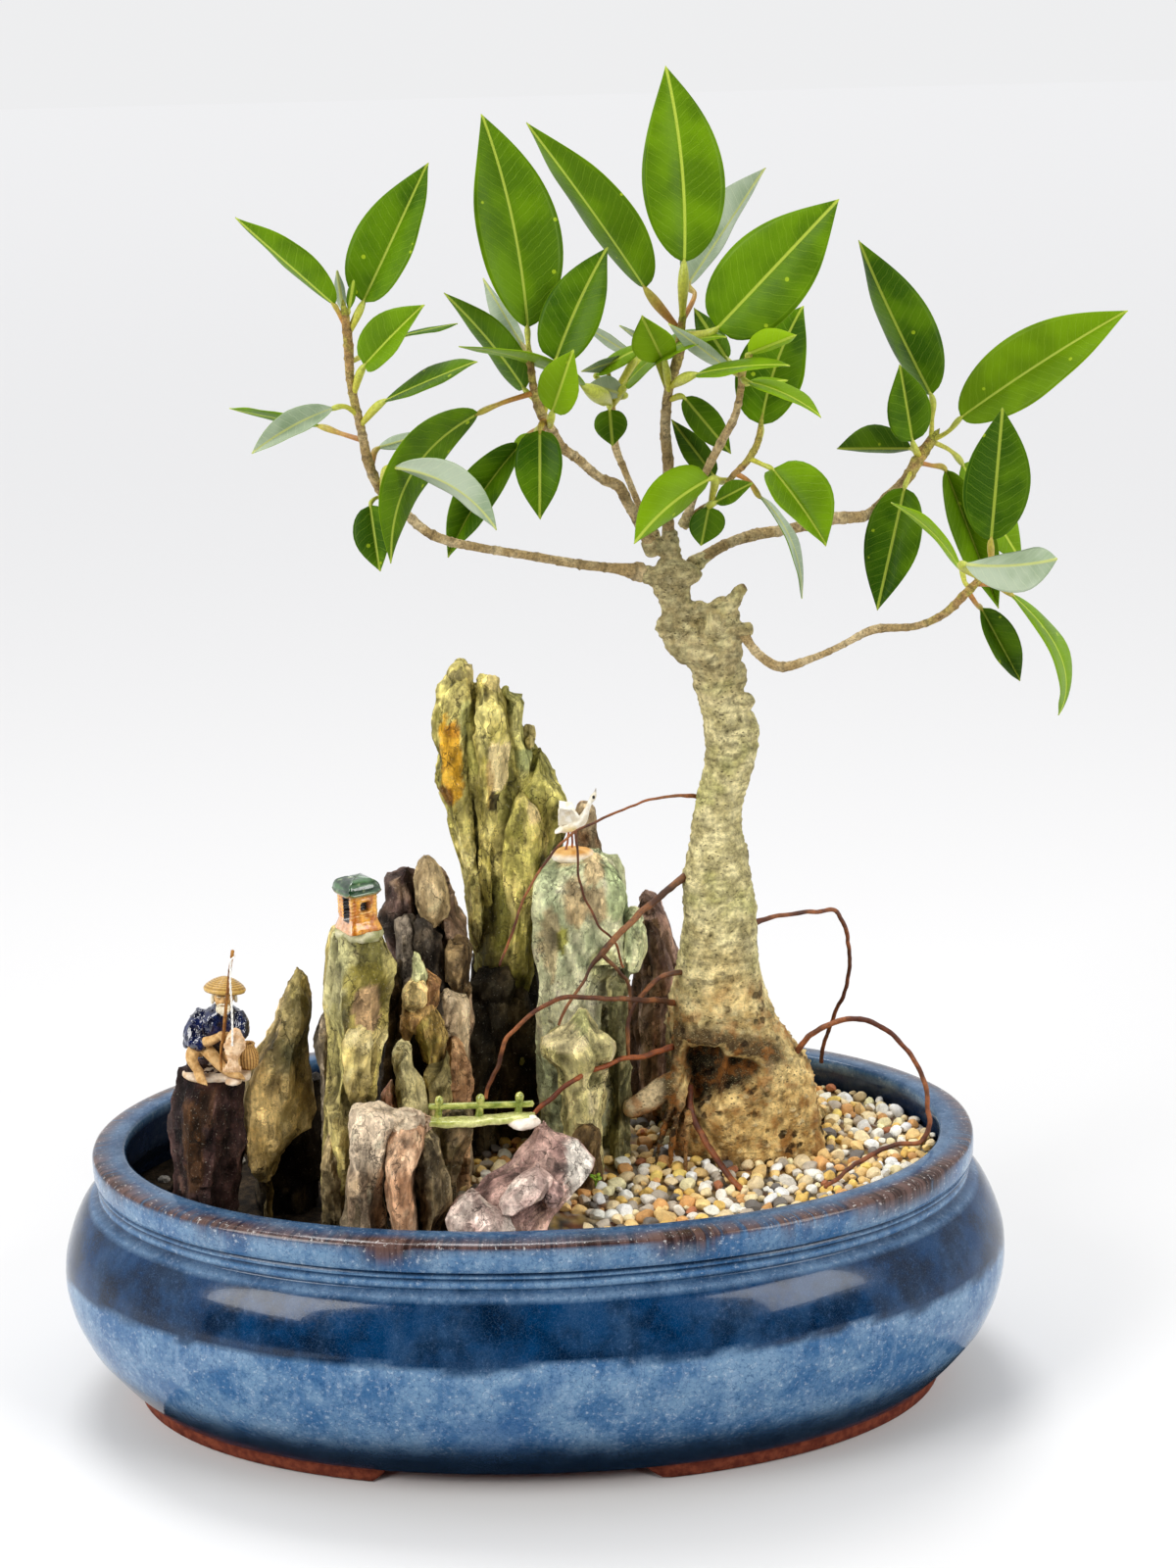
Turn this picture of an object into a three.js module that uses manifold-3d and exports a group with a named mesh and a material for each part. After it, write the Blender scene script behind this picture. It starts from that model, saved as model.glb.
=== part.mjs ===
// Small-leaf fig bonsai in a glazed oval pot, with aerial roots, rocks, gravel and small clay figures.
// Millimetres, +Z up, +Y away from the viewing side, +X to the right.
import * as THREE from 'three';
import Module from 'manifold-3d';

const wasm = await Module();
wasm.setup();
const { Manifold, Mesh: MMesh } = wasm;

// ---- driving dimensions (mm) ----
const RIM_A = 170;          // half length of the pot's rim
const RIM_B = 105;          // half width of the pot's rim
const SUPER_N = 2.08;       // exponent of the oval outline
const SOIL_HIGH = 85.0;     // soil level at the tree
const SOIL_LOW = 75.0;      // soil level at the left, among the rocks
const GRAVEL_TOP = 93.0;    // top of the pebbles
const GAP = 0.3;            // clearance left between neighbouring pieces
const BLADE = 0.7;          // thickness of a leaf blade
const PETIOLE_R = 0.95;     // radius of a leaf stalk
const FRONT = [24.8, -953.0, 504.4];  // point in front of the tree that leaf fold angles are referred to
const ORIGIN = [21.6, 0, 0];   // pot centre to the centre of the bounding box

// pot wall, outside then inside: [height, offset of the outline]
const POT_OUT = [[0, -11.8], [6.6, -11.2], [7.1, -9.5], [15.2, -2.3], [26.3, 5.9], [38.5, 10.8], [50.7, 13.0], [61.5, 12.2], [70.9, 9.1],
  [82.6, 0.4], [84.4, -2.2], [90.4, -0.5], [101.3, 0], [102.1, -12.1]];
const POT_IN = [[92, -11.2], [84, -9.4], [75, -2.0], [52, 5.0], [30, -0.8], [16, -16]];

// stems: [x, y, z, radius] from the trunk outwards
const STEMS = {
  branch_centre: [[57.0, 4.0, 324.9, 2.34], [56.2, 3.0, 344.7, 2.14], [56.8, 3.0, 357.2, 2.31], [55.9, 2.0, 371.3, 2.12], [58.3, 0.0, 389.8, 1.93], [60.5, 0.0, 396.0, 2.11], [62.4, -1.0, 410.0, 1.57]],
  branch_centre_right: [[62.2, -7.0, 337.6, 1.77], [64.7, -9.0, 346.5, 1.59], [69.3, -11.0, 356.6, 1.58], [75.9, -15.0, 370.0, 1.74], [79.6, -17.0, 377.1, 1.56], [82.0, -20.0, 388.5, 1.38], [82.7, -21.0, 394.8, 1.55], [85.0, -22.0, 399.9, 1.2]],
  branch_inner: [[54.9, 14.0, 324.2, 1.63], [46.6, 22.0, 339.9, 1.46], [40.9, 28.0, 353.8, 1.46], [38.5, 30.0, 359.8, 1.64], [37.4, 34.0, 376.8, 1.09], [36.5, 36.0, 385.3, 1.09]],
  branch_left: [[46.5, 4.0, 318.6, 3.06], [36.8, 0.0, 321.1, 2.15], [26.8, -6.0, 323.6, 1.96], [5.7, -16.0, 329.6, 1.76], [-14.8, -26.0, 335.5, 1.74], [-21.6, -29.0, 337.7, 1.9], [-29.5, -32.0, 341.9, 1.9], [-36.0, -35.0, 348.5, 1.89], [-44.0, -38.0, 356.8, 1.88], [-47.6, -40.0, 365.1, 2.04], [-50.4, -42.0, 380.7, 1.69], [-52.9, -44.0, 396.5, 1.67], [-53.1, -45.0, 411.5, 1.83], [-53.7, -45.0, 419.1, 1.5]],
  branch_lower_right: [[82.6, -4.0, 298.8, 2.51], [84.8, -8.0, 293.8, 2.33], [89.5, -12.0, 289.1, 2.32], [93.9, -15.0, 286.7, 2.5], [107.5, -22.0, 290.9, 1.77], [117.3, -27.0, 296.5, 1.58], [127.2, -32.0, 302.7, 2.09], [143.2, -38.0, 305.3, 1.73], [150.7, -41.0, 309.3, 1.9], [159.1, -44.0, 318.1, 2.06], [163.5, -46.0, 323.3, 1.71]],
  branch_right: [[65.1, 9.0, 319.8, 2.17], [77.9, 16.0, 325.9, 2.18], [90.3, 22.0, 328.5, 2.38], [100.1, 26.0, 329.0, 2.2], [120.0, 34.0, 331.6, 2.59], [134.2, 39.0, 332.3, 2.23], [140.8, 42.0, 337.6, 2.23], [148.5, 45.0, 344.0, 2.42], [152.3, 46.0, 350.1, 2.6], [158.1, 48.0, 357.9, 2.23]],
  branch_upper_left: [[51.3, 4.0, 326.5, 2.33], [46.0, -3.0, 337.3, 2.13], [41.4, -8.0, 346.9, 2.12], [38.0, -11.0, 353.5, 2.28], [33.4, -13.0, 355.7, 1.93], [23.5, -19.0, 364.9, 1.91], [18.4, -22.0, 369.3, 2.07], [14.8, -25.0, 376.0, 2.06], [11.9, -27.0, 381.5, 2.06], [9.4, -29.0, 390.4, 1.53], [8.4, -28.0, 401.1, 1.36]],
  shoot_low: [[61.7, -1.0, 336.6, 1.6], [68.3, -5.0, 342.9, 1.42], [75.0, -8.0, 347.5, 1.41], [78.8, -9.0, 354.6, 1.23], [84.8, -10.0, 361.0, 1.4], [88.3, -11.0, 367.4, 1.4], [89.3, -12.0, 373.1, 1.05]],
};
// trunk rings: [x, y, z, half width], top to bottom
const TRUNK = [[57.5, 3, 322.9, 5.2], [57.4, 3, 318.2, 6.7], [57.5, 3, 312.0, 6.5], [60.3, 3, 303.4, 6.1], [61.1, 3, 298.6, 7.8], [63.6, 3, 294.1, 10.0], [69.3, 3, 287.7, 12.2], [72.0, 3, 282.8, 8.7], [73.5, 3, 275.3, 8.6], [76.2, 3, 268.1, 9.1], [78.9, 4, 258.0, 10.1], [78.8, 4, 251.2, 9.7], [76.9, 4, 240.9, 9.0], [74.6, 5, 232.3, 9.0], [72.8, 5, 218.9, 9.3], [73.1, 5, 210.8, 11.1], [72.6, 5, 200.3, 12.7], [73.9, 5, 186.1, 13.8], [73.1, 5, 172.8, 14.6], [72.9, 5, 162.8, 16.2], [73.2, 6, 150.9, 19.2], [75.0, 6, 139.2, 22.0], [77.8, 6, 131.4, 25.2], [80.0, 6, 125.3, 27.2], [81.6, 6, 113.4, 28.2], [83.4, 6, 103.6, 28.3], [84.3, 6, 93.2, 27.8], [84.4, 6, 82.9, 28.0]];
const SHOULDER = [[60.1, 3.0, 314.1, 4.68], [52.6, 4.0, 316.3, 3.96], [46.5, 4.0, 319.0, 3.24]];
const FORK = [[75.9, 2.0, 279.2, 6.18], [75.5, 0.0, 290.8, 7.23], [75.2, -1.0, 298.4, 7.21], [74.8, -2.0, 305.2, 5.39], [74.2, -2.0, 309.3, 2.87]];
const STUB = [[77.3, -2.0, 303.0, 3.24], [79.8, -3.0, 309.0, 2.51], [83.4, -4.0, 314.2, 2.32]];
// aerial roots: strands of [x, y, z, radius]
const ROOTS = {
  root_a: [[[66.1, 8.0, 231.3, 0.93], [57.8, 4.0, 233.0, 0.74], [51.1, 2.0, 233.0, 0.63], [44.8, 0.0, 231.8, 0.59], [29.2, -4.0, 226.9, 0.59], [20.0, -8.0, 223.8, 0.58], [12.9, -12.0, 218.7, 0.58], [6.1, -14.0, 210.7, 0.58], [2.0, -16.0, 204.9, 0.58], [-5.8, -20.0, 185.4, 0.58], [-9.7, -22.0, 176.5, 0.55]], [[19.9, -8.0, 223.4, 0.58], [20.4, -10.0, 214.0, 0.55], [20.6, -11.0, 205.9, 0.55], [24.0, -12.0, 195.8, 0.55], [28.2, -14.0, 188.2, 0.55], [32.1, -14.0, 183.9, 0.55], [36.3, -14.0, 171.7, 0.55]]],
  root_b: [[[61.8, 4.0, 202.0, 1.67], [55.2, -2.0, 199.1, 1.66], [46.4, -8.0, 193.9, 1.56], [36.6, -16.0, 187.1, 1.46], [27.2, -20.0, 178.3, 1.37], [24.5, -20.0, 174.9, 0.91], [21.8, -22.0, 169.9, 0.73], [16.2, -26.0, 163.4, 0.73], [11.6, -28.0, 154.6, 0.66]], [[27.9, -20.0, 179.5, 0.91], [34.7, -20.0, 172.3, 0.82], [37.9, -18.0, 166.5, 0.83], [38.5, -18.0, 156.7, 0.74]]],
  root_c: [[[60.0, 0.0, 164.2, 1.12], [56.5, -3.0, 165.3, 1.12], [50.4, -6.0, 164.2, 1.12], [43.2, -10.0, 158.7, 1.02], [38.9, -12.0, 153.7, 0.93], [37.6, -14.0, 143.8, 0.93], [37.4, -15.0, 136.7, 0.84]]],
  root_d: [[[56.4, 0.0, 151.5, 1.31], [53.3, -4.0, 153.9, 1.31], [40.0, -22.0, 161.7, 1.19], [27.1, -30.0, 165.3, 1.09], [14.9, -34.0, 167.5, 1.08], [3.9, -36.0, 163.9, 0.99], [-1.6, -38.0, 159.8, 0.99], [-7.5, -39.0, 154.6, 0.99], [-11.1, -40.0, 143.9, 0.99], [-14.9, -41.0, 136.3, 0.9], [-15.8, -42.0, 131.7, 0.81]]],
  root_e: [[[56.1, -2.0, 135.5, 1.32], [52.2, -6.0, 135.6, 1.31], [42.6, -14.0, 135.8, 1.21], [36.2, -19.0, 137.1, 1.11], [29.5, -24.0, 136.5, 1.1], [20.2, -28.0, 134.8, 1.1], [13.9, -32.0, 132.2, 1.1], [8.3, -34.0, 128.1, 1.1], [3.9, -37.0, 125.9, 1.09], [0.9, -38.0, 122.9, 0.91]]],
  root_front: [[[60.6, -6.0, 120.1, 1.69], [60.9, -14.0, 113.3, 1.5], [66.1, -20.0, 103.2, 1.49], [74.6, -32.0, 93.4, 1.39], [84.1, -44.0, 88.2, 1.1]]],
  root_right: [[[84.7, 4.0, 180.7, 1.5], [91.7, 8.0, 181.9, 1.13], [111.9, 16.0, 181.9, 1.04], [118.7, 20.0, 180.8, 1.04], [122.5, 24.0, 174.6, 1.05], [125.9, 30.0, 158.7, 0.96], [125.5, 34.0, 147.0, 0.97], [120.5, 42.0, 128.5, 0.98], [117.5, 52.0, 110.9, 0.99], [117.1, 56.0, 103.8, 1.0]]],
  root_rim: [[[100.2, 4.0, 126.8, 1.71], [102.1, 0.0, 130.3, 1.51], [108.7, -2.0, 138.9, 1.32], [117.9, -4.0, 144.2, 1.31], [130.3, -4.0, 143.5, 1.22], [142.2, -8.0, 135.5, 1.12], [148.6, -12.0, 125.8, 1.12], [150.7, -16.0, 116.1, 1.12], [150.7, -20.0, 106.6, 1.12], [147.9, -22.0, 101.9, 1.12], [137.7, -26.0, 102.3, 1.11], [126.5, -34.0, 101.2, 1.1], [108.6, -52.0, 97.1, 0.91]]],
};
// leaves: name, stem, face shown (u upper, l lower), base, middle control, tip, half width, left fold, right fold, widest at, base fullness, stalk points
const LEAVES = [
  ["A", "branch_left", "u", [-57.1, -46.0, 422.9], [-72.2, -54.0, 438.4], [-86.8, -62.0, 453.5], 9.1, 1.39, -0.66, 0.42, 0.7, [[-53.4, -45.0, 415.2], [-55.9, -45.5, 420.6]]],
  ["B", "branch_left", "u", [-47.4, -42.0, 423.3], [-35.8, -36.0, 445.8], [-24.2, -30.0, 468.4], 12.7, -0.0, -0.95, 0.37, 0.6, [[-53.1, -45.0, 412.4]]],
  ["Bs", "branch_left", "l", [-54.7, -40.0, 420.7], [-55.5, -38.0, 427.1], [-56.4, -36.0, 433.6], 2.7, 0.74, 0.91, 0.45, 0.7, [[-53.6, -45.0, 418.5]]],
  ["Bt", "branch_left", "u", [-52.4, -44.0, 421.0], [-51.1, -46.0, 426.1], [-49.9, -48.0, 431.1], 2.2, 0.73, 0.73, 0.45, 0.7, [[-53.6, -45.0, 418.4]]],
  ["C", "branch_left", "u", [-47.4, -50.0, 402.7], [-36.8, -57.0, 413.8], [-25.6, -64.0, 423.8], 8.9, -0.0, -1.11, 0.4, 0.55, [[-52.2, -43.5, 392.4]]],
  ["C2", "branch_left", "u", [-35.0, -30.0, 410.5], [-25.9, -24.0, 411.7], [-16.8, -18.0, 412.9], 4.4, 1.34, -1.34, 0.45, 0.8, [[-53.0, -44.4, 403.1]]],
  ["D", "branch_left", "u", [-41.0, -50.0, 390.6], [-24.8, -59.0, 398.5], [-8.5, -68.0, 405.1], 8.0, 0.95, -1.32, 0.52, 0.7, [[-50.5, -42.1, 381.4]]],
  ["E", "branch_left", "u", [-65.3, -34.0, 380.3], [-81.5, -28.0, 383.0], [-97.8, -22.0, 385.7], 7.0, 1.37, -1.32, 0.45, 0.8, [[-49.5, -41.4, 376.0], [-57.0, -37.7, 377.9]]],
  ["F", "branch_left", "l", [-59.1, -50.0, 388.4], [-73.5, -58.0, 384.5], [-85.4, -66.0, 376.0], 6.6, -0.99, -0.56, 0.5, 0.7, [[-51.1, -42.6, 385.1], [-55.1, -46.3, 388.5]]],
  ["G", "branch_left", "l", [-45.1, -32.0, 372.0], [-36.2, -27.0, 373.8], [-27.3, -22.0, 375.6], 4.1, 0.95, -0.85, 0.45, 0.7, [[-47.6, -40.1, 365.6]]],
  ["I", "branch_left", "l", [-38.2, -52.0, 368.0], [-15.8, -59.0, 365.8], [-4.0, -66.0, 348.0], 8.4, -0.51, 1.25, 0.5, 0.7, [[-44.6, -38.3, 358.2]]],
  ["J", "branch_left", "u", [-48.1, -44.0, 353.8], [-46.6, -48.0, 342.9], [-45.2, -52.0, 332.1], 7.5, -0.82, -0.0, 0.42, 0.55, [[-41.8, -37.2, 354.5], [-46.2, -40.6, 355.9]]],
  ["H", "branch_upper_left", "u", [-10.1, -34.0, 383.4], [-41.5, -46.0, 369.5], [-40.9, -58.0, 335.9], 12.3, 0.96, -0.81, 0.42, 0.7, [[9.7, -28.8, 389.5], [-2.6, -31.4, 386.2]]],
  ["L", "branch_upper_left", "u", [7.6, -22.0, 411.4], [5.9, -12.0, 448.4], [-6.6, -2.0, 483.4], 16.0, -0.7, -0.0, 0.41, 0.75, [[8.4, -28.0, 401.1], [7.8, -25.0, 406.2]]],
  ["L2", "branch_upper_left", "l", [5.4, -10.0, 404.0], [-1.4, 2.0, 414.7], [-8.4, 14.0, 425.6], 7.0, 0.8, 1.27, 0.45, 0.7, [[8.7, -28.3, 397.8]]],
  ["N", "branch_upper_left", "u", [17.2, -30.0, 400.5], [24.9, -27.0, 420.3], [36.2, -24.0, 438.3], 10.8, -0.0, -0.57, 0.38, 0.5, [[12.3, -26.7, 380.8]]],
  ["P", "branch_upper_left", "u", [5.9, -20.0, 389.7], [-5.7, -14.0, 407.9], [-21.7, -8.0, 422.7], 8.9, 1.09, -0.62, 0.35, 0.55, [[11.6, -27.3, 382.7], [9.3, -23.6, 386.3]]],
  ["R", "branch_upper_left", "u", [15.8, -36.0, 383.7], [19.7, -42.0, 394.9], [23.5, -48.0, 406.0], 8.1, -0.0, -0.72, 0.42, 0.55, [[14.5, -25.2, 376.6]]],
  ["T", "branch_upper_left", "u", [4.1, -12.0, 369.3], [-13.5, -4.0, 350.3], [-24.5, 4.0, 325.9], 10.9, -1.1, -0.67, 0.42, 0.6, [[14.1, -25.5, 377.5]]],
  ["U", "branch_upper_left", "u", [11.2, -34.0, 377.0], [10.8, -38.0, 362.1], [10.4, -42.0, 347.1], 8.9, -0.56, -0.0, 0.38, 0.55, [[13.0, -26.3, 379.6]]],
  ["U2", "branch_upper_left", "u", [8.8, -18.0, 373.1], [4.9, -13.0, 368.0], [1.0, -8.0, 362.8], 4.2, 0.95, -0.0, 0.45, 0.6, [[13.2, -26.1, 379.2]]],
  ["Q", "branch_inner", "u", [26.2, -10.0, 389.4], [6.7, -31.0, 404.1], [-15.2, -52.0, 408.4], 12.4, 1.43, -1.41, 0.45, 0.7, [[37.4, 34.0, 376.8]]],
  ["S", "branch_inner", "u", [36.2, 28.0, 375.4], [36.6, 24.0, 369.3], [36.9, 20.0, 363.1], 6.2, -0.0, -0.0, 0.4, 0.5, [[36.8, 35.3, 382.5]]],
  ["W1", "branch_inner", "l", [46.7, 42.0, 393.1], [36.1, 46.0, 399.5], [25.4, 50.0, 405.9], 5.2, 1.13, -1.13, 0.45, 0.7, [[37.1, 34.8, 380.2]]],
  ["W2", "branch_inner", "l", [44.3, 32.0, 394.3], [35.1, 29.0, 392.1], [26.0, 26.0, 390.0], 3.9, 0.87, -0.99, 0.45, 0.7, [[37.2, 34.5, 378.9]]],
  ["W3", "branch_inner", "u", [31.5, 32.0, 388.1], [40.7, 27.0, 395.7], [51.7, 22.0, 399.5], 5.1, 0.96, -0.96, 0.45, 0.7, [[36.7, 35.7, 383.9]]],
  ["W4", "branch_inner", "l", [41.4, 26.0, 381.3], [35.1, 23.0, 383.7], [28.8, 20.0, 386.0], 5.0, 0.67, -0.0, 0.5, 0.6, [[37.2, 34.5, 378.9]]],
  ["W6", "branch_inner", "u", [42.5, 22.0, 385.4], [56.3, -1.0, 405.1], [77.1, -24.0, 406.5], 12.3, 1.28, -1.31, 0.45, 0.7, [[37.5, 33.8, 376.1]]],
  ["M", "branch_centre", "u", [49.5, 4.0, 421.6], [30.1, -2.0, 452.1], [9.1, -8.0, 480.2], 14.4, 1.18, -0.58, 0.38, 0.7, [[61.9, -0.7, 406.3]]],
  ["W5", "branch_centre", "u", [55.3, -8.0, 397.1], [51.5, -13.0, 405.6], [47.7, -18.0, 414.0], 8.3, -0.0, -0.72, 0.42, 0.6, [[57.5, 0.7, 383.3]]],
  ["W0", "branch_centre", "l", [50.8, 14.0, 401.0], [45.6, 17.0, 404.0], [40.4, 20.0, 407.0], 2.7, 1.16, -1.16, 0.45, 0.7, [[57.5, 0.7, 383.3]]],
  ["X1", "branch_centre", "u", [63.3, -4.0, 431.1], [65.5, 2.0, 465.0], [58.2, 8.0, 498.0], 14.8, -0.31, -0.0, 0.4, 0.75, [[62.4, -1.0, 410.0]]],
  ["X2", "branch_centre", "l", [65.7, 16.0, 421.9], [80.3, 25.0, 441.4], [94.9, 34.0, 461.1], 11.4, 0.0, 1.38, 0.42, 0.6, [[62.4, -1.0, 410.0], [67.4, 7.5, 418.7]]],
  ["X3", "branch_centre", "u", [74.1, -16.0, 408.8], [95.0, -24.0, 431.2], [115.2, -32.0, 453.0], 15.6, -0.0, -0.3, 0.38, 0.55, [[61.7, -0.7, 405.1]]],
  ["X8", "branch_centre", "u", [66.4, -22.0, 393.6], [81.7, -36.0, 398.4], [96.8, -50.0, 399.1], 8.3, 1.15, -1.37, 0.42, 0.7, [[57.9, 0.3, 386.7]]],
  ["X11", "branch_centre", "u", [62.6, -4.0, 383.2], [70.7, -7.0, 373.4], [78.9, -10.0, 363.6], 6.0, -0.0, -0.6, 0.45, 0.55, [[57.3, 0.8, 382.0]]],
  ["X5", "branch_centre_right", "u", [84.4, -26.0, 400.7], [92.3, -33.0, 404.5], [100.0, -40.0, 408.2], 6.1, -0.0, 1.23, 0.4, 0.55, [[84.4, -21.8, 398.7]]],
  ["X6", "branch_centre_right", "u", [84.2, -28.0, 391.1], [97.6, -37.0, 388.8], [107.8, -46.0, 380.7], 6.3, 0.87, -1.35, 0.45, 0.7, [[82.3, -20.5, 391.6]]],
  ["X7", "branch_centre_right", "u", [85.0, -16.0, 389.0], [92.2, -12.0, 389.0], [99.5, -8.0, 389.0], 3.3, 0.89, -0.89, 0.45, 0.6, [[82.2, -20.4, 390.9]]],
  ["X9", "branch_centre_right", "l", [78.9, -14.0, 394.0], [67.7, -19.0, 402.9], [56.7, -24.0, 411.7], 6.0, 1.03, -1.1, 0.45, 0.7, [[82.4, -20.6, 392.3]]],
  ["X10", "branch_centre_right", "u", [77.9, -8.0, 397.2], [72.4, -3.0, 405.8], [66.8, 2.0, 414.4], 4.9, 0.0, 0.54, 0.42, 0.6, [[82.5, -20.7, 393.0]]],
  ["X4", "shoot_low", "u", [90.9, 6.0, 371.6], [94.9, 9.0, 394.0], [106.8, 12.0, 413.2], 13.5, -0.0, -0.7, 0.42, 0.6, [[87.6, -10.8, 366.1], [89.9, -2.4, 367.9]]],
  ["X12", "shoot_low", "u", [73.4, 2.0, 353.7], [65.9, 6.0, 363.7], [58.4, 10.0, 373.7], 5.2, -0.49, -0.49, 0.38, 0.55, [[78.4, -8.9, 353.7]]],
  ["X13", "shoot_low", "u", [70.7, -18.0, 355.9], [54.1, -26.0, 349.3], [43.1, -34.0, 336.2], 10.4, 1.09, -0.0, 0.36, 0.55, [[71.8, -6.6, 345.3]]],
  ["X14", "shoot_low", "u", [73.1, -16.0, 347.4], [79.3, -21.0, 351.4], [85.5, -26.0, 355.4], 4.5, 0.0, -0.91, 0.48, 0.6, [[69.2, -5.4, 343.4]]],
  ["X15", "shoot_low", "u", [70.5, -12.0, 345.0], [69.1, -10.0, 337.6], [67.7, -8.0, 330.1], 7.1, -0.0, -0.72, 0.38, 0.55, [[70.8, -6.1, 344.6]]],
  ["X16", "shoot_low", "u", [93.3, -14.0, 358.2], [103.2, -23.0, 346.5], [110.8, -32.0, 333.4], 13.2, -0.0, -1.17, 0.42, 0.5, [[85.3, -10.1, 361.8], [89.9, -12.1, 359.8]]],
  ["X17", "shoot_low", "l", [89.1, -8.0, 347.5], [105.4, 3.0, 329.8], [106.0, 14.0, 305.2], 10.1, 1.39, -1.39, 0.5, 0.7, [[80.5, -9.3, 356.4], [85.2, -8.6, 353.3]]],
  ["Y1", "branch_right", "u", [158.2, 50.0, 375.1], [143.6, 56.0, 403.2], [131.8, 62.0, 432.4], 13.7, 1.12, -0.0, 0.4, 0.65, [[158.1, 48.0, 357.9], [158.5, 49.0, 365.2]]],
  ["Y2", "branch_right", "u", [168.6, 42.0, 367.3], [196.6, 32.0, 389.6], [226.0, 22.0, 407.6], 14.6, -0.07, -0.8, 0.42, 0.65, [[158.1, 48.0, 357.9], [164.3, 45.0, 361.9]]],
  ["Y3", "branch_right", "u", [149.8, 38.0, 359.5], [146.8, 34.0, 374.4], [143.8, 30.0, 389.1], 8.8, -0.59, -0.0, 0.4, 0.6, [[153.8, 46.5, 352.1]]],
  ["Y4", "branch_right", "u", [151.4, 54.0, 354.2], [138.0, 61.0, 353.5], [124.3, 68.0, 352.8], 9.4, 1.37, -0.0, 0.5, 0.65, [[153.2, 46.3, 351.2]]],
  ["Y5", "branch_right", "u", [146.7, 36.0, 342.1], [141.0, 30.0, 320.0], [135.3, 24.0, 297.9], 10.7, -0.37, -0.0, 0.4, 0.6, [[150.2, 45.4, 346.7], [148.7, 40.7, 345.4]]],
  ["Y7a", "branch_right", "u", [164.9, 56.0, 345.3], [175.8, 58.0, 317.8], [186.8, 60.0, 289.9], 11.9, -0.8, -1.07, 0.42, 0.6, [[152.4, 46.0, 350.2], [158.6, 51.0, 348.1]]],
  ["Y7b", "branch_right", "u", [172.2, 62.0, 346.4], [185.1, 69.0, 325.7], [198.4, 76.0, 304.4], 10.3, 0.47, -0.73, 0.45, 0.55, [[158.1, 48.0, 357.9], [166.6, 55.0, 352.9]]],
  ["Y6", "branch_lower_right", "u", [158.1, -36.0, 324.2], [150.9, -24.0, 338.4], [135.9, -12.0, 344.8], 7.7, 1.3, -1.3, 0.45, 0.7, [[160.2, -44.5, 319.4], [158.9, -40.2, 320.5]]],
  ["Y8", "branch_lower_right", "u", [165.5, -54.0, 338.1], [166.5, -58.0, 361.6], [167.4, -62.0, 384.6], 11.7, -0.42, -0.0, 0.43, 0.65, [[163.5, -46.0, 323.3], [165.9, -50.0, 329.2]]],
  ["Y9", "branch_lower_right", "l", [156.0, -62.0, 331.4], [169.6, -75.0, 331.8], [182.4, -88.0, 337.6], 9.3, 1.01, -0.0, 0.56, 0.55, [[163.4, -45.9, 323.1]]],
  ["Y10", "branch_lower_right", "u", [174.6, -44.0, 316.7], [203.0, -35.0, 291.0], [195.4, -26.0, 268.1], 11.2, 1.25, -1.32, 0.46, 0.7, [[161.8, -45.2, 321.2], [167.9, -44.6, 320.4]]],
  ["Y11", "branch_lower_right", "u", [165.5, -34.0, 309.9], [173.8, -27.0, 295.0], [182.3, -20.0, 279.8], 7.4, -0.33, -1.08, 0.42, 0.55, [[159.3, -44.1, 318.3], [163.3, -39.0, 312.4]]],
];
// leaves that are pieces of their own; the others are joined to their shoot
const OWN = ["A", "B", "H", "L", "M", "N", "T", "U", "X1", "X2", "X3", "X4", "X16", "Y1", "Y2", "Y5", "Y8"];
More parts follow.
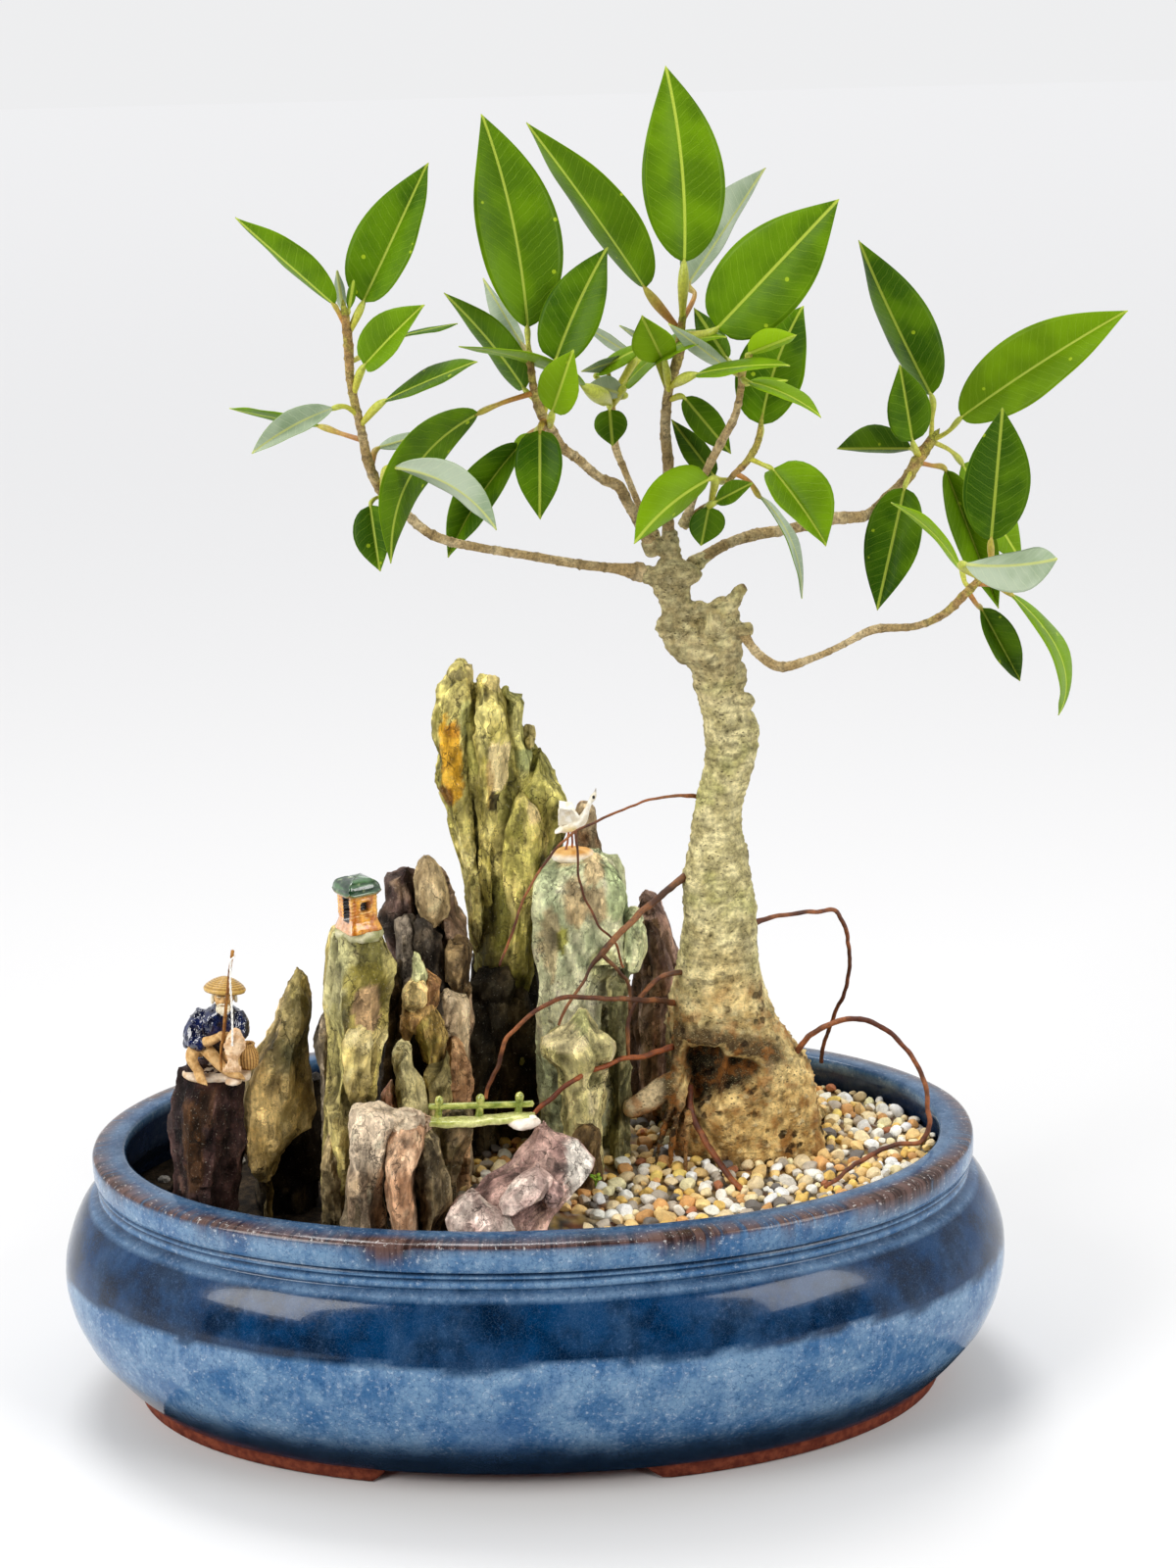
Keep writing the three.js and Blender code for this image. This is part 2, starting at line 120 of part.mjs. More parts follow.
// rocks: depth, half depth, rows of [z, left, right]
const ROCKS = {
  rock_tall: [34, 19, [[277.7, -29.6, -14.6], [270.2, -32.5, -3.6], [264.8, -33.1, 1.5], [254.7, -33.8, 3.1], [242.9, -34.7, 6.9], [234.2, -35.0, 12.0], [225.5, -32.3, 15.9], [215.9, -29.6, 16.8], [201.5, -25.6, 18.7], [187.4, -23.4, 18.0], [166.8, -24.2, 17.1], [146.4, -25.3, 15.0], [125.7, -26.9, 14.4]]],
  rock_crane: [10, 15, [[208.6, 11.0, 31.5], [204.3, 8.3, 36.7], [196.1, 4.3, 40.6], [182.3, 3.2, 43.0], [169.6, 2.4, 44.2], [154.4, 2.7, 41.7], [138.3, 3.4, 40.6]]],
  rock_behind: [46, 13, [[181.5, 43.9, 50.1], [173.7, 43.0, 52.3], [163.0, 42.8, 55.2], [152.6, 42.6, 58.2], [132.2, 41.4, 57.9], [116.7, 41.1, 57.7]]],
  rock_purple: [8, 14, [[210.0, -39.9, -34.7], [206.5, -46.0, -28.9], [201.9, -54.8, -24.6], [186.6, -55.8, -25.2], [174.3, -56.4, -22.6], [156.8, -56.4, -23.2], [132.6, -57.5, -24.9]]],
  rock_front: [-17, 10, [[155.7, 13.1, 24.8], [150.2, 6.3, 30.6], [143.9, 3.5, 34.2], [134.8, 3.2, 34.0], [126.9, 4.9, 32.3], [116.9, 9.0, 29.1], [108.8, 11.1, 27.5], [100.8, 11.6, 27.3]]],
  rock_points: [-22, 8, [[182.3, -40.9, -38.0], [171.5, -44.2, -35.1], [158.0, -47.0, -33.5], [147.3, -48.2, -22.5], [132.3, -49.6, -22.3], [116.4, -51.0, -22.1]]],
  rock_hut: [-42, 13, [[197.3, -69.0, -47.7], [192.0, -70.7, -45.4], [179.3, -72.4, -47.0], [164.1, -73.9, -49.9], [146.9, -74.4, -52.8], [129.5, -76.0, -55.7], [110.0, -77.4, -57.3]]],
  rock_lean: [-22, 11, [[175.4, -86.4, -82.8], [168.9, -89.3, -80.2], [158.4, -94.7, -78.2], [138.9, -104.6, -79.6], [127.9, -106.7, -81.2], [114.1, -107.9, -86.0], [102.1, -108.2, -88.1]]],
  rock_angler: [-38, 12, [[142.8, -130.0, -104.0], [139.4, -131.4, -103.5], [125.4, -132.6, -105.7], [109.7, -133.7, -109.2], [96.3, -134.6, -112.2]]],
  rock_block: [-66, 15, [[134.2, -64.4, -45.7], [130.8, -66.0, -44.8], [124.6, -67.0, -38.7], [112.3, -68.0, -32.1], [100.7, -68.2, -30.4]]],
  rock_block_b: [-64, 12, [[129.9, -46.0, -32.9], [128.8, -47.5, -31.5], [120.7, -48.9, -29.7], [109.2, -50.1, -27.7], [99.5, -50.5, -27.7]]],
  rock_slab: [-63, 12, [[128.3, 1.8, 6.0], [124.2, -8.6, 9.5], [118.8, -17.0, 16.4], [109.6, -25.2, 21.9], [101.2, -30.5, 23.1], [92.2, -31.5, 22.9]]],
};
const ROD = [[-110.9, -55, 154.2], [-108.4, -56, 169.9], [-105.6, -56, 186.2], [-103.7, -56, 196.2]];
const LINE = [[-104.7, -56, 191.4], [-106.7, -56, 158.6]];
const HUT = [-60.2, -42, 197.35];

// ---- vector helpers ----
const add = (a, b, s = 1) => [a[0] + b[0] * s, a[1] + b[1] * s, a[2] + b[2] * s];
const sub = (a, b) => [a[0] - b[0], a[1] - b[1], a[2] - b[2]];
const dot = (a, b) => a[0] * b[0] + a[1] * b[1] + a[2] * b[2];
const cross = (a, b) => [a[1] * b[2] - a[2] * b[1], a[2] * b[0] - a[0] * b[2], a[0] * b[1] - a[1] * b[0]];
const norm = (a) => { const l = Math.hypot(...a) || 1; return [a[0] / l, a[1] / l, a[2] / l]; };
const mix = (a, b, t) => [a[0] + (b[0] - a[0]) * t, a[1] + (b[1] - a[1]) * t, a[2] + (b[2] - a[2]) * t];
const rnd = (i, k = 0) => { const s = Math.sin(i * 127.1 + k * 311.7 + 17.3) * 43758.5453; return (s - Math.floor(s)) * 2 - 1; };

// closed body from a stack of rings with equal counts; the ends are fans about their middles
function loft(rings) {
  const n = rings[0].length, v = [], t = [];
  for (const r of rings) for (const p of r) v.push(...p);
  const cap = (r) => { const c = [0, 0, 0]; for (const p of r) for (let k = 0; k < 3; k++) c[k] += p[k] / n; v.push(...c); return v.length / 3 - 1; };
  for (let i = 0; i + 1 < rings.length; i++) for (let j = 0; j < n; j++) {
    const a = i * n + j, b = i * n + (j + 1) % n, c = a + n, d = b + n;
    t.push(a, b, d, a, d, c);
  }
  const c0 = cap(rings[0]), c1 = cap(rings[rings.length - 1]), o = (rings.length - 1) * n;
  for (let j = 0; j < n; j++) { t.push(c0, (j + 1) % n, j); t.push(c1, o + j, o + (j + 1) % n); }
  return solid(v, t);
}
function solid(v, t) {
  let vol = 0;
  for (let i = 0; i < t.length; i += 3) {
    const a = v.slice(t[i] * 3, t[i] * 3 + 3), b = v.slice(t[i + 1] * 3, t[i + 1] * 3 + 3), c = v.slice(t[i + 2] * 3, t[i + 2] * 3 + 3);
    vol += dot(a, cross(b, c));
  }
  if (vol < 0) for (let i = 0; i < t.length; i += 3) [t[i + 1], t[i + 2]] = [t[i + 2], t[i + 1]];
  const m = new MMesh({ numProp: 3, vertProperties: new Float32Array(v), triVerts: new Uint32Array(t) });
  return new Manifold(m);
}
const union = (list) => list.length === 1 ? list[0] : Manifold.union(list);
function biggest(m, name) {
  const parts = m.decompose();
  if (parts.length <= 1) return m;
  parts.sort((a, b) => b.volume() - a.volume());
  return parts[0];
}

// round stem through points [x, y, z, radius]
function tube(pts, sides, g = 0, rough = 0.06, seed = 1) {
  const rings = [];
  let up = null;
  for (let i = 0; i < pts.length; i++) {
    const p = pts[i].slice(0, 3), a = pts[Math.max(0, i - 1)], b = pts[Math.min(pts.length - 1, i + 1)];
    const t = norm(sub(b.slice(0, 3), a.slice(0, 3)));
    if (!up) up = Math.abs(t[2]) < 0.9 ? [0, 0, 1] : [0, 1, 0];
    const u = norm(sub(up, t.map((k) => k * dot(up, t)))), w = cross(t, u);
    up = u;
    const e = i === 0 ? -g : i === pts.length - 1 ? g : 0, q = add(p, t, e), r = pts[i][3] + g;
    const ring = [];
    for (let j = 0; j < sides; j++) {
      const f = j / sides * Math.PI * 2, k = r * (1 + rough * rnd(i * 13 + j, seed));
      ring.push(add(add(q, u, Math.cos(f) * k), w, Math.sin(f) * k));
    }
    rings.push(ring);
  }
  return loft(rings);
}

// leaf: stalk from the stem, then a blade whose two halves are folded about the midrib
function leaf(row, g = 0) {
  const [name, , , B, C, T, w, fl, fr, pos, eb, stalk] = row;
  const len = Math.hypot(...sub(T, B)), big = len > 26, k = Math.log(0.5) / Math.log(pos);
  const ts = big ? [0, 0.1, 0.3, 0.56, 0.8, 1] : [0, 0.2, 0.58, 1];
  const prof = (t) => Math.pow(Math.max(0, Math.sin(Math.PI * Math.pow(t, k))), t < pos ? eb : 0.85 + 0.15 * Math.min(1, Math.max(0, (t - 0.65) / 0.35)));
  const rp = (big ? PETIOLE_R : PETIOLE_R * 0.8) + g, rings = [];
  const frame = (p, t) => {
    const e = norm(sub(FRONT, p)), x = norm(cross(e, t)), d = norm(sub(t.map((q) => q * dot(e, t)), e));
    return [x, d];
  };
  const section = (p, t, half, th) => {
    const [x, d] = frame(p, t), h = Math.max(half, rp);
    const blade = half > rp * 1.6;
    const cl = blade ? fl : 0, cr = blade ? fr : 0;
    const dl = add(x.map((q) => q * Math.cos(cl)), d, Math.sin(cl)), dr = add(x.map((q) => -q * Math.cos(cr)), d, Math.sin(cr));
    const nl = add(d.map((q) => -q * Math.cos(cl)), x, Math.sin(cl)), nr = add(d.map((q) => -q * Math.cos(cr)), x, -Math.sin(cr));
    const nm = norm(add(nl, nr)), te = blade ? th * 0.6 : th * 0.5, hh = h + g;
    const L = add(p, dl, blade ? hh : rp), R = add(p, dr, blade ? hh : rp);
    if (!big) return [L, add(p, nm, th * 0.6), R, add(p, nm, -th * 0.6)];
    return [add(L, nl, te / 2), add(p, nm, th / 2), add(R, nr, te / 2), add(R, nr, -te / 2), add(p, nm, -th / 2), add(L, nl, -te / 2)];
  };
  const pts = big ? [...stalk] : stalk.slice(0, 1);
  for (let i = 0; i < pts.length; i++) {
    const t = norm(sub(i + 1 < pts.length ? pts[i + 1] : B, pts[i]));
    const bulge = i === 0 ? 1.15 : 1;
    rings.push(section(pts[i], t, rp * bulge, rp * 2));
  }
  for (const t of ts) {
    const p = B.map((_, i) => (1 - t) * (1 - t) * B[i] + 2 * t * (1 - t) * C[i] + t * t * T[i]);
    const q = norm(B.map((_, i) => 2 * (1 - t) * (C[i] - B[i]) + 2 * t * (T[i] - C[i])));
    if (t === 1) {
      const [x, d] = frame(p, q), s = 0.35 + g;
      const z = add(p, q, g);
      if (!big) { rings.push([add(z, x, s), add(z, d, -s / 2), add(z, x, -s), add(z, d, s / 2)]); continue; }
      rings.push([add(z, x, s), add(z, d, -s / 2), add(z, x, -s), add(z, x, -s), add(z, d, s / 2), add(z, x, s)].map((r, i) => add(r, d, i < 3 ? -0.12 : 0.12)));
    } else rings.push(section(p, q, t === 0 ? rp : Math.max(w * prof(t), rp * 1.7), t === 0 ? rp * 2 : BLADE + (1 - t) * 0.6 + 2 * g));
  }
  return loft(rings);
}

// ---- pot, soil and gravel ----
const sup = (a, b, f) => {
  const c = Math.cos(f), s = Math.sin(f), e = 2 / SUPER_N;
  return [a * Math.sign(c) * Math.pow(Math.abs(c), e), b * Math.sign(s) * Math.pow(Math.abs(s), e)];
};
const oval = (o, z, n = 28) => Array.from({ length: n }, (_, i) => [...sup(RIM_A + o, RIM_B + o, i / n * Math.PI * 2), typeof z === 'function' ? 0 : z]);
function pot() {
  const rings = [oval(-27.5, 4.6), oval(-26.5, 0), ...POT_OUT.map(([z, o]) => oval(o, z)), ...POT_IN.map(([z, o]) => oval(o, z))];
  let p = loft(rings);
  const arch = (y0, y1) => loft([[[-60, y0, -1], [50, y0, -1], [32, y0, 5.6], [-53, y0, 5.6]], [[-60, y1, -1], [50, y1, -1], [32, y1, 5.6], [-53, y1, 5.6]]]);
  p = p.subtract(arch(-130, -62)).subtract(arch(62, 130));
  return p;
}
const ramp = (x) => { const t = Math.min(1, Math.max(0, (x + 62) / 48)); return SOIL_LOW + (SOIL_HIGH - SOIL_LOW) * t * t * (3 - 2 * t); };
const inner = (z) => {
  const p = POT_IN;
  for (let i = 0; i + 1 < p.length; i++) if (z <= p[i][0] && z >= p[i + 1][0]) return p[i + 1][1] + (p[i][1] - p[i + 1][1]) * (z - p[i + 1][0]) / (p[i][0] - p[i + 1][0]);
  return p[0][1];
};
function soil(g = 0) {
  const n = 24, rings = [];
  for (const z of [16.6, 30, 52, 70]) rings.push(oval(inner(z) - 2.2 + g, z, n));
  for (const s of [1, 0.66, 0.28]) rings.push(oval(0, 0, n).map((p, i) => {
    const q = [p[0] * (RIM_A - 9) / RIM_A * s, p[1] * (RIM_B - 9) / RIM_B * s], z = ramp(q[0]);
    const o = inner(z) - 2.2 + g, f = [(RIM_A + o) / (RIM_A - 9), (RIM_B + o) / (RIM_B - 9)];
    return [q[0] * f[0], q[1] * f[1], z + (s < 1 ? rnd(i, s * 9) * 0.8 - 0.8 : -0.4) + g];
  }));
  return loft(rings);
}
function gravel() {
  const X0 = -34, X1 = RIM_A - 12.6, nx = 12, ny = 5, v = [], t = [];
  const half = (x) => (RIM_B - 12.6) * Math.pow(Math.max(0, 1 - Math.pow(Math.abs(x) / (RIM_A - 12.6), SUPER_N)), 1 / SUPER_N);
  const id = (s, i, j) => (s * (nx + 1) + i) * (ny + 1) + j;
  for (let s = 0; s < 2; s++) for (let i = 0; i <= nx; i++) for (let j = 0; j <= ny; j++) {
    const fx = 1 - Math.pow(1 - i / nx, 1.25), x = Math.min(X1 - 1.5, X0 + (X1 - X0) * fx) + (i === 0 ? rnd(j, 5) * 4 : 0), h = half(x), y = -h + 2 * h * j / ny;
    const edge = i === 0 ? 3.6 : i === 1 ? 1.4 : 0;
    v.push(x, y, s === 0 ? ramp(x) + 0.5 + (j > 0 && j < ny ? 0 : 0) + 0.3 : GRAVEL_TOP - edge - (SOIL_HIGH - ramp(x)) * 0.6 + rnd(i * 31 + j, 3) * 0.9);
  }
  for (let i = 0; i < nx; i++) for (let j = 0; j < ny; j++) {
    let a = id(1, i, j), b = id(1, i + 1, j), c = id(1, i + 1, j + 1), d = id(1, i, j + 1);
    t.push(a, b, c, a, c, d);
    a = id(0, i, j); b = id(0, i + 1, j); c = id(0, i + 1, j + 1); d = id(0, i, j + 1);
    t.push(a, c, b, a, d, c);
  }
  const side = (a, b) => { const [i, j] = a, [k, l] = b; t.push(id(0, i, j), id(0, k, l), id(1, k, l), id(0, i, j), id(1, k, l), id(1, i, j)); };
  for (let i = 0; i < nx; i++) { side([i, 0], [i + 1, 0]); side([i + 1, ny], [i, ny]); }
  for (let j = 0; j < ny; j++) { side([nx, j], [nx, j + 1]); side([0, j + 1], [0, j]); }
  return solid(v, t);
}

// ---- trunk ----
function trunk(g = 0) {
  const n = 10, rings = TRUNK.filter((_, i) => i % 2 === 0 || i > 22 || i === 5 || i === TRUNK.length - 1).map(([x, y, z, w], i, all) => Array.from({ length: n }, (_, j) => {
    const f = j / n * Math.PI * 2, k = 1 + 0.05 * rnd(j * 3 + Math.floor(i / 3), 7) * (j % (n / 2) ? 1 : 0), s = z < 120 ? 0.82 : 0.9;
    return [x + (w * k + g) * Math.cos(f), y + (w * k * s + g) * Math.sin(f), z + (i === 0 ? g : i === all.length - 1 ? -g : 0)];
  }));
  const rows = [loft(rings), tube(SHOULDER, 8, g, 0.08, 3), tube(FORK, 8, g, 0.1, 4), tube(STUB, 6, g, 0.06, 5)];
  let m = union(rows);
  if (!g) {
    const c = [[60.9, 136.5], [73, 137.6], [88, 133.0], [89.2, 126.5], [81.5, 119], [68.4, 112.6], [63.6, 112.4], [60.0, 124]];
    const q = c.reduce((a, b) => [a[0] + b[0] / c.length, a[1] + b[1] / c.length], [0, 0]);
    m = m.subtract(loft([[-40, 1], [-12, 1], [-5.5, 0.72], [-3, 0.3]].map(([y, s]) => c.map((p) => [q[0] + (p[0] - q[0]) * s, y, q[1] + (p[1] - q[1]) * s]))));
  }
  return m;
}

// ---- rocks: rings from the visible left and right edges, carried down into the soil ----
function rock(key, g = 0, seed = 1, n = 8) {
  const [y, hd, rows] = ROCKS[key], all = [...rows, [66, rows[rows.length - 1][1] - 0.5, rows[rows.length - 1][2] + 0.5]];
  const yaw = rnd(seed, 2) * 0.18;
  return loft(all.map(([z, a, b], i) => Array.from({ length: n }, (_, j) => {
    const f = (j + 0.0) / n * Math.PI * 2 + yaw * (j % 2), cx = (a + b) / 2, hw = (b - a) / 2 + g;
    const top = i === 0 ? 0.62 : i === 1 ? 0.9 : 1;
    const kx = j % (n / 2) === 0 ? 1 : Math.sign(Math.cos(f)) * Math.pow(Math.abs(Math.cos(f)), 0.75) / Math.cos(f) * (1 + 0.05 * rnd(j, seed));
    const ky = Math.pow(Math.abs(Math.sin(f)) + 1e-9, -0.25) * (1 + 0.1 * rnd(j * 5 + Math.floor(i / 2), seed + 3));
    return [cx + hw * Math.cos(f) * kx, y + (hd * top * Math.min(1.15, ky) + g) * Math.sin(f) * (Math.abs(Math.sin(f)) < 1e-6 ? 0 : 1), z + (i === 0 ? g : 0)];
  })));
}

// ---- clay figures ----
const stack = (rows, n = 8, turn = 0) => loft(rows.map(([x, y, z, a, b]) => Array.from({ length: n }, (_, j) => {
  const f = j / n * Math.PI * 2 + turn; return [x + a * Math.cos(f), y + b * Math.sin(f), z];
})));
const slab = (pts, z0, z1) => loft([pts.map((p) => [p[0], p[1], z0]), pts.map((p) => [p[0], p[1], z1])]);
function angler() {
  const b = 143.15;
  return union([
    stack([[-118, -37, b, 7, 6.5], [-117.5, -37, 150, 8.8, 7.6], [-116, -37.5, 157, 10, 7.6], [-114.2, -38.5, 163, 8.6, 6.6], [-112, -39.5, 167.6, 5, 4.6], [-111, -40, 169.6, 2.6, 2.6]], 8),
    stack([[-110.6, -40.4, 168.4, 1.6, 1.6], [-110.6, -41, 170.2, 3.4, 3.5], [-110.4, -41, 172.6, 4, 4], [-110.4, -40.6, 175, 3.4, 3.4]], 7),
    stack([[-110.2, -40.8, 173.9, 7.4, 7.2], [-110.1, -40.8, 174.7, 7.3, 7.1], [-110, -40.8, 177, 3.6, 3.6], [-110, -40.8, 179.3, 0.9, 0.9]], 9),
    stack([[-110.6, -43.6, 163.5, 0.9, 0.8], [-110.6, -44, 168, 2, 1.4], [-110.6, -43.2, 171, 2.2, 1.6]], 5),
    tube([[-106.5, -39, 164.5, 2.6], [-104.8, -43.5, 160.5, 2.5], [-108.2, -48.6, 159.4, 2.2], [-109.6, -50.4, 159.6, 1.6]], 5),
    tube([[-120.5, -39, 164, 2.6], [-121, -44, 160, 2.5], [-114.5, -48.4, 159.2, 2.1], [-111, -49.6, 159.2, 1.6]], 5),
    tube([[-111, -41, 152.5, 3], [-106.5, -47.5, 152.8, 2.5], [-106.6, -48.6, 147.5, 1.8], [-106.8, -50.0, 144.8, 1.6]], 5),
    tube([[-118, -41, 152.2, 3], [-115.2, -48.4, 152.2, 2.5], [-114.8, -49.0, 147, 1.8], [-114.8, -50.2, 144.8, 1.6]], 5),
    stack([[-102.6, -40, 145.2, 2.2, 2], [-102.4, -40, 149, 3, 2.7], [-102.4, -40, 152.6, 2.2, 2.1], [-102.4, -40, 153.6, 2.6, 2.4]], 6),
    tube([[-106.5, -39.5, 152, 1.2], [-103, -40, 151, 1.2]], 5),
  ]);
}
function rod() {
  const q = ROD.map((p, i) => [...p, 0.75 - i * 0.09]);
  return union([tube(q, 5, 0, 0), tube([[...LINE[0], 0.45], [...LINE[1], 0.45]], 4, 0, 0),
    stack([[-106.2, -56, 149.6, 0.8, 0.6], [-106.6, -56, 152.4, 3.2, 1.5], [-106.4, -56, 157, 3.5, 2], [-106.1, -56, 161.5, 2.4, 1.6], [-106, -56, 163.4, 0.9, 0.9], [-106, -56, 165.6, 2.4, 0.8]], 8),
    tube([[LINE[0][0] + 1.2, LINE[0][1], LINE[0][2] + 1.2, 0.5], [LINE[0][0] - 0.2, LINE[0][1], LINE[0][2] - 0.6, 0.5]], 4, 0, 0)]);
}
function hut() {
  const [x, y, z] = HUT, q = Math.PI / 4;
  let h = stack([[x, y, z + 0.3, 11.6, 10.4], [x, y, z + 1.6, 11.2, 10], [x, y, z + 5, 9.6, 8.6], [x, y, z + 14.8, 9.6, 8.6], [x, y, z + 14.9, 12, 10.8], [x, y, z + 15.9, 11.4, 10.2], [x, y, z + 18.2, 6.4, 5.8], [x, y, z + 20.6, 3, 2.7], [x, y, z + 22.2, 1.2, 1.2]], 4, q);
  h = h.subtract(slab([[x - 4, y - 8], [x - 1.9, y - 8], [x - 1.9, y - 5.4], [x - 4, y - 5.4]], z + 5.4, z + 13.2));
  h = h.subtract(slab([[x + 1.2, y - 8], [x + 4, y - 8], [x + 4, y - 5.4], [x + 1.2, y - 5.4]], z + 8.6, z + 11.8));
  return h;
}
function crane() {
  const y = 10;
  return union([
    tube([[11.6, y, 217.6, 0.7], [14.2, y, 219.6, 2.0], [17.6, y, 221.2, 3.0], [21, y, 222.6, 2.4], [23.2, y, 224.8, 1.3], [24.2, y, 228, 0.95], [25.6, y, 231, 1.0], [26.9, y, 232.2, 1.3], [27.5, y, 233.4, 0.7], [28, y, 235.2, 0.35]], 6, 0, 0),
    loft([[[13.5, y + 1.5, 221], [20.5, y + 1.5, 222.6], [20, y + 2.4, 223.4], [13.5, y + 2.4, 221.9]], [[12.6, y + 5, 226.8], [18, y + 5, 227.8], [17.6, y + 5.7, 228.2], [12.9, y + 5.7, 227.4]], [[13.2, y + 6.6, 229], [16.4, y + 6.6, 229.4], [16.4, y + 7.1, 229.7], [13.2, y + 7.1, 229.3]]]),
    loft([[[13.5, y - 2.4, 221.9], [20, y - 2.4, 223.4], [20.5, y - 1.5, 222.6], [13.5, y - 1.5, 221]], [[12.9, y - 5.7, 227.4], [17.6, y - 5.7, 228.2], [18, y - 5, 227.8], [12.6, y - 5, 226.8]], [[13.2, y - 7.1, 229.3], [16.4, y - 7.1, 229.7], [16.4, y - 6.6, 229.4], [13.2, y - 6.6, 229]]]),
    tube([[16.4, y - 1, 219.8, 0.45], [16.8, y - 1, 214, 0.45], [16.9, y - 1, 210.6, 0.45]], 4, 0, 0),
    tube([[18.2, y + 1, 220, 0.45], [18.6, y + 1, 214, 0.45], [18.8, y + 1, 210.6, 0.45]], 4, 0, 0),
    stack([[19, y, 208.95, 7.2, 5], [19, y, 210.4, 7.4, 5.2], [19, y, 211.6, 5, 3.4]], 9),
  ]);
}
function bridge() {
  const z = 128.95, d = [[-47, -66], [-6, -63], [4.6, -54], [-36.5, -57]];
  const post = (x, y) => slab([[x - 1.3, y - 1.2], [x + 1.3, y - 1.2], [x + 1.3, y + 1.2], [x - 1.3, y + 1.2]], z + 1, z + 12);
  return union([slab(d, z, z + 3),
    ...[[-26.5, -58.3], [-12.6, -57.2], [0.6, -56.3]].map(([x, y]) => post(x, y)),
    loft([[[-30, -59.4, z + 5.6], [-30, -57.8, z + 5.6], [-30, -57.8, z + 8], [-30, -59.4, z + 8]], [[6.2, -56.6, z + 5.6], [6.2, -55, z + 5.6], [6.2, -55, z + 8], [6.2, -56.6, z + 8]]]),
  ]);
}

// ---- assembly ----
const split = { branch_left: 7, branch_upper_left: 5, branch_inner: 3, branch_centre: 3, branch_centre_right: 4, branch_right: 6, branch_lower_right: 8 };
const own = new Set(OWN);
const jobs = [];
const job = (name, color, rough, make) => jobs.push({ name, color, rough, make });
job('pot', 0x8f9cc8, 0.18, () => pot());
job('soil', 0x2f2822, 0.95, (g) => soil(g));
job('trunk', 0xb7ac8c, 0.85, (g) => trunk(g));
for (const [k, s] of Object.entries(split)) job(k, 0xa98a5c, 0.8, (g) => tube(STEMS[k].slice(0, s + 1), 8, g, 0.05, k.length));
const tip = (a, b) => { const t = norm(sub(b.slice(0, 3), a.slice(0, 3))); return [...add(a.slice(0, 3), t, GAP), a[3]]; };
for (const k of [...Object.keys(split), 'shoot_low']) {
  const s = split[k] ?? 0, pts = STEMS[k].slice(s), name = k.replace('branch', 'shoot');
  if (s) pts[0] = tip(pts[0], pts[1]);
  job(name, 0x7f9a2e, 0.45, (g) => union([tube(pts, 6, g, 0.04, 5), ...LEAVES.filter((l) => l[1] === k && !own.has(l[0])).map((l) => leaf(l, g))]));
}
for (const [k, t] of Object.entries(ROOTS)) job(k, 0x7a4a2c, 0.7, (g) => union(t.map((p, i) => tube(p, 5, g, 0.05, i + 2))));
for (const l of LEAVES) if (own.has(l[0])) job('leaf_' + l[0].toLowerCase(), l[2] === 'u' ? 0x4f8a12 : 0xa9b89a, 0.3, (g) => leaf(l, g));
job('figure_angler', 0x27386f, 0.4, () => angler());
job('rod_line_fish', 0xd9b48c, 0.6, () => rod());
job('hut', 0xd08a2c, 0.4, () => hut());
job('crane', 0xf2f0ea, 0.4, () => crane());
job('bridge', 0xb9c98a, 0.5, () => bridge());
const stone = { rock_tall: 0x7c7f56, rock_crane: 0x7f8f84, rock_behind: 0x6d5a5c, rock_purple: 0x5d4a58, rock_front: 0x9aa98c, rock_points: 0x9d9a6c, rock_hut: 0x9fb08d, rock_lean: 0x87885f, rock_angler: 0x75605f, rock_block: 0xa18a80, rock_slab: 0x6b5566 };
let seed = 1;
for (const [k, c] of Object.entries(stone)) {
  const s = seed++;
  job(k, c, 0.9, (g) => k === 'rock_block' ? union([rock(k, g, s), rock('rock_block_b', g, s + 20)]) : rock(k, g, s));
}
job('gravel', 0xc9b88c, 0.85, () => gravel());

const root = new THREE.Group();
root.name = 'bonsai';
const grown = new Map();
const fat = (j) => { if (!grown.has(j.name)) grown.set(j.name, j.make(GAP)); return grown.get(j.name); };
const touch = (a, b) => a.min.every((m, i) => m <= b.max[i] + GAP) && b.min.every((m, i) => m <= a.max[i] + GAP);
const done = [];
for (const j of jobs) {
  let m = j.make(0);
  const box = m.boundingBox(), cut = [];
  for (const d of done) if (d.name !== 'pot' && touch(box, d.box)) {
    const f = fat(d);
    if (m.intersect(f).volume() > 1e-4) cut.push(f);
  }
  if (cut.length) m = m.subtract(union(cut));
  m = biggest(m, j.name);
  j.box = m.boundingBox();
  done.push(j);
  const mesh = m.getMesh(), geo = new THREE.BufferGeometry();
  const pos = new Float32Array(mesh.numVert * 3);
  for (let i = 0; i < mesh.numVert; i++) for (let k = 0; k < 3; k++) pos[i * 3 + k] = mesh.vertProperties[i * mesh.numProp + k] - ORIGIN[k];
  geo.setAttribute('position', new THREE.BufferAttribute(pos, 3));
  geo.setIndex(Array.from(mesh.triVerts));
  geo.computeVertexNormals();
  const body = new THREE.Mesh(geo, new THREE.MeshStandardMaterial({ color: j.color, roughness: j.rough, metalness: 0 }));
  body.name = j.name;
  root.add(body);
}

export default root;
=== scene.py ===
import math
import bpy
import numpy as np
from mathutils import Matrix, Vector


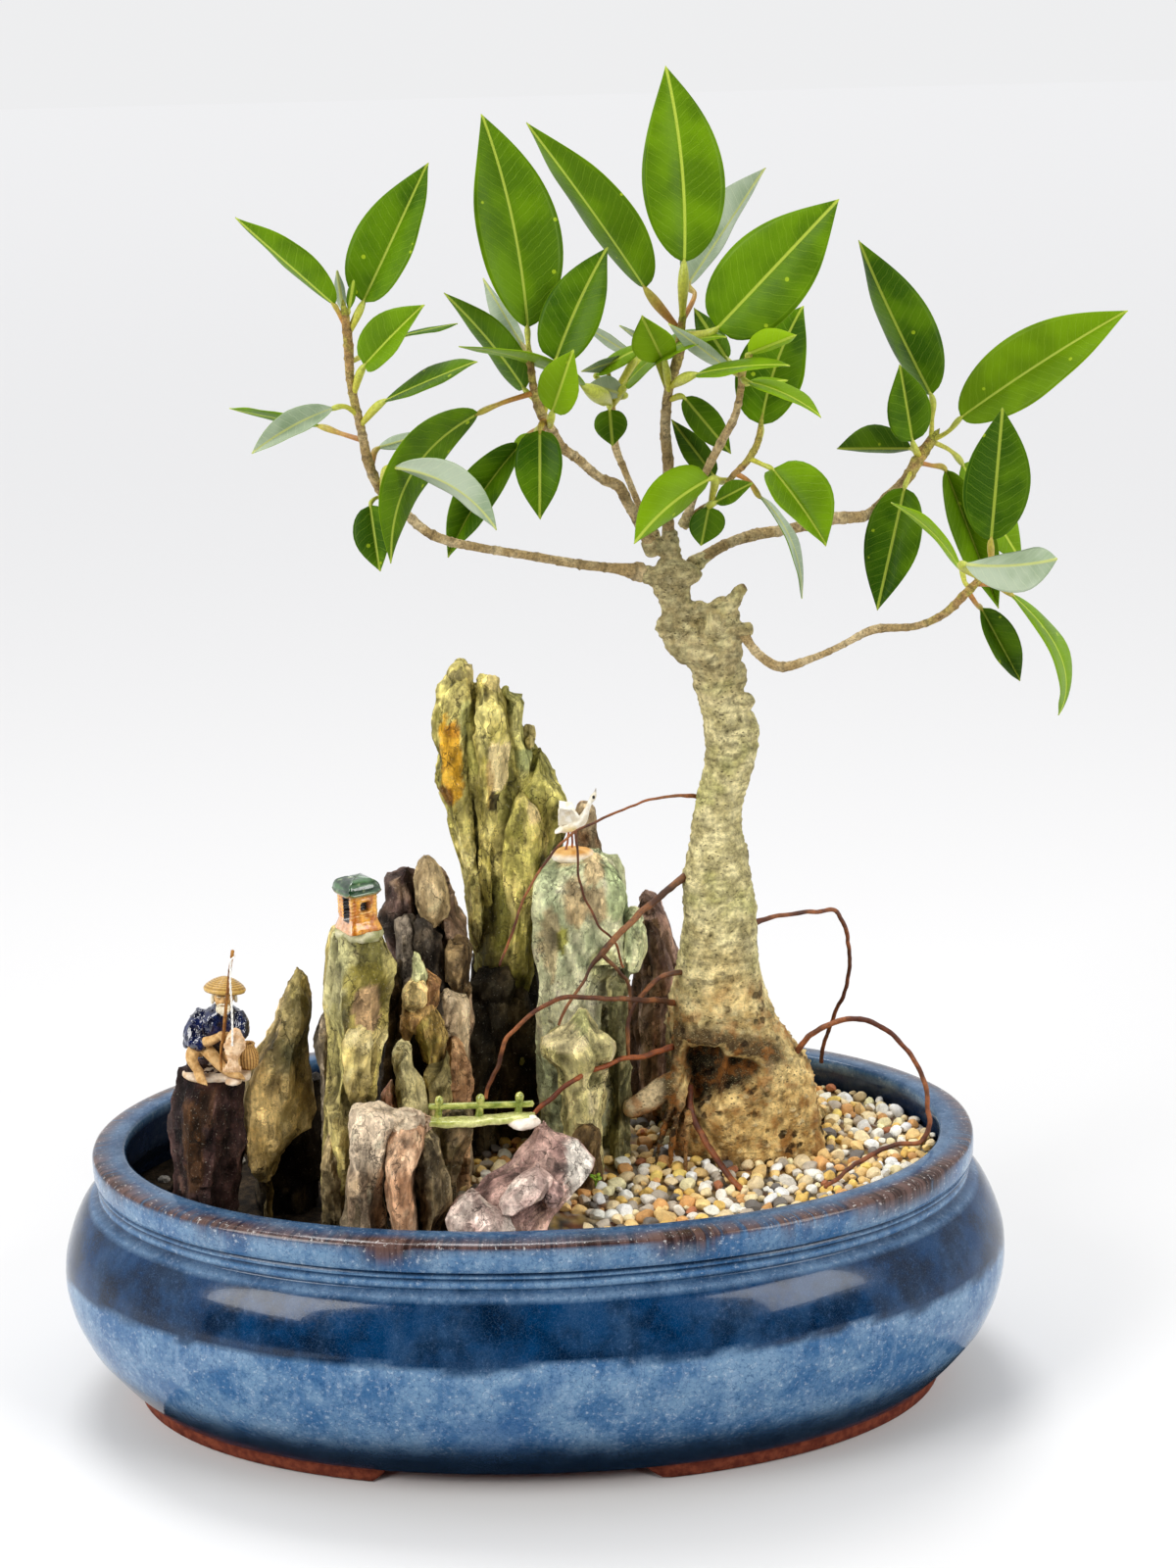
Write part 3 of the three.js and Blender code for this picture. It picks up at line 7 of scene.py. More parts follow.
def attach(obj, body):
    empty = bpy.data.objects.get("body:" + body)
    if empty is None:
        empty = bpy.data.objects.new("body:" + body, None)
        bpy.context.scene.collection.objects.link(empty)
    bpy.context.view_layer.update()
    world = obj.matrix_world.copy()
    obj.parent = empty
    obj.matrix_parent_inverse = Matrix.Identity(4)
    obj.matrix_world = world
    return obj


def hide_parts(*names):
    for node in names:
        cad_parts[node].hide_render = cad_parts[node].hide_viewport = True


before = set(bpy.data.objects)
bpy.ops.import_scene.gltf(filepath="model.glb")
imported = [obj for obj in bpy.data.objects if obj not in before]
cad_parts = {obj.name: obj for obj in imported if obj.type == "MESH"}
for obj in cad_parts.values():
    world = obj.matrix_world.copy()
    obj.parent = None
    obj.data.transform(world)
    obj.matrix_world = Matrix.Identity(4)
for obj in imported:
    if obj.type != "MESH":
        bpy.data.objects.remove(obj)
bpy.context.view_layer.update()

# millimetres, +Z up, measured from the pot's centre on the table; OFF is the pot's centre in the row frame
OFF = np.array([-21.6, 0.0, 0.0])
RIM_A, RIM_B, SUP = 170.0, 105.0, 2.08
SOIL_HIGH, SOIL_LOW, GRAVEL_TOP = 85.0, 75.0, 93.0
EYE = np.array([24.768, -953.043, 504.384])

# stems: rows of x, y, z, radius, from the joint outward
STEMS = {
    "branch_centre": [[57.0,4.0,324.9,2.34],[56.2,3.0,344.7,2.14],[56.8,3.0,357.2,2.31],[55.9,2.0,371.3,2.12],[58.3,0.0,389.8,1.93],[60.5,0.0,396.0,2.11],[62.4,-1.0,410.0,1.57]],
    "branch_centre_right": [[62.2,-7.0,337.6,1.77],[64.7,-9.0,346.5,1.59],[69.3,-11.0,356.6,1.58],[75.9,-15.0,370.0,1.74],[79.6,-17.0,377.1,1.56],[82.0,-20.0,388.5,1.38],[82.7,-21.0,394.8,1.55],[85.0,-22.0,399.9,1.2]],
    "branch_inner": [[54.9,14.0,324.2,1.63],[46.6,22.0,339.9,1.46],[40.9,28.0,353.8,1.46],[38.5,30.0,359.8,1.64],[37.4,34.0,376.8,1.09],[36.5,36.0,385.3,1.09]],
    "branch_left": [[46.5,4.0,318.6,3.06],[36.8,0.0,321.1,2.15],[26.8,-6.0,323.6,1.96],[5.7,-16.0,329.6,1.76],[-14.8,-26.0,335.5,1.74],[-21.6,-29.0,337.7,1.9],[-29.5,-32.0,341.9,1.9],[-36.0,-35.0,348.5,1.89],[-44.0,-38.0,356.8,1.88],[-47.6,-40.0,365.1,2.04],[-50.4,-42.0,380.7,1.69],[-52.9,-44.0,396.5,1.67],[-53.1,-45.0,411.5,1.83],[-53.7,-45.0,419.1,1.5]],
    "branch_lower_right": [[82.6,-4.0,298.8,2.51],[84.8,-8.0,293.8,2.33],[89.5,-12.0,289.1,2.32],[93.9,-15.0,286.7,2.5],[107.5,-22.0,290.9,1.77],[117.3,-27.0,296.5,1.58],[127.2,-32.0,302.7,2.09],[143.2,-38.0,305.3,1.73],[150.7,-41.0,309.3,1.9],[159.1,-44.0,318.1,2.06],[163.5,-46.0,323.3,1.71]],
    "branch_right": [[65.1,9.0,319.8,2.17],[77.9,16.0,325.9,2.18],[90.3,22.0,328.5,2.38],[100.1,26.0,329.0,2.2],[120.0,34.0,331.6,2.59],[134.2,39.0,332.3,2.23],[140.8,42.0,337.6,2.23],[148.5,45.0,344.0,2.42],[152.3,46.0,350.1,2.6],[158.1,48.0,357.9,2.23]],
    "branch_upper_left": [[51.3,4.0,326.5,2.33],[46.0,-3.0,337.3,2.13],[41.4,-8.0,346.9,2.12],[38.0,-11.0,353.5,2.28],[33.4,-13.0,355.7,1.93],[23.5,-19.0,364.9,1.91],[18.4,-22.0,369.3,2.07],[14.8,-25.0,376.0,2.06],[11.9,-27.0,381.5,2.06],[9.4,-29.0,390.4,1.53],[8.4,-28.0,401.1,1.36]],
    "shoot_low": [[61.7,-1.0,336.6,1.6],[68.3,-5.0,342.9,1.42],[75.0,-8.0,347.5,1.41],[78.8,-9.0,354.6,1.23],[84.8,-10.0,361.0,1.4],[88.3,-11.0,367.4,1.4],[89.3,-12.0,373.1,1.05]],
}
# leaves: name, stem, side seen, blade base, bend, tip, half width, left and right fold, widest place, fullness, stalk points, slant
LEAVES = [
    ["A","branch_left","u",[-57.1,-46.0,422.9],[-72.2,-54.0,438.4],[-86.8,-62.0,453.5],9.1,1.39,-0.66,0.42,0.7,[[-53.4,-45.0,415.2],[-55.9,-45.5,420.6]],12.49],
    ["B","branch_left","u",[-47.4,-42.0,423.3],[-35.8,-36.0,445.8],[-24.2,-30.0,468.4],12.7,-0.0,-0.95,0.37,0.6,[[-53.1,-45.0,412.4]],12.12],
    ["Bs","branch_left","l",[-54.7,-40.0,420.7],[-55.5,-38.0,427.1],[-56.4,-36.0,433.6],2.7,0.74,0.91,0.45,0.7,[[-53.6,-45.0,418.5]],12.91],
    ["Bt","branch_left","u",[-52.4,-44.0,421.0],[-51.1,-46.0,426.1],[-49.9,-48.0,431.1],2.2,0.73,0.73,0.45,0.7,[[-53.6,-45.0,418.4]],12.91],
    ["C","branch_left","u",[-47.4,-50.0,402.7],[-36.8,-57.0,413.8],[-25.6,-64.0,423.8],8.9,-0.0,-1.11,0.4,0.55,[[-52.2,-43.5,392.4]],10.74],
    ["C2","branch_left","u",[-35.0,-30.0,410.5],[-25.9,-24.0,411.7],[-16.8,-18.0,412.9],4.4,1.34,-1.34,0.45,0.8,[[-53.0,-44.4,403.1]],11.44],
    ["D","branch_left","u",[-41.0,-50.0,390.6],[-24.8,-59.0,398.5],[-8.5,-68.0,405.1],8.0,0.95,-1.32,0.52,0.7,[[-50.5,-42.1,381.4]],10.04],
    ["E","branch_left","u",[-65.3,-34.0,380.3],[-81.5,-28.0,383.0],[-97.8,-22.0,385.7],7.0,1.37,-1.32,0.45,0.8,[[-49.5,-41.4,376.0],[-57.0,-37.7,377.9]],9.7],
    ["F","branch_left","l",[-59.1,-50.0,388.4],[-73.5,-58.0,384.5],[-85.4,-66.0,376.0],6.6,-0.99,-0.56,0.5,0.7,[[-51.1,-42.6,385.1],[-55.1,-46.3,388.5]],10.28],
    ["G","branch_left","l",[-45.1,-32.0,372.0],[-36.2,-27.0,373.8],[-27.3,-22.0,375.6],4.1,0.95,-0.85,0.45,0.7,[[-47.6,-40.1,365.6]],9.03],
    ["I","branch_left","l",[-38.2,-52.0,368.0],[-15.8,-59.0,365.8],[-4.0,-66.0,348.0],8.4,-0.51,1.25,0.5,0.7,[[-44.6,-38.3,358.2]],8.17],
    ["J","branch_left","u",[-48.1,-44.0,353.8],[-46.6,-48.0,342.9],[-45.2,-52.0,332.1],7.5,-0.82,-0.0,0.42,0.55,[[-41.8,-37.2,354.5],[-46.2,-40.6,355.9]],7.72],
    ["H","branch_upper_left","u",[-10.1,-34.0,383.4],[-41.5,-46.0,369.5],[-40.9,-58.0,335.9],12.3,0.96,-0.81,0.42,0.7,[[9.7,-28.8,389.5],[-2.6,-31.4,386.2]],8.9],
    ["L","branch_upper_left","u",[7.6,-22.0,411.4],[5.9,-12.0,448.4],[-6.6,-2.0,483.4],16.0,-0.7,-0.0,0.41,0.75,[[8.4,-28.0,401.1],[7.8,-25.0,406.2]],10.0],
    ["L2","branch_upper_left","l",[5.4,-10.0,404.0],[-1.4,2.0,414.7],[-8.4,14.0,425.6],7.0,0.8,1.27,0.45,0.7,[[8.7,-28.3,397.8]],9.68],
    ["N","branch_upper_left","u",[17.2,-30.0,400.5],[24.9,-27.0,420.3],[36.2,-24.0,438.3],10.8,-0.0,-0.57,0.38,0.5,[[12.3,-26.7,380.8]],7.86],
    ["P","branch_upper_left","u",[5.9,-20.0,389.7],[-5.7,-14.0,407.9],[-21.7,-8.0,422.7],8.9,1.09,-0.62,0.35,0.55,[[11.6,-27.3,382.7],[9.3,-23.6,386.3]],8.13],
    ["R","branch_upper_left","u",[15.8,-36.0,383.7],[19.7,-42.0,394.9],[23.5,-48.0,406.0],8.1,-0.0,-0.72,0.42,0.55,[[14.5,-25.2,376.6]],7.1],
    ["T","branch_upper_left","u",[4.1,-12.0,369.3],[-13.5,-4.0,350.3],[-24.5,4.0,325.9],10.9,-1.1,-0.67,0.42,0.6,[[14.1,-25.5,377.5]],7.25],
    ["U","branch_upper_left","u",[11.2,-34.0,377.0],[10.8,-38.0,362.1],[10.4,-42.0,347.1],8.9,-0.56,-0.0,0.38,0.55,[[13.0,-26.3,379.6]],7.64],
    ["U2","branch_upper_left","u",[8.8,-18.0,373.1],[4.9,-13.0,368.0],[1.0,-8.0,362.8],4.2,0.95,-0.0,0.45,0.6,[[13.2,-26.1,379.2]],7.57],
    ["Q","branch_inner","u",[26.2,-10.0,389.4],[6.7,-31.0,404.1],[-15.2,-52.0,408.4],12.4,1.43,-1.41,0.45,0.7,[[37.4,34.0,376.8]],4.01],
    ["S","branch_inner","u",[36.2,28.0,375.4],[36.6,24.0,369.3],[36.9,20.0,363.1],6.2,-0.0,-0.0,0.4,0.5,[[36.8,35.3,382.5]],4.67],
    ["W1","branch_inner","l",[46.7,42.0,393.1],[36.1,46.0,399.5],[25.4,50.0,405.9],5.2,1.13,-1.13,0.45,0.7,[[37.1,34.8,380.2]],4.41],
    ["W2","branch_inner","l",[44.3,32.0,394.3],[35.1,29.0,392.1],[26.0,26.0,390.0],3.9,0.87,-0.99,0.45,0.7,[[37.2,34.5,378.9]],4.25],
    ["W3","branch_inner","u",[31.5,32.0,388.1],[40.7,27.0,395.7],[51.7,22.0,399.5],5.1,0.96,-0.96,0.45,0.7,[[36.7,35.7,383.9]],4.84],
    ["W4","branch_inner","l",[41.4,26.0,381.3],[35.1,23.0,383.7],[28.8,20.0,386.0],5.0,0.67,-0.0,0.5,0.6,[[37.2,34.5,378.9]],4.25],
    ["W6","branch_inner","u",[42.5,22.0,385.4],[56.3,-1.0,405.1],[77.1,-24.0,406.5],12.3,1.28,-1.31,0.45,0.7,[[37.5,33.8,376.1]],3.96],
    ["M","branch_centre","u",[49.5,4.0,421.6],[30.1,-2.0,452.1],[9.1,-8.0,480.2],14.4,1.18,-0.58,0.38,0.7,[[61.9,-0.7,406.3]],5.74],
    ["W5","branch_centre","u",[55.3,-8.0,397.1],[51.5,-13.0,405.6],[47.7,-18.0,414.0],8.3,-0.0,-0.72,0.42,0.6,[[57.5,0.7,383.3]],3.65],
    ["W0","branch_centre","l",[50.8,14.0,401.0],[45.6,17.0,404.0],[40.4,20.0,407.0],2.7,1.16,-1.16,0.45,0.7,[[57.5,0.7,383.3]],3.65],
    ["X1","branch_centre","u",[63.3,-4.0,431.1],[65.5,2.0,465.0],[58.2,8.0,498.0],14.8,-0.31,-0.0,0.4,0.75,[[62.4,-1.0,410.0]],6.0],
    ["X2","branch_centre","l",[65.7,16.0,421.9],[80.3,25.0,441.4],[94.9,34.0,461.1],11.4,0.0,1.38,0.42,0.6,[[62.4,-1.0,410.0],[67.4,7.5,418.7]],6.0],
    ["X3","branch_centre","u",[74.1,-16.0,408.8],[95.0,-24.0,431.2],[115.2,-32.0,453.0],15.6,-0.0,-0.3,0.38,0.55,[[61.7,-0.7,405.1]],5.65],
    ["X8","branch_centre","u",[66.4,-22.0,393.6],[81.7,-36.0,398.4],[96.8,-50.0,399.1],8.3,1.15,-1.37,0.42,0.7,[[57.9,0.3,386.7]],3.83],
    ["X11","branch_centre","u",[62.6,-4.0,383.2],[70.7,-7.0,373.4],[78.9,-10.0,363.6],6.0,-0.0,-0.6,0.45,0.55,[[57.3,0.8,382.0]],3.58],
    ["X5","branch_centre_right","u",[84.4,-26.0,400.7],[92.3,-33.0,404.5],[100.0,-40.0,408.2],6.1,-0.0,1.23,0.4,0.55,[[84.4,-21.8,398.7]],6.76],
    ["X6","branch_centre_right","u",[84.2,-28.0,391.1],[97.6,-37.0,388.8],[107.8,-46.0,380.7],6.3,0.87,-1.35,0.45,0.7,[[82.3,-20.5,391.6]],5.49],
    ["X7","branch_centre_right","u",[85.0,-16.0,389.0],[92.2,-12.0,389.0],[99.5,-8.0,389.0],3.3,0.89,-0.89,0.45,0.6,[[82.2,-20.4,390.9]],5.39],
    ["X9","branch_centre_right","l",[78.9,-14.0,394.0],[67.7,-19.0,402.9],[56.7,-24.0,411.7],6.0,1.03,-1.1,0.45,0.7,[[82.4,-20.6,392.3]],5.61],
    ["X10","branch_centre_right","u",[77.9,-8.0,397.2],[72.4,-3.0,405.8],[66.8,2.0,414.4],4.9,0.0,0.54,0.42,0.6,[[82.5,-20.7,393.0]],5.72],
    ["X4","shoot_low","u",[90.9,6.0,371.6],[94.9,9.0,394.0],[106.8,12.0,413.2],13.5,-0.0,-0.7,0.42,0.6,[[87.6,-10.8,366.1],[89.9,-2.4,367.9]],4.81],
    ["X12","shoot_low","u",[73.4,2.0,353.7],[65.9,6.0,363.7],[58.4,10.0,373.7],5.2,-0.49,-0.49,0.38,0.55,[[78.4,-8.9,353.7]],2.88],
    ["X13","shoot_low","u",[70.7,-18.0,355.9],[54.1,-26.0,349.3],[43.1,-34.0,336.2],10.4,1.09,-0.0,0.36,0.55,[[71.8,-6.6,345.3]],1.52],
    ["X14","shoot_low","u",[73.1,-16.0,347.4],[79.3,-21.0,351.4],[85.5,-26.0,355.4],4.5,0.0,-0.91,0.48,0.6,[[69.2,-5.4,343.4]],1.12],
    ["X15","shoot_low","u",[70.5,-12.0,345.0],[69.1,-10.0,337.6],[67.7,-8.0,330.1],7.1,-0.0,-0.72,0.38,0.55,[[70.8,-6.1,344.6]],1.37],
    ["X16","shoot_low","u",[93.3,-14.0,358.2],[103.2,-23.0,346.5],[110.8,-32.0,333.4],13.2,-0.0,-1.17,0.42,0.5,[[85.3,-10.1,361.8],[89.9,-12.1,359.8]],4.13],
    ["X17","shoot_low","l",[89.1,-8.0,347.5],[105.4,3.0,329.8],[106.0,14.0,305.2],10.1,1.39,-1.39,0.5,0.7,[[80.5,-9.3,356.4],[85.2,-8.6,353.3]],3.28],
    ["Y1","branch_right","u",[158.2,50.0,375.1],[143.6,56.0,403.2],[131.8,62.0,432.4],13.7,1.12,-0.0,0.4,0.65,[[158.1,48.0,357.9],[158.5,49.0,365.2]],9.0],
    ["Y2","branch_right","u",[168.6,42.0,367.3],[196.6,32.0,389.6],[226.0,22.0,407.6],14.6,-0.07,-0.8,0.42,0.65,[[158.1,48.0,357.9],[164.3,45.0,361.9]],9.0],
    ["Y3","branch_right","u",[149.8,38.0,359.5],[146.8,34.0,374.4],[143.8,30.0,389.1],8.8,-0.59,-0.0,0.4,0.6,[[153.8,46.5,352.1]],8.25],
    ["Y4","branch_right","u",[151.4,54.0,354.2],[138.0,61.0,353.5],[124.3,68.0,352.8],9.4,1.37,-0.0,0.5,0.65,[[153.2,46.3,351.2]],8.15],
    ["Y5","branch_right","u",[146.7,36.0,342.1],[141.0,30.0,320.0],[135.3,24.0,297.9],10.7,-0.37,-0.0,0.4,0.6,[[150.2,45.4,346.7],[148.7,40.7,345.4]],7.43],
    ["Y7a","branch_right","u",[164.9,56.0,345.3],[175.8,58.0,317.8],[186.8,60.0,289.9],11.9,-0.8,-1.07,0.42,0.6,[[152.4,46.0,350.2],[158.6,51.0,348.1]],8.01],
    ["Y7b","branch_right","u",[172.2,62.0,346.4],[185.1,69.0,325.7],[198.4,76.0,304.4],10.3,0.47,-0.73,0.45,0.55,[[158.1,48.0,357.9],[166.6,55.0,352.9]],9.0],
    ["Y6","branch_lower_right","u",[158.1,-36.0,324.2],[150.9,-24.0,338.4],[135.9,-12.0,344.8],7.7,1.3,-1.3,0.45,0.7,[[160.2,-44.5,319.4],[158.9,-40.2,320.5]],9.25],
    ["Y8","branch_lower_right","u",[165.5,-54.0,338.1],[166.5,-58.0,361.6],[167.4,-62.0,384.6],11.7,-0.42,-0.0,0.43,0.65,[[163.5,-46.0,323.3],[165.9,-50.0,329.2]],10.0],
    ["Y9","branch_lower_right","l",[156.0,-62.0,331.4],[169.6,-75.0,331.8],[182.4,-88.0,337.6],9.3,1.01,-0.0,0.56,0.55,[[163.4,-45.9,323.1]],9.96],
    ["Y10","branch_lower_right","u",[174.6,-44.0,316.7],[203.0,-35.0,291.0],[195.4,-26.0,268.1],11.2,1.25,-1.32,0.46,0.7,[[161.8,-45.2,321.2],[167.9,-44.6,320.4]],9.61],
    ["Y11","branch_lower_right","u",[165.5,-34.0,309.9],[173.8,-27.0,295.0],[182.3,-20.0,279.8],7.4,-0.33,-1.08,0.42,0.55,[[159.3,-44.1,318.3],[163.3,-39.0,312.4]],9.04],
]
# trunk: x, y, z, half width, from the top down
TRUNK = [
    [57.5,3,322.9,5.2],
    [57.4,3,318.2,6.7],
    [57.5,3,312.0,6.5],
    [60.3,3,303.4,6.1],
    [61.1,3,298.6,7.8],
    [63.6,3,294.1,10.0],
    [69.3,3,287.7,12.2],
    [72.0,3,282.8,8.7],
    [73.5,3,275.3,8.6],
    [76.2,3,268.1,9.1],
    [78.9,4,258.0,10.1],
    [78.8,4,251.2,9.7],
    [76.9,4,240.9,9.0],
    [74.6,5,232.3,9.0],
    [72.8,5,218.9,9.3],
    [73.1,5,210.8,11.1],
    [72.6,5,200.3,12.7],
    [73.9,5,186.1,13.8],
    [73.1,5,172.8,14.6],
    [72.9,5,162.8,16.2],
    [73.2,6,150.9,19.2],
    [75.0,6,139.2,22.0],
    [77.8,6,131.4,25.2],
    [80.0,6,125.3,27.2],
    [81.6,6,113.4,28.2],
    [83.4,6,103.6,28.3],
    [84.3,6,93.2,27.8],
    [84.4,6,82.9,28.0],
]
SHOULDER = [[60.1,3.0,314.1,4.68],[52.6,4.0,316.3,3.96],[46.5,4.0,319.0,3.24]]
FORK = [[75.9,2.0,279.2,6.18],[75.5,0.0,290.8,7.23],[75.2,-1.0,298.4,7.21],[74.8,-2.0,305.2,5.39],[74.2,-2.0,309.3,2.87]]
STUB = [[77.3,-2.0,303.0,3.24],[79.8,-3.0,309.0,2.51],[83.4,-4.0,314.2,2.32]]
# aerial roots: strands of x, y, z, radius
ROOTS = {
    "root_a": [[[66.1,8.0,231.3,0.93],[57.8,4.0,233.0,0.74],[51.1,2.0,233.0,0.63],[44.8,0.0,231.8,0.59],[29.2,-4.0,226.9,0.59],[20.0,-8.0,223.8,0.58],[12.9,-12.0,218.7,0.58],[6.1,-14.0,210.7,0.58],[2.0,-16.0,204.9,0.58],[-5.8,-20.0,185.4,0.58],[-9.7,-22.0,176.5,0.55]],[[19.9,-8.0,223.4,0.58],[20.4,-10.0,214.0,0.55],[20.6,-11.0,205.9,0.55],[24.0,-12.0,195.8,0.55],[28.2,-14.0,188.2,0.55],[32.1,-14.0,183.9,0.55],[36.3,-14.0,171.7,0.55]]],
    "root_b": [[[61.8,4.0,202.0,1.67],[55.2,-2.0,199.1,1.66],[46.4,-8.0,193.9,1.56],[36.6,-16.0,187.1,1.46],[27.2,-20.0,178.3,1.37],[24.5,-20.0,174.9,0.91],[21.8,-22.0,169.9,0.73],[16.2,-26.0,163.4,0.73],[11.6,-28.0,154.6,0.66]],[[27.9,-20.0,179.5,0.91],[34.7,-20.0,172.3,0.82],[37.9,-18.0,166.5,0.83],[38.5,-18.0,156.7,0.74]]],
    "root_c": [[[60.0,0.0,164.2,1.12],[56.5,-3.0,165.3,1.12],[50.4,-6.0,164.2,1.12],[43.2,-10.0,158.7,1.02],[38.9,-12.0,153.7,0.93],[37.6,-14.0,143.8,0.93],[37.4,-15.0,136.7,0.84]]],
    "root_d": [[[56.4,0.0,151.5,1.31],[53.3,-4.0,153.9,1.31],[40.0,-22.0,161.7,1.19],[27.1,-30.0,165.3,1.09],[14.9,-34.0,167.5,1.08],[3.9,-36.0,163.9,0.99],[-1.6,-38.0,159.8,0.99],[-7.5,-39.0,154.6,0.99],[-11.1,-40.0,143.9,0.99],[-14.9,-41.0,136.3,0.9],[-15.8,-42.0,131.7,0.81]]],
    "root_e": [[[56.1,-2.0,135.5,1.32],[52.2,-6.0,135.6,1.31],[42.6,-14.0,135.8,1.21],[36.2,-19.0,137.1,1.11],[29.5,-24.0,136.5,1.1],[20.2,-28.0,134.8,1.1],[13.9,-32.0,132.2,1.1],[8.3,-34.0,128.1,1.1],[3.9,-37.0,125.9,1.09],[0.9,-38.0,122.9,0.91]]],
    "root_front": [[[60.6,-6.0,120.1,1.69],[60.9,-14.0,113.3,1.5],[66.1,-20.0,103.2,1.49],[74.6,-32.0,93.4,1.39],[84.1,-44.0,88.2,1.1]]],
    "root_right": [[[84.7,4.0,180.7,1.5],[91.7,8.0,181.9,1.13],[111.9,16.0,181.9,1.04],[118.7,20.0,180.8,1.04],[122.5,24.0,174.6,1.05],[125.9,30.0,158.7,0.96],[125.5,34.0,147.0,0.97],[120.5,42.0,128.5,0.98],[117.5,52.0,110.9,0.99],[117.1,56.0,103.8,1.0]]],
    "root_rim": [[[100.2,4.0,126.8,1.71],[102.1,0.0,130.3,1.51],[108.7,-2.0,138.9,1.32],[117.9,-4.0,144.2,1.31],[130.3,-4.0,143.5,1.22],[142.2,-8.0,135.5,1.12],[148.6,-12.0,125.8,1.12],[150.7,-16.0,116.1,1.12],[150.7,-20.0,106.6,1.12],[147.9,-22.0,101.9,1.12],[137.7,-26.0,102.3,1.11],[126.5,-34.0,101.2,1.1],[108.6,-52.0,97.1,0.91]]],
}
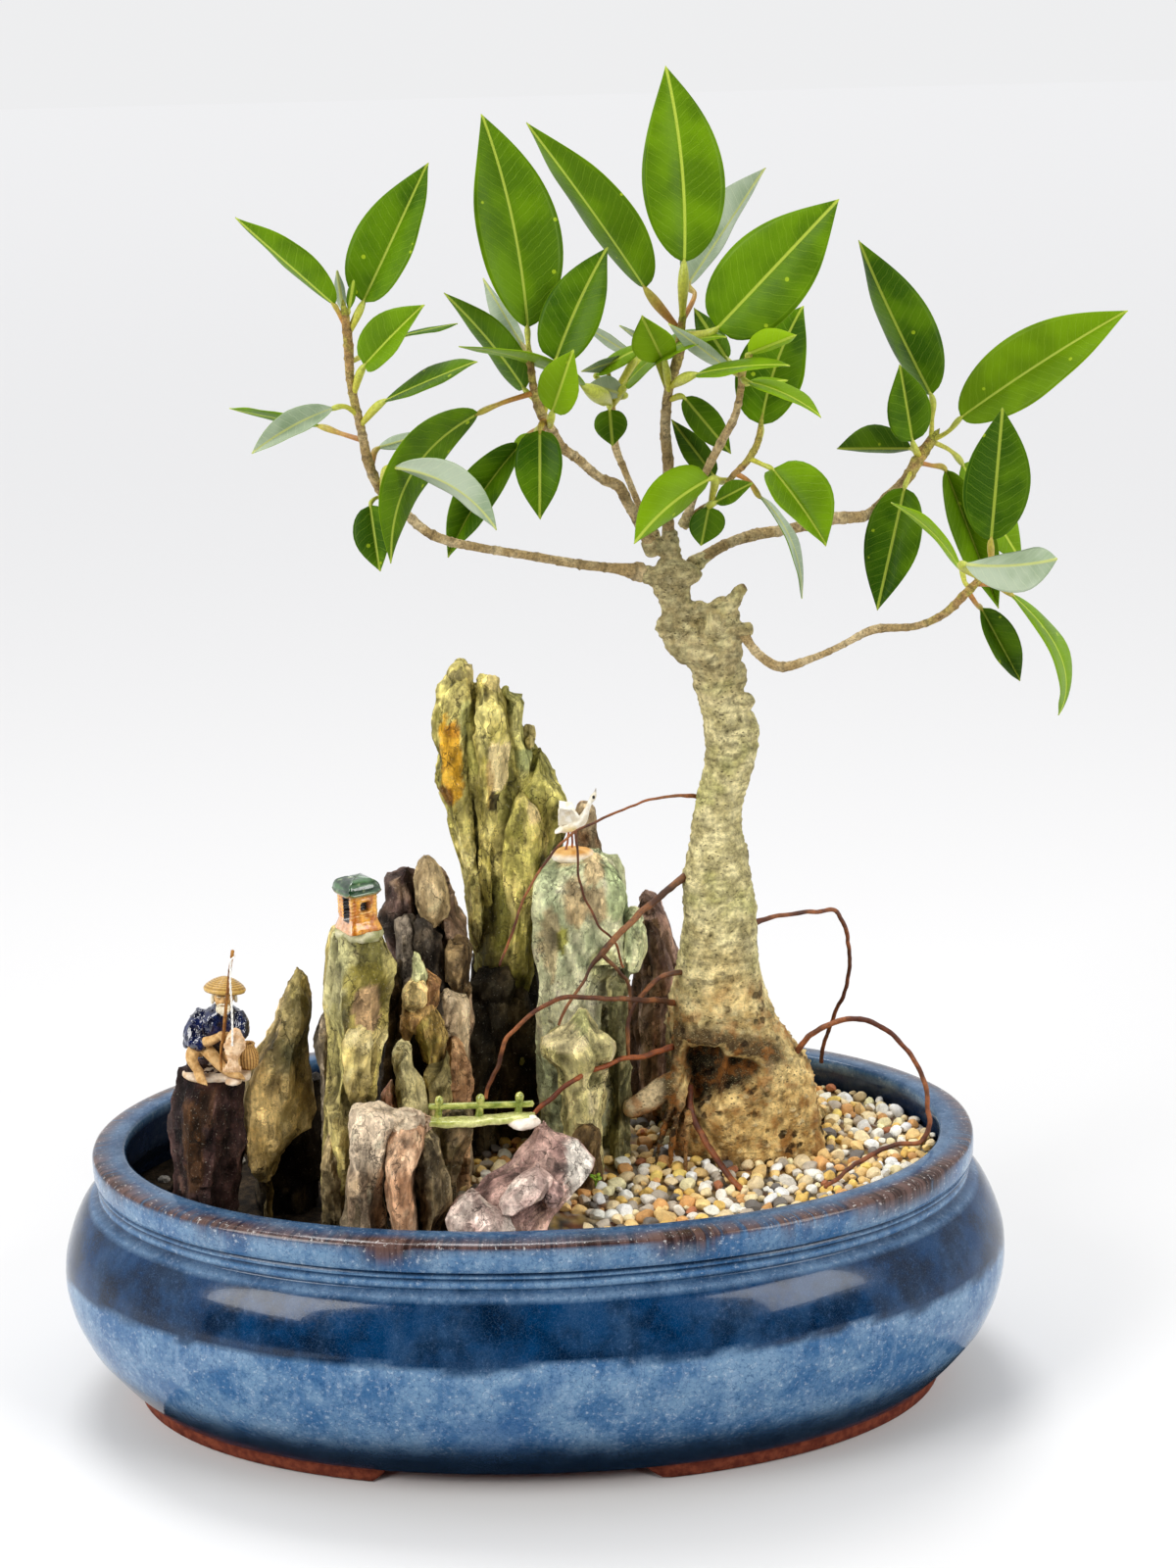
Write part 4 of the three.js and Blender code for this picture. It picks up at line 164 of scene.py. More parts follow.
# stones: name, node, material slot, half depth, rows of z, left x, right x, middle y from the top down, seed, dark, light, other colour and its share, extras
STONES = [
    ('tall_core', 'rock_tall', 'rock_green', 16, [[273.7, -25.9, -19.9, 33.0], [269.8, -29.8, -11.8, 33.0], [265.1, -30.7, -4.5, 33.0], [256.9, -31.4, -1.7, 33.0], [247.1, -31.4, 2.5, 33.0], [239.2, -32.1, 7.2, 33.0], [231.4, -32.0, 10.4, 33.0], [223.4, -29.3, 13.6, 33.0], [213.5, -27.4, 14.1, 33.0], [203.5, -24.7, 11.5, 33.0], [191.5, -22.9, 8.5, 33.0], [179.4, -22.2, 6.6, 33.0], [167.3, -22.2, 4.7, 33.0], [151.0, -22.8, 2.7, 33.0], [126.2, -24.5, 2.8, 33.0], [97.0, -25.5, 2.7, 33.0]], 100, (104, 104, 56), (214, 210, 152), (150, 154, 92), 0.6, {'step': 1.3, 'spots': [(-13.6, 207.6, 7.9, 13.1, (196, 190, 140), 0.5), (-6.8, 183.6, 9.4, 15.4, (112, 116, 52), 0.6), (-14.6, 175.8, 2.5, 15.4, (66, 58, 34), 0.6), (-0.8, 193.4, 5.0, 11.6, (150, 142, 96), 0.5)], 'chip': 0.72, 'stri': 2.3, 'foot': 74}),
    ('tall_left', 'rock_tall', 'rock_green', 12, [[280.3, -24.6, -20.9, 26.0], [278.8, -26.5, -18.7, 26.0], [276.1, -27.8, -18.1, 26.0], [273.4, -30.5, -17.8, 26.0], [270.0, -31.7, -17.9, 26.0], [262.7, -33.1, -18.2, 26.0], [255.0, -33.1, -18.5, 26.0], [245.4, -32.7, -18.8, 26.0], [240.3, -34.4, -19.4, 26.0], [235.7, -34.9, -19.5, 26.0], [231.4, -33.2, -19.3, 26.0], [225.8, -31.2, -19.1, 26.0], [216.0, -28.9, -18.4, 26.0], [208.0, -26.6, -17.9, 26.0], [200.1, -25.0, -17.4, 26.0], [192.1, -23.8, -16.9, 26.0], [184.1, -22.9, -16.4, 26.0], [176.0, -22.4, -16.3, 26.0], [168.0, -21.6, -17.0, 26.0], [164.3, -20.6, -18.3, 26.0]], 137, (122, 120, 68), (222, 216, 164), (168, 170, 110), 0.5, {'ends': 1, 'spots': [(-26.7, 244.9, 4.0, 16.9, (206, 158, 30), 0.85), (-29.4, 231.8, 3.2, 4.6, (110, 70, 22), 0.85), (-25.5, 257.5, 2.9, 2.7, (150, 96, 26), 0.6), (-20.5, 261.2, 1.8, 6.9, (130, 142, 112), 0.7), (-22.2, 274.5, 4.3, 4.6, (140, 134, 92), 0.6)], 'chip': 0.72, 'stri': 2.3}),
    # tall_middle's near-black (36, 32, 20) spot is a painted shadow in the gap under the pale face
    ('tall_middle', 'rock_tall', 'rock_green', 12, [[274.7, -16.5, -11.4, 23.0], [272.0, -17.8, -7.7, 23.0], [265.8, -18.7, -4.6, 23.0], [257.4, -19.0, -4.5, 23.0], [250.4, -18.9, -4.3, 23.0], [240.0, -19.3, -4.3, 23.0], [234.2, -19.1, -4.9, 23.0], [229.5, -18.9, -8.4, 23.0], [222.5, -18.4, -9.0, 23.0], [210.7, -18.1, -10.1, 23.0], [198.8, -17.7, -11.3, 23.0], [186.9, -17.0, -13.2, 23.0]], 174, (128, 124, 68), (226, 220, 168), (172, 170, 106), 0.5, {'ends': 1, 'spots': [(-8.8, 243.3, 4.3, 9.6, (214, 204, 180), 0.95), (-12.4, 236.8, 1.4, 10.0, (150, 116, 60), 0.55), (-14.5, 259.9, 2.2, 11.6, (196, 196, 150), 0.5), (-9.3, 229.8, 3.6, 4.2, (36, 32, 20), 0.9), (-11.5, 272.7, 2.9, 2.3, (70, 60, 30), 0.7)], 'chip': 0.72, 'stri': 2.3}),
    ('tall_knob', 'rock_tall', 'rock_green', 6.5, [[275.9, -12.8, -9.1, 24.0], [274.7, -14.0, -8.0, 24.0], [272.4, -14.8, -7.7, 24.0], [270.2, -14.5, -7.8, 24.0], [267.9, -13.5, -8.6, 24.0]], 211, (140, 132, 92), (200, 190, 146), None, 0, {'ends': 1}),
    ('tall_cap', 'rock_tall', 'rock_green', 5.5, [[280.7, -24.5, -20.1, 24.0], [279.2, -26.1, -18.7, 24.0], [277.3, -26.5, -18.3, 24.0], [275.0, -25.5, -18.8, 24.0]], 248, (120, 116, 84), (186, 178, 142), None, 0, {'ends': 1}),
    ('tall_right_a', 'rock_tall', 'rock_green', 11, [[269.5, -6.9, -5.0, 31.0], [267.6, -7.7, -3.2, 31.0], [265.9, -7.4, 1.2, 31.0], [260.9, -7.2, 0.3, 31.0], [255.1, -6.6, 0.2, 31.0], [249.3, -6.0, 1.9, 31.0], [243.4, -5.5, 4.3, 31.0], [235.5, -5.4, 5.2, 31.0], [226.9, -5.6, 4.2, 31.0]], 285, (116, 120, 72), (208, 208, 158), (156, 164, 118), 0.5, {'ends': 1, 'spots': [(-1.2, 243.8, 5.0, 3.5, (138, 150, 116), 0.9)], 'chip': 0.72, 'stri': 2.3}),
    ('tall_ball', 'rock_tall', 'rock_green', 6.5, [[254.1, 1.2, 3.5, 33.0], [252.5, 0.0, 4.9, 33.0], [249.8, -0.8, 5.6, 33.0], [247.1, -0.5, 5.2, 33.0], [245.1, 1.0, 4.0, 33.0]], 322, (136, 130, 96), (190, 182, 140), None, 0, {'ends': 1}),
    ('tall_right_b', 'rock_tall', 'rock_green', 14, [[244.5, 5.5, 7.4, 32.0], [242.2, 2.8, 8.4, 32.0], [238.3, -1.1, 10.2, 32.0], [232.4, -4.0, 12.3, 32.0], [228.1, -4.9, 14.1, 32.0], [222.5, -5.8, 15.8, 32.0], [217.0, -6.0, 16.4, 32.0], [211.5, -5.4, 14.8, 32.0], [205.5, -4.8, 13.1, 32.0], [198.8, -4.3, 11.0, 32.0], [191.6, -3.7, 8.9, 32.0], [179.5, -3.3, 7.0, 32.0], [167.4, -2.9, 5.1, 32.0], [151.1, -2.7, 3.9, 32.0]], 359, (106, 108, 56), (204, 202, 140), (148, 154, 88), 0.6, {'chip': 0.72, 'stri': 2.3, 'foot': 74}),
    ('tall_mid_slab', 'rock_tall', 'rock_green', 11, [[233.4, -3.0, 0.8, 22.0], [228.3, -5.0, 4.0, 22.0], [222.4, -6.0, 6.4, 22.0], [214.6, -7.0, 8.1, 22.0], [206.7, -8.0, 8.3, 22.0], [194.8, -8.4, 7.2, 22.0], [182.9, -9.1, 4.9, 22.0], [170.9, -10.3, 3.4, 22.0], [158.0, -11.5, 2.3, 22.0], [148.7, -11.0, -0.3, 22.0]], 396, (118, 118, 62), (218, 210, 154), (156, 158, 92), 0.6, {'ends': 1, 'spots': [(4.1, 228.0, 2.9, 7.3, (206, 192, 164), 0.9)], 'chip': 0.72, 'stri': 2.3}),
    ('tall_foot', 'rock_tall', 'rock_purple_brown', 18, [[165.9, -22.2, 1.7, 30.0], [158.2, -23.6, 3.0, 30.0], [152.1, -24.6, 3.2, 30.0], [139.8, -25.0, 2.8, 30.0], [127.4, -25.9, 2.8, 30.0], [115.0, -26.3, 2.5, 30.0], [98.2, -26.9, 2.4, 30.0]], 433, (24, 20, 17), (84, 76, 66), (58, 50, 42), 0.6, {'step': 1.5, 'foot': 74}),
    ('tall_foot_b', 'rock_tall', 'rock_purple_brown', 7, [[163.2, -21.0, -7.3, 16.0], [157.2, -22.0, -4.5, 16.0], [145.1, -22.8, -6.4, 16.0], [132.9, -23.6, -9.1, 16.0], [116.6, -24.2, -11.9, 16.0], [104.2, -24.7, -12.3, 16.0]], 470, (30, 26, 22), (104, 96, 84), (70, 60, 50), 0.5, {'foot': 74}),
    ('crane_core', 'rock_crane', 'rock_green', 15, [[208.9, 19.6, 29.7, 9.0], [207.3, 13.2, 32.6, 9.0], [205.4, 9.5, 35.6, 9.0], [202.3, 6.4, 37.7, 9.0], [198.4, 4.4, 39.2, 9.0], [193.7, 3.9, 39.8, 9.0], [188.6, 3.4, 40.1, 9.0], [183.8, 3.2, 41.1, 9.0], [179.8, 2.7, 42.9, 9.0], [176.7, 2.7, 44.4, 9.0], [172.7, 2.5, 44.7, 9.0], [168.7, 2.8, 43.8, 9.0], [164.7, 3.1, 41.9, 9.0], [158.8, 3.6, 39.5, 9.0], [150.8, 3.4, 38.2, 9.0], [140.7, 3.5, 37.6, 9.0], [126.5, 3.1, 37.3, 9.0], [106.1, 2.5, 36.9, 9.0]], 507, (146, 160, 138), (228, 234, 216), (180, 192, 166), 0.5, {'step': 1.15, 'pad': 1, 'spots': [(26.2, 206.7, 3.6, 6.5, (214, 196, 166), 0.9), (19.9, 193.7, 5.0, 8.5, (202, 184, 154), 0.9), (27.3, 192.4, 2.9, 7.7, (206, 190, 162), 0.85), (15.2, 208.6, 2.9, 2.3, (196, 180, 150), 0.8), (36.3, 199.9, 5.4, 13.9, (142, 164, 132), 0.8), (8.8, 179.2, 3.2, 14.6, (190, 178, 152), 0.8), (14.0, 179.0, 1.8, 5.0, (140, 142, 46), 0.85), (28.6, 168.8, 5.0, 7.7, (120, 124, 78), 0.7), (9.0, 200.6, 3.6, 8.5, (150, 170, 146), 0.6), (33.1, 150.9, 5.0, 15.4, (104, 100, 76), 0.7)], 'chip': 0.75, 'stri': 1.3, 'foot': 74}),
    ('crane_lobe', 'rock_crane', 'rock_green', 10, [[185.9, 37.3, 42.2, 5.0], [181.9, 36.1, 44.4, 5.0], [177.6, 35.3, 46.1, 5.0], [173.2, 35.2, 45.7, 5.0], [168.5, 35.9, 43.7, 5.0], [163.7, 36.5, 41.4, 5.0], [159.0, 37.2, 39.0, 5.0]], 544, (142, 156, 132), (214, 220, 198), (168, 180, 146), 0.5, {'ends': 1}),
    ('crane_strip_c', 'rock_crane', 'rock_green', 7, [[161.6, 30.3, 38.9, -2.0], [152.5, 29.8, 38.4, -2.0], [142.5, 30.3, 37.8, -2.0], [130.5, 30.4, 37.6, -2.0], [110.3, 30.0, 37.2, -2.0]], 581, (76, 78, 56), (148, 148, 118), (118, 116, 78), 0.5, {'foot': 74}),
    ('crane_spire', 'rock_crane', 'rock_purple_brown', 4.6, [[224.3, 20.0, 24.9, 23.0], [222.3, 19.6, 26.4, 23.0], [219.2, 19.9, 27.4, 23.0], [213.6, 20.5, 28.8, 23.0], [208.9, 21.2, 30.2, 23.0], [202.5, 21.8, 32.0, 23.0], [195.4, 22.3, 33.0, 23.0]], 618, (92, 78, 66), (176, 164, 146), (132, 98, 76), 0.6, {'ends': 1, 'stri': 2.0, 'hold': 190}),
    ('behind_core', 'rock_behind', 'rock_purple_brown', 12, [[181.5, 44.3, 47.8, 46.0], [179.0, 43.1, 50.1, 46.0], [175.7, 43.0, 51.9, 46.0], [171.6, 42.1, 53.4, 46.0], [166.3, 41.3, 54.9, 46.0], [160.5, 40.8, 56.0, 46.0], [155.1, 40.3, 58.3, 46.0], [151.0, 39.8, 60.1, 46.0], [142.7, 39.2, 59.6, 46.0], [132.3, 38.2, 58.7, 46.0], [119.7, 38.0, 57.7, 46.0], [107.0, 37.7, 57.5, 46.0], [90.0, 37.4, 57.3, 46.0]], 655, (76, 60, 56), (158, 138, 126), (118, 92, 84), 0.6, {'stri': 2.2, 'chip': 0.7, 'foot': 74}),
    ('behind_plank', 'rock_behind', 'rock_purple_brown', 7, [[173.4, 45.1, 49.7, 37.0], [168.5, 44.6, 52.7, 37.0], [162.3, 44.1, 54.5, 37.0], [154.1, 44.3, 56.3, 37.0], [143.8, 43.7, 56.2, 37.0], [131.5, 42.7, 54.4, 37.0], [114.8, 42.4, 53.4, 37.0], [93.7, 42.0, 53.0, 37.0]], 692, (84, 68, 64), (172, 154, 142), (126, 98, 90), 0.6, {'stri': 2.2, 'chip': 0.7, 'foot': 74}),
    ('purple_block', 'rock_purple', 'rock_purple_brown', 12, [[204.6, -47.4, -43.7, 11.0], [202.7, -54.2, -41.9, 11.0], [197.6, -54.8, -39.9, 11.0], [193.3, -54.6, -39.3, 11.0], [189.7, -56.3, -38.7, 11.0], [185.4, -56.9, -37.7, 11.0], [181.8, -54.8, -36.4, 11.0], [175.7, -52.0, -34.7, 11.0], [159.8, -51.2, -33.8, 11.0], [135.5, -50.8, -34.0, 11.0], [106.9, -51.2, -35.1, 11.0]], 729, (52, 40, 40), (116, 94, 90), (84, 66, 64), 0.6, {'dark_z': (181.5, 189.8), 'foot': 70}),
    ('purple_tan', 'rock_purple', 'rock_purple_brown', 9, [[211.2, -38.9, -35.2, 4.0], [209.7, -40.8, -33.4, 4.0], [206.2, -42.1, -31.7, 4.0], [202.3, -42.6, -30.4, 4.0], [197.2, -43.2, -29.1, 4.0], [191.7, -43.1, -28.5, 4.0], [187.8, -42.1, -29.4, 4.0], [184.6, -39.2, -32.5, 4.0]], 766, (128, 112, 84), (206, 190, 158), (176, 158, 128), 0.5, {'ends': 1, 'soft': 1, 'chip': 0.6}),
    ('purple_right', 'rock_purple', 'rock_purple_brown', 9, [[204.1, -35.4, -31.3, 9.0], [197.8, -35.2, -29.3, 9.0], [191.9, -34.7, -27.6, 9.0], [187.2, -34.2, -26.3, 9.0], [184.8, -34.3, -24.1, 9.0], [182.0, -34.4, -22.4, 9.0], [178.0, -33.8, -22.1, 9.0], [170.1, -33.3, -22.4, 9.0], [156.1, -33.9, -22.9, 9.0], [136.0, -34.7, -23.6, 9.0], [107.4, -35.8, -24.7, 9.0]], 803, (88, 70, 60), (166, 144, 124), (128, 104, 84), 0.5, {'foot': 70}),
    ('purple_dark', 'rock_purple', 'rock_purple_brown', 8, [[186.7, -44.3, -36.1, 3.0], [182.2, -43.0, -29.6, 3.0], [174.3, -42.2, -29.2, 3.0], [162.4, -41.6, -28.9, 3.0], [146.5, -41.5, -30.2, 3.0], [110.1, -43.0, -31.6, 3.0]], 840, (30, 25, 22), (92, 82, 72), (60, 52, 44), 0.6, {'foot': 70}),
    ('purple_grey', 'rock_purple', 'rock_purple_brown', 5.5, [[187.9, -50.5, -42.7, 1.0], [181.2, -50.0, -42.2, 1.0], [173.3, -50.0, -42.9, 1.0], [163.5, -50.4, -44.4, 1.0], [151.6, -51.0, -44.9, 1.0], [139.6, -51.5, -45.5, 1.0]], 877, (72, 66, 62), (150, 142, 134), (110, 102, 94), 0.5, {'foot': 70}),
    ('purple_brown_block', 'rock_purple', 'rock_purple_brown', 8, [[178.7, -29.2, -22.1, 0.0], [176.7, -30.4, -21.5, 0.0], [171.2, -30.6, -21.7, 0.0], [164.1, -30.5, -21.9, 0.0], [159.3, -29.6, -22.1, 0.0], [156.1, -28.6, -23.0, 0.0]], 914, (84, 68, 48), (158, 138, 104), (120, 100, 70), 0.5, {'ends': 1}),
    ('points_back', 'rock_points', 'rock_purple_brown', 8, [[168.7, -46.3, -33.8, -14.0], [155.0, -48.4, -32.1, -14.0], [141.1, -49.0, -31.2, -14.0], [117.2, -50.0, -31.3, -14.0]], 951, (32, 27, 22), (88, 76, 60), None, 0, {'foot': 70}),
    ('points_spike', 'rock_points', 'rock_green', 5.5, [[182.4, -42.0, -40.6, -21.0], [180.9, -42.4, -39.5, -21.0], [177.8, -42.6, -38.6, -21.0], [174.3, -43.1, -37.6, -21.0], [170.8, -43.6, -37.0, -21.0], [166.6, -44.5, -36.8, -21.0]], 988, (112, 122, 92), (182, 190, 158), (160, 162, 118), 0.4, {'ends': 1}),
    ('points_ochre', 'rock_points', 'rock_green', 6, [[177.8, -39.0, -38.3, -20.0], [174.6, -39.1, -36.6, -20.0], [171.9, -38.9, -34.5, -20.0], [169.2, -38.6, -32.4, -20.0], [165.7, -38.4, -32.5, -20.0], [162.2, -39.3, -33.8, -20.0], [157.1, -40.2, -35.4, -20.0]], 1025, (92, 66, 42), (158, 126, 84), (126, 96, 62), 0.6, {'ends': 1}),
    ('points_cream', 'rock_points', 'rock_green', 6, [[172.6, -44.3, -37.8, -26.0], [170.7, -46.2, -36.8, -26.0], [167.2, -46.7, -36.9, -26.0], [164.1, -46.5, -37.4, -26.0], [161.8, -45.5, -38.6, -26.0]], 1062, (132, 120, 84), (196, 184, 140), (166, 150, 108), 0.4, {'ends': 1, 'flat': 1}),
    ('points_rough', 'rock_points', 'rock_green', 8, [[164.2, -46.3, -36.8, -23.0], [161.1, -47.2, -35.8, -23.0], [158.0, -47.7, -35.6, -23.0], [155.2, -46.7, -36.1, -23.0], [152.5, -46.1, -37.7, -23.0]], 1099, (84, 62, 34), (196, 172, 118), (150, 118, 70), 0.6, {'ends': 1}),
    ('points_leg_a', 'rock_points', 'rock_green', 5, [[156.9, -47.4, -43.0, -22.0], [150.3, -47.7, -43.7, -22.0], [145.2, -47.9, -44.3, -22.0], [132.6, -48.8, -44.4, -22.0]], 1136, (104, 80, 48), (172, 150, 104), None, 0, {'foot': 70}),
    ('points_leg_b', 'rock_points', 'rock_green', 6.5, [[160.6, -41.7, -34.4, -24.0], [157.5, -42.5, -33.0, -24.0], [152.8, -42.0, -31.7, -24.0], [146.9, -41.1, -30.5, -24.0], [141.0, -39.9, -31.8, -24.0], [137.1, -38.6, -33.8, -24.0], [134.3, -37.2, -35.8, -24.0]], 1173, (92, 78, 40), (160, 142, 88), (110, 108, 50), 0.6, {'ends': 1}),
    ('points_grey', 'rock_points', 'rock_purple_brown', 9, [[161.9, -32.8, -29.1, -9.0], [159.9, -34.4, -22.5, -9.0], [154.8, -35.3, -21.9, -9.0], [148.4, -35.9, -22.2, -9.0], [142.9, -35.0, -22.4, -9.0], [136.9, -33.0, -22.6, -9.0], [126.9, -32.3, -22.9, -9.0], [118.8, -31.5, -23.2, -9.0]], 1210, (120, 108, 92), (190, 180, 162), (156, 148, 142), 0.6, {'flat': 1, 'chip': 0.7, 'foot': 70}),
    ('points_pink', 'rock_points', 'rock_purple_brown', 8, [[145.9, -29.3, -26.7, -19.0], [141.9, -30.9, -23.5, -19.0], [136.8, -32.2, -22.2, -19.0], [130.9, -33.5, -22.1, -19.0], [123.7, -34.2, -22.0, -19.0], [115.0, -35.3, -21.9, -19.0], [103.8, -36.1, -22.7, -19.0]], 1247, (110, 84, 62), (184, 158, 128), (150, 112, 88), 0.5, {'foot': 70}),
    ('points_block', 'rock_points', 'rock_green', 8, [[149.8, -48.4, -43.7, -34.0], [147.9, -49.6, -43.1, -34.0], [143.3, -50.6, -42.6, -34.0], [139.3, -50.4, -39.8, -34.0], [135.0, -50.2, -38.9, -34.0], [130.3, -50.0, -38.4, -34.0], [125.6, -49.5, -37.8, -34.0], [117.7, -49.5, -37.0, -34.0]], 1284, (98, 96, 66), (180, 178, 144), (140, 138, 100), 0.5, {'foot': 70}),
    ('points_wedge', 'rock_points', 'rock_purple_brown', 4.5, [[137.2, -51.4, -50.3, -36.0], [134.5, -53.4, -49.7, -36.0], [131.3, -55.3, -49.5, -36.0], [129.0, -55.1, -49.2, -36.0], [126.2, -53.4, -49.0, -36.0], [118.8, -52.2, -49.3, -36.0]], 1321, (160, 122, 108), (222, 202, 190), None, 0, {'flat': 1, 'foot': 70}),
    ('points_right', 'rock_points', 'rock_green', 8, [[145.1, -31.4, -29.2, -29.0], [141.3, -33.8, -28.3, -29.0], [137.0, -38.7, -28.4, -29.0], [131.2, -40.0, -29.0, -29.0], [123.3, -40.7, -29.7, -29.0], [111.4, -40.5, -30.2, -29.0]], 1358, (78, 74, 46), (158, 152, 112), (116, 110, 74), 0.5, {'foot': 70}),
    ('column_core', 'rock_hut', 'rock_green', 15, [[197.0, -68.7, -49.1, -42.0], [195.1, -69.5, -47.8, -42.0], [192.1, -70.3, -46.5, -42.0], [187.5, -71.6, -45.3, -42.0], [183.8, -72.2, -45.4, -42.0], [179.3, -72.7, -47.0, -42.0], [173.6, -73.4, -48.7, -42.0], [169.4, -74.0, -49.3, -42.0], [164.1, -73.2, -50.2, -42.0], [156.4, -72.5, -51.3, -42.0], [148.8, -72.5, -52.7, -42.0], [141.1, -72.9, -54.1, -42.0], [133.4, -73.6, -55.6, -42.0], [125.6, -74.0, -57.0, -42.0], [117.8, -74.8, -58.1, -42.0], [102.1, -77.4, -58.1, -42.0], [84.2, -77.6, -57.4, -42.0]], 1395, (136, 132, 84), (230, 226, 178), (178, 176, 122), 0.5, {'step': 1.15, 'spots': [(-67.6, 183.8, 5.4, 20.0, (190, 196, 166), 0.9), (-64.0, 193.0, 4.3, 9.6, (176, 184, 150), 0.8), (-55.3, 190.9, 4.7, 9.2, (116, 120, 64), 0.8), (-47.4, 192.6, 3.6, 11.6, (206, 206, 148), 0.8), (-57.7, 176.8, 7.9, 13.1, (126, 122, 50), 0.8), (-57.3, 154.1, 8.6, 19.2, (216, 208, 132), 0.75), (-55.7, 157.9, 5.8, 4.6, (228, 222, 180), 0.6), (-68.4, 153.6, 3.2, 19.2, (160, 162, 112), 0.7), (-56.8, 172.2, 5.0, 8.5, (176, 154, 128), 1.0), (-63.2, 134.4, 7.2, 6.2, (70, 62, 34), 0.6)], 'chip': 0.85, 'stri': 1.6, 'foot': 66}),
    ('column_front', 'rock_hut', 'rock_green', 14, [[166.3, -63.8, -51.6, -46.0], [163.2, -66.1, -50.3, -46.0], [157.9, -67.0, -50.9, -46.0], [150.3, -68.1, -52.0, -46.0], [142.6, -68.9, -53.4, -46.0], [134.9, -68.2, -55.2, -46.0], [129.9, -65.9, -56.9, -46.0]], 1432, (128, 120, 74), (222, 214, 164), (166, 158, 104), 0.6, {'ends': 1, 'chip': 0.9, 'spots': [(-57.5, 161.4, 6.5, 3.5, (228, 222, 182), 0.7)]}),
    ('column_foot', 'rock_hut', 'rock_purple_brown', 8, [[123.3, -73.7, -68.3, -51.0], [117.9, -75.4, -67.9, -51.0], [112.1, -77.2, -67.8, -51.0], [106.2, -77.8, -68.4, -51.0], [100.4, -77.8, -68.4, -51.0], [88.5, -77.3, -68.2, -51.0]], 1469, (90, 82, 62), (196, 186, 158), (140, 130, 104), 0.6, {'flat': 1, 'foot': 66}),
    # column_gap: a dark stone that stands in for the shade in the gap between the column's parts
    ('column_gap', 'rock_hut', 'rock_purple_brown', 8, [[127.8, -68.4, -56.8, -38.0], [116.0, -69.7, -57.3, -38.0], [100.2, -70.5, -57.3, -38.0], [82.3, -71.4, -57.4, -38.0]], 1506, (40, 34, 28), (96, 86, 70), None, 0, {'foot': 66}),
    ('column_dark', 'rock_hut', 'rock_purple_brown', 9, [[173.7, -51.5, -47.1, -10.0], [167.5, -53.3, -46.6, -10.0], [155.7, -54.9, -46.7, -10.0], [139.9, -56.7, -47.8, -10.0], [115.9, -59.3, -48.8, -10.0]], 1543, (44, 38, 34), (112, 102, 90), (70, 62, 54), 0.5, {'foot': 66}),
    # lean_core's (84, 84, 50) spot paints shade on the stone's centre face
    ('lean_core', 'rock_lean', 'rock_green', 14, [[177.7, -85.6, -84.2, -25.0], [175.4, -86.8, -82.8, -25.0], [171.9, -88.9, -80.8, -25.0], [168.0, -90.5, -79.6, -25.0], [164.2, -92.9, -79.1, -25.0], [158.4, -95.4, -79.4, -25.0], [152.6, -97.6, -80.0, -25.0], [146.8, -100.8, -80.7, -25.0], [142.9, -102.9, -80.9, -25.0], [137.0, -104.3, -81.2, -25.0], [131.1, -106.2, -80.8, -25.0], [123.2, -107.4, -81.2, -25.0], [116.9, -108.1, -82.3, -25.0], [113.4, -107.9, -86.9, -25.0], [109.0, -107.8, -91.2, -25.0], [104.3, -106.6, -94.4, -25.0], [99.4, -104.7, -96.2, -25.0], [94.6, -102.7, -98.3, -25.0], [79.3, -103.2, -98.8, -25.0]], 1580, (116, 106, 68), (230, 216, 168), (168, 158, 112), 0.6, {'chip': 0.8, 'stri': 1.4, 'spots': [(-84.7, 160.6, 6.5, 13.9, (84, 84, 50), 0.75), (-99.1, 129.9, 6.5, 19.2, (192, 172, 118), 0.6), (-91.5, 149.2, 5.8, 6.2, (66, 72, 50), 0.6), (-83.9, 175.9, 3.6, 5.4, (170, 166, 112), 0.6), (-102.3, 112.3, 3.6, 8.5, (176, 152, 92), 0.5), (-87.4, 131.6, 5.0, 8.5, (150, 134, 84), 0.5)], 'foot': 66}),
    # lean_dark: a near-black stone under the lean stone that stands in for the shade down to the soil
    ('lean_dark', 'rock_lean', 'rock_purple_brown', 9, [[126.6, -105.1, -81.1, -4.0], [106.4, -107.8, -79.9, -4.0], [85.9, -107.5, -80.9, -4.0], [67.3, -107.0, -81.8, -4.0]], 1617, (18, 16, 15), (50, 46, 42), None, 0, {'foot': 66}),
    ('lean_sliver', 'rock_lean', 'rock_purple_brown', 4.5, [[163.0, -75.7, -73.1, -31.0], [160.3, -76.9, -72.2, -31.0], [155.7, -78.6, -72.4, -31.0], [151.0, -79.5, -73.0, -31.0], [146.4, -79.4, -73.6, -31.0], [141.7, -78.2, -74.2, -31.0], [133.1, -77.9, -74.6, -31.0]], 1654, (92, 88, 80), (182, 178, 168), (140, 132, 122), 0.5, {'stri': 1.5, 'flat': 1, 'foot': 66}),
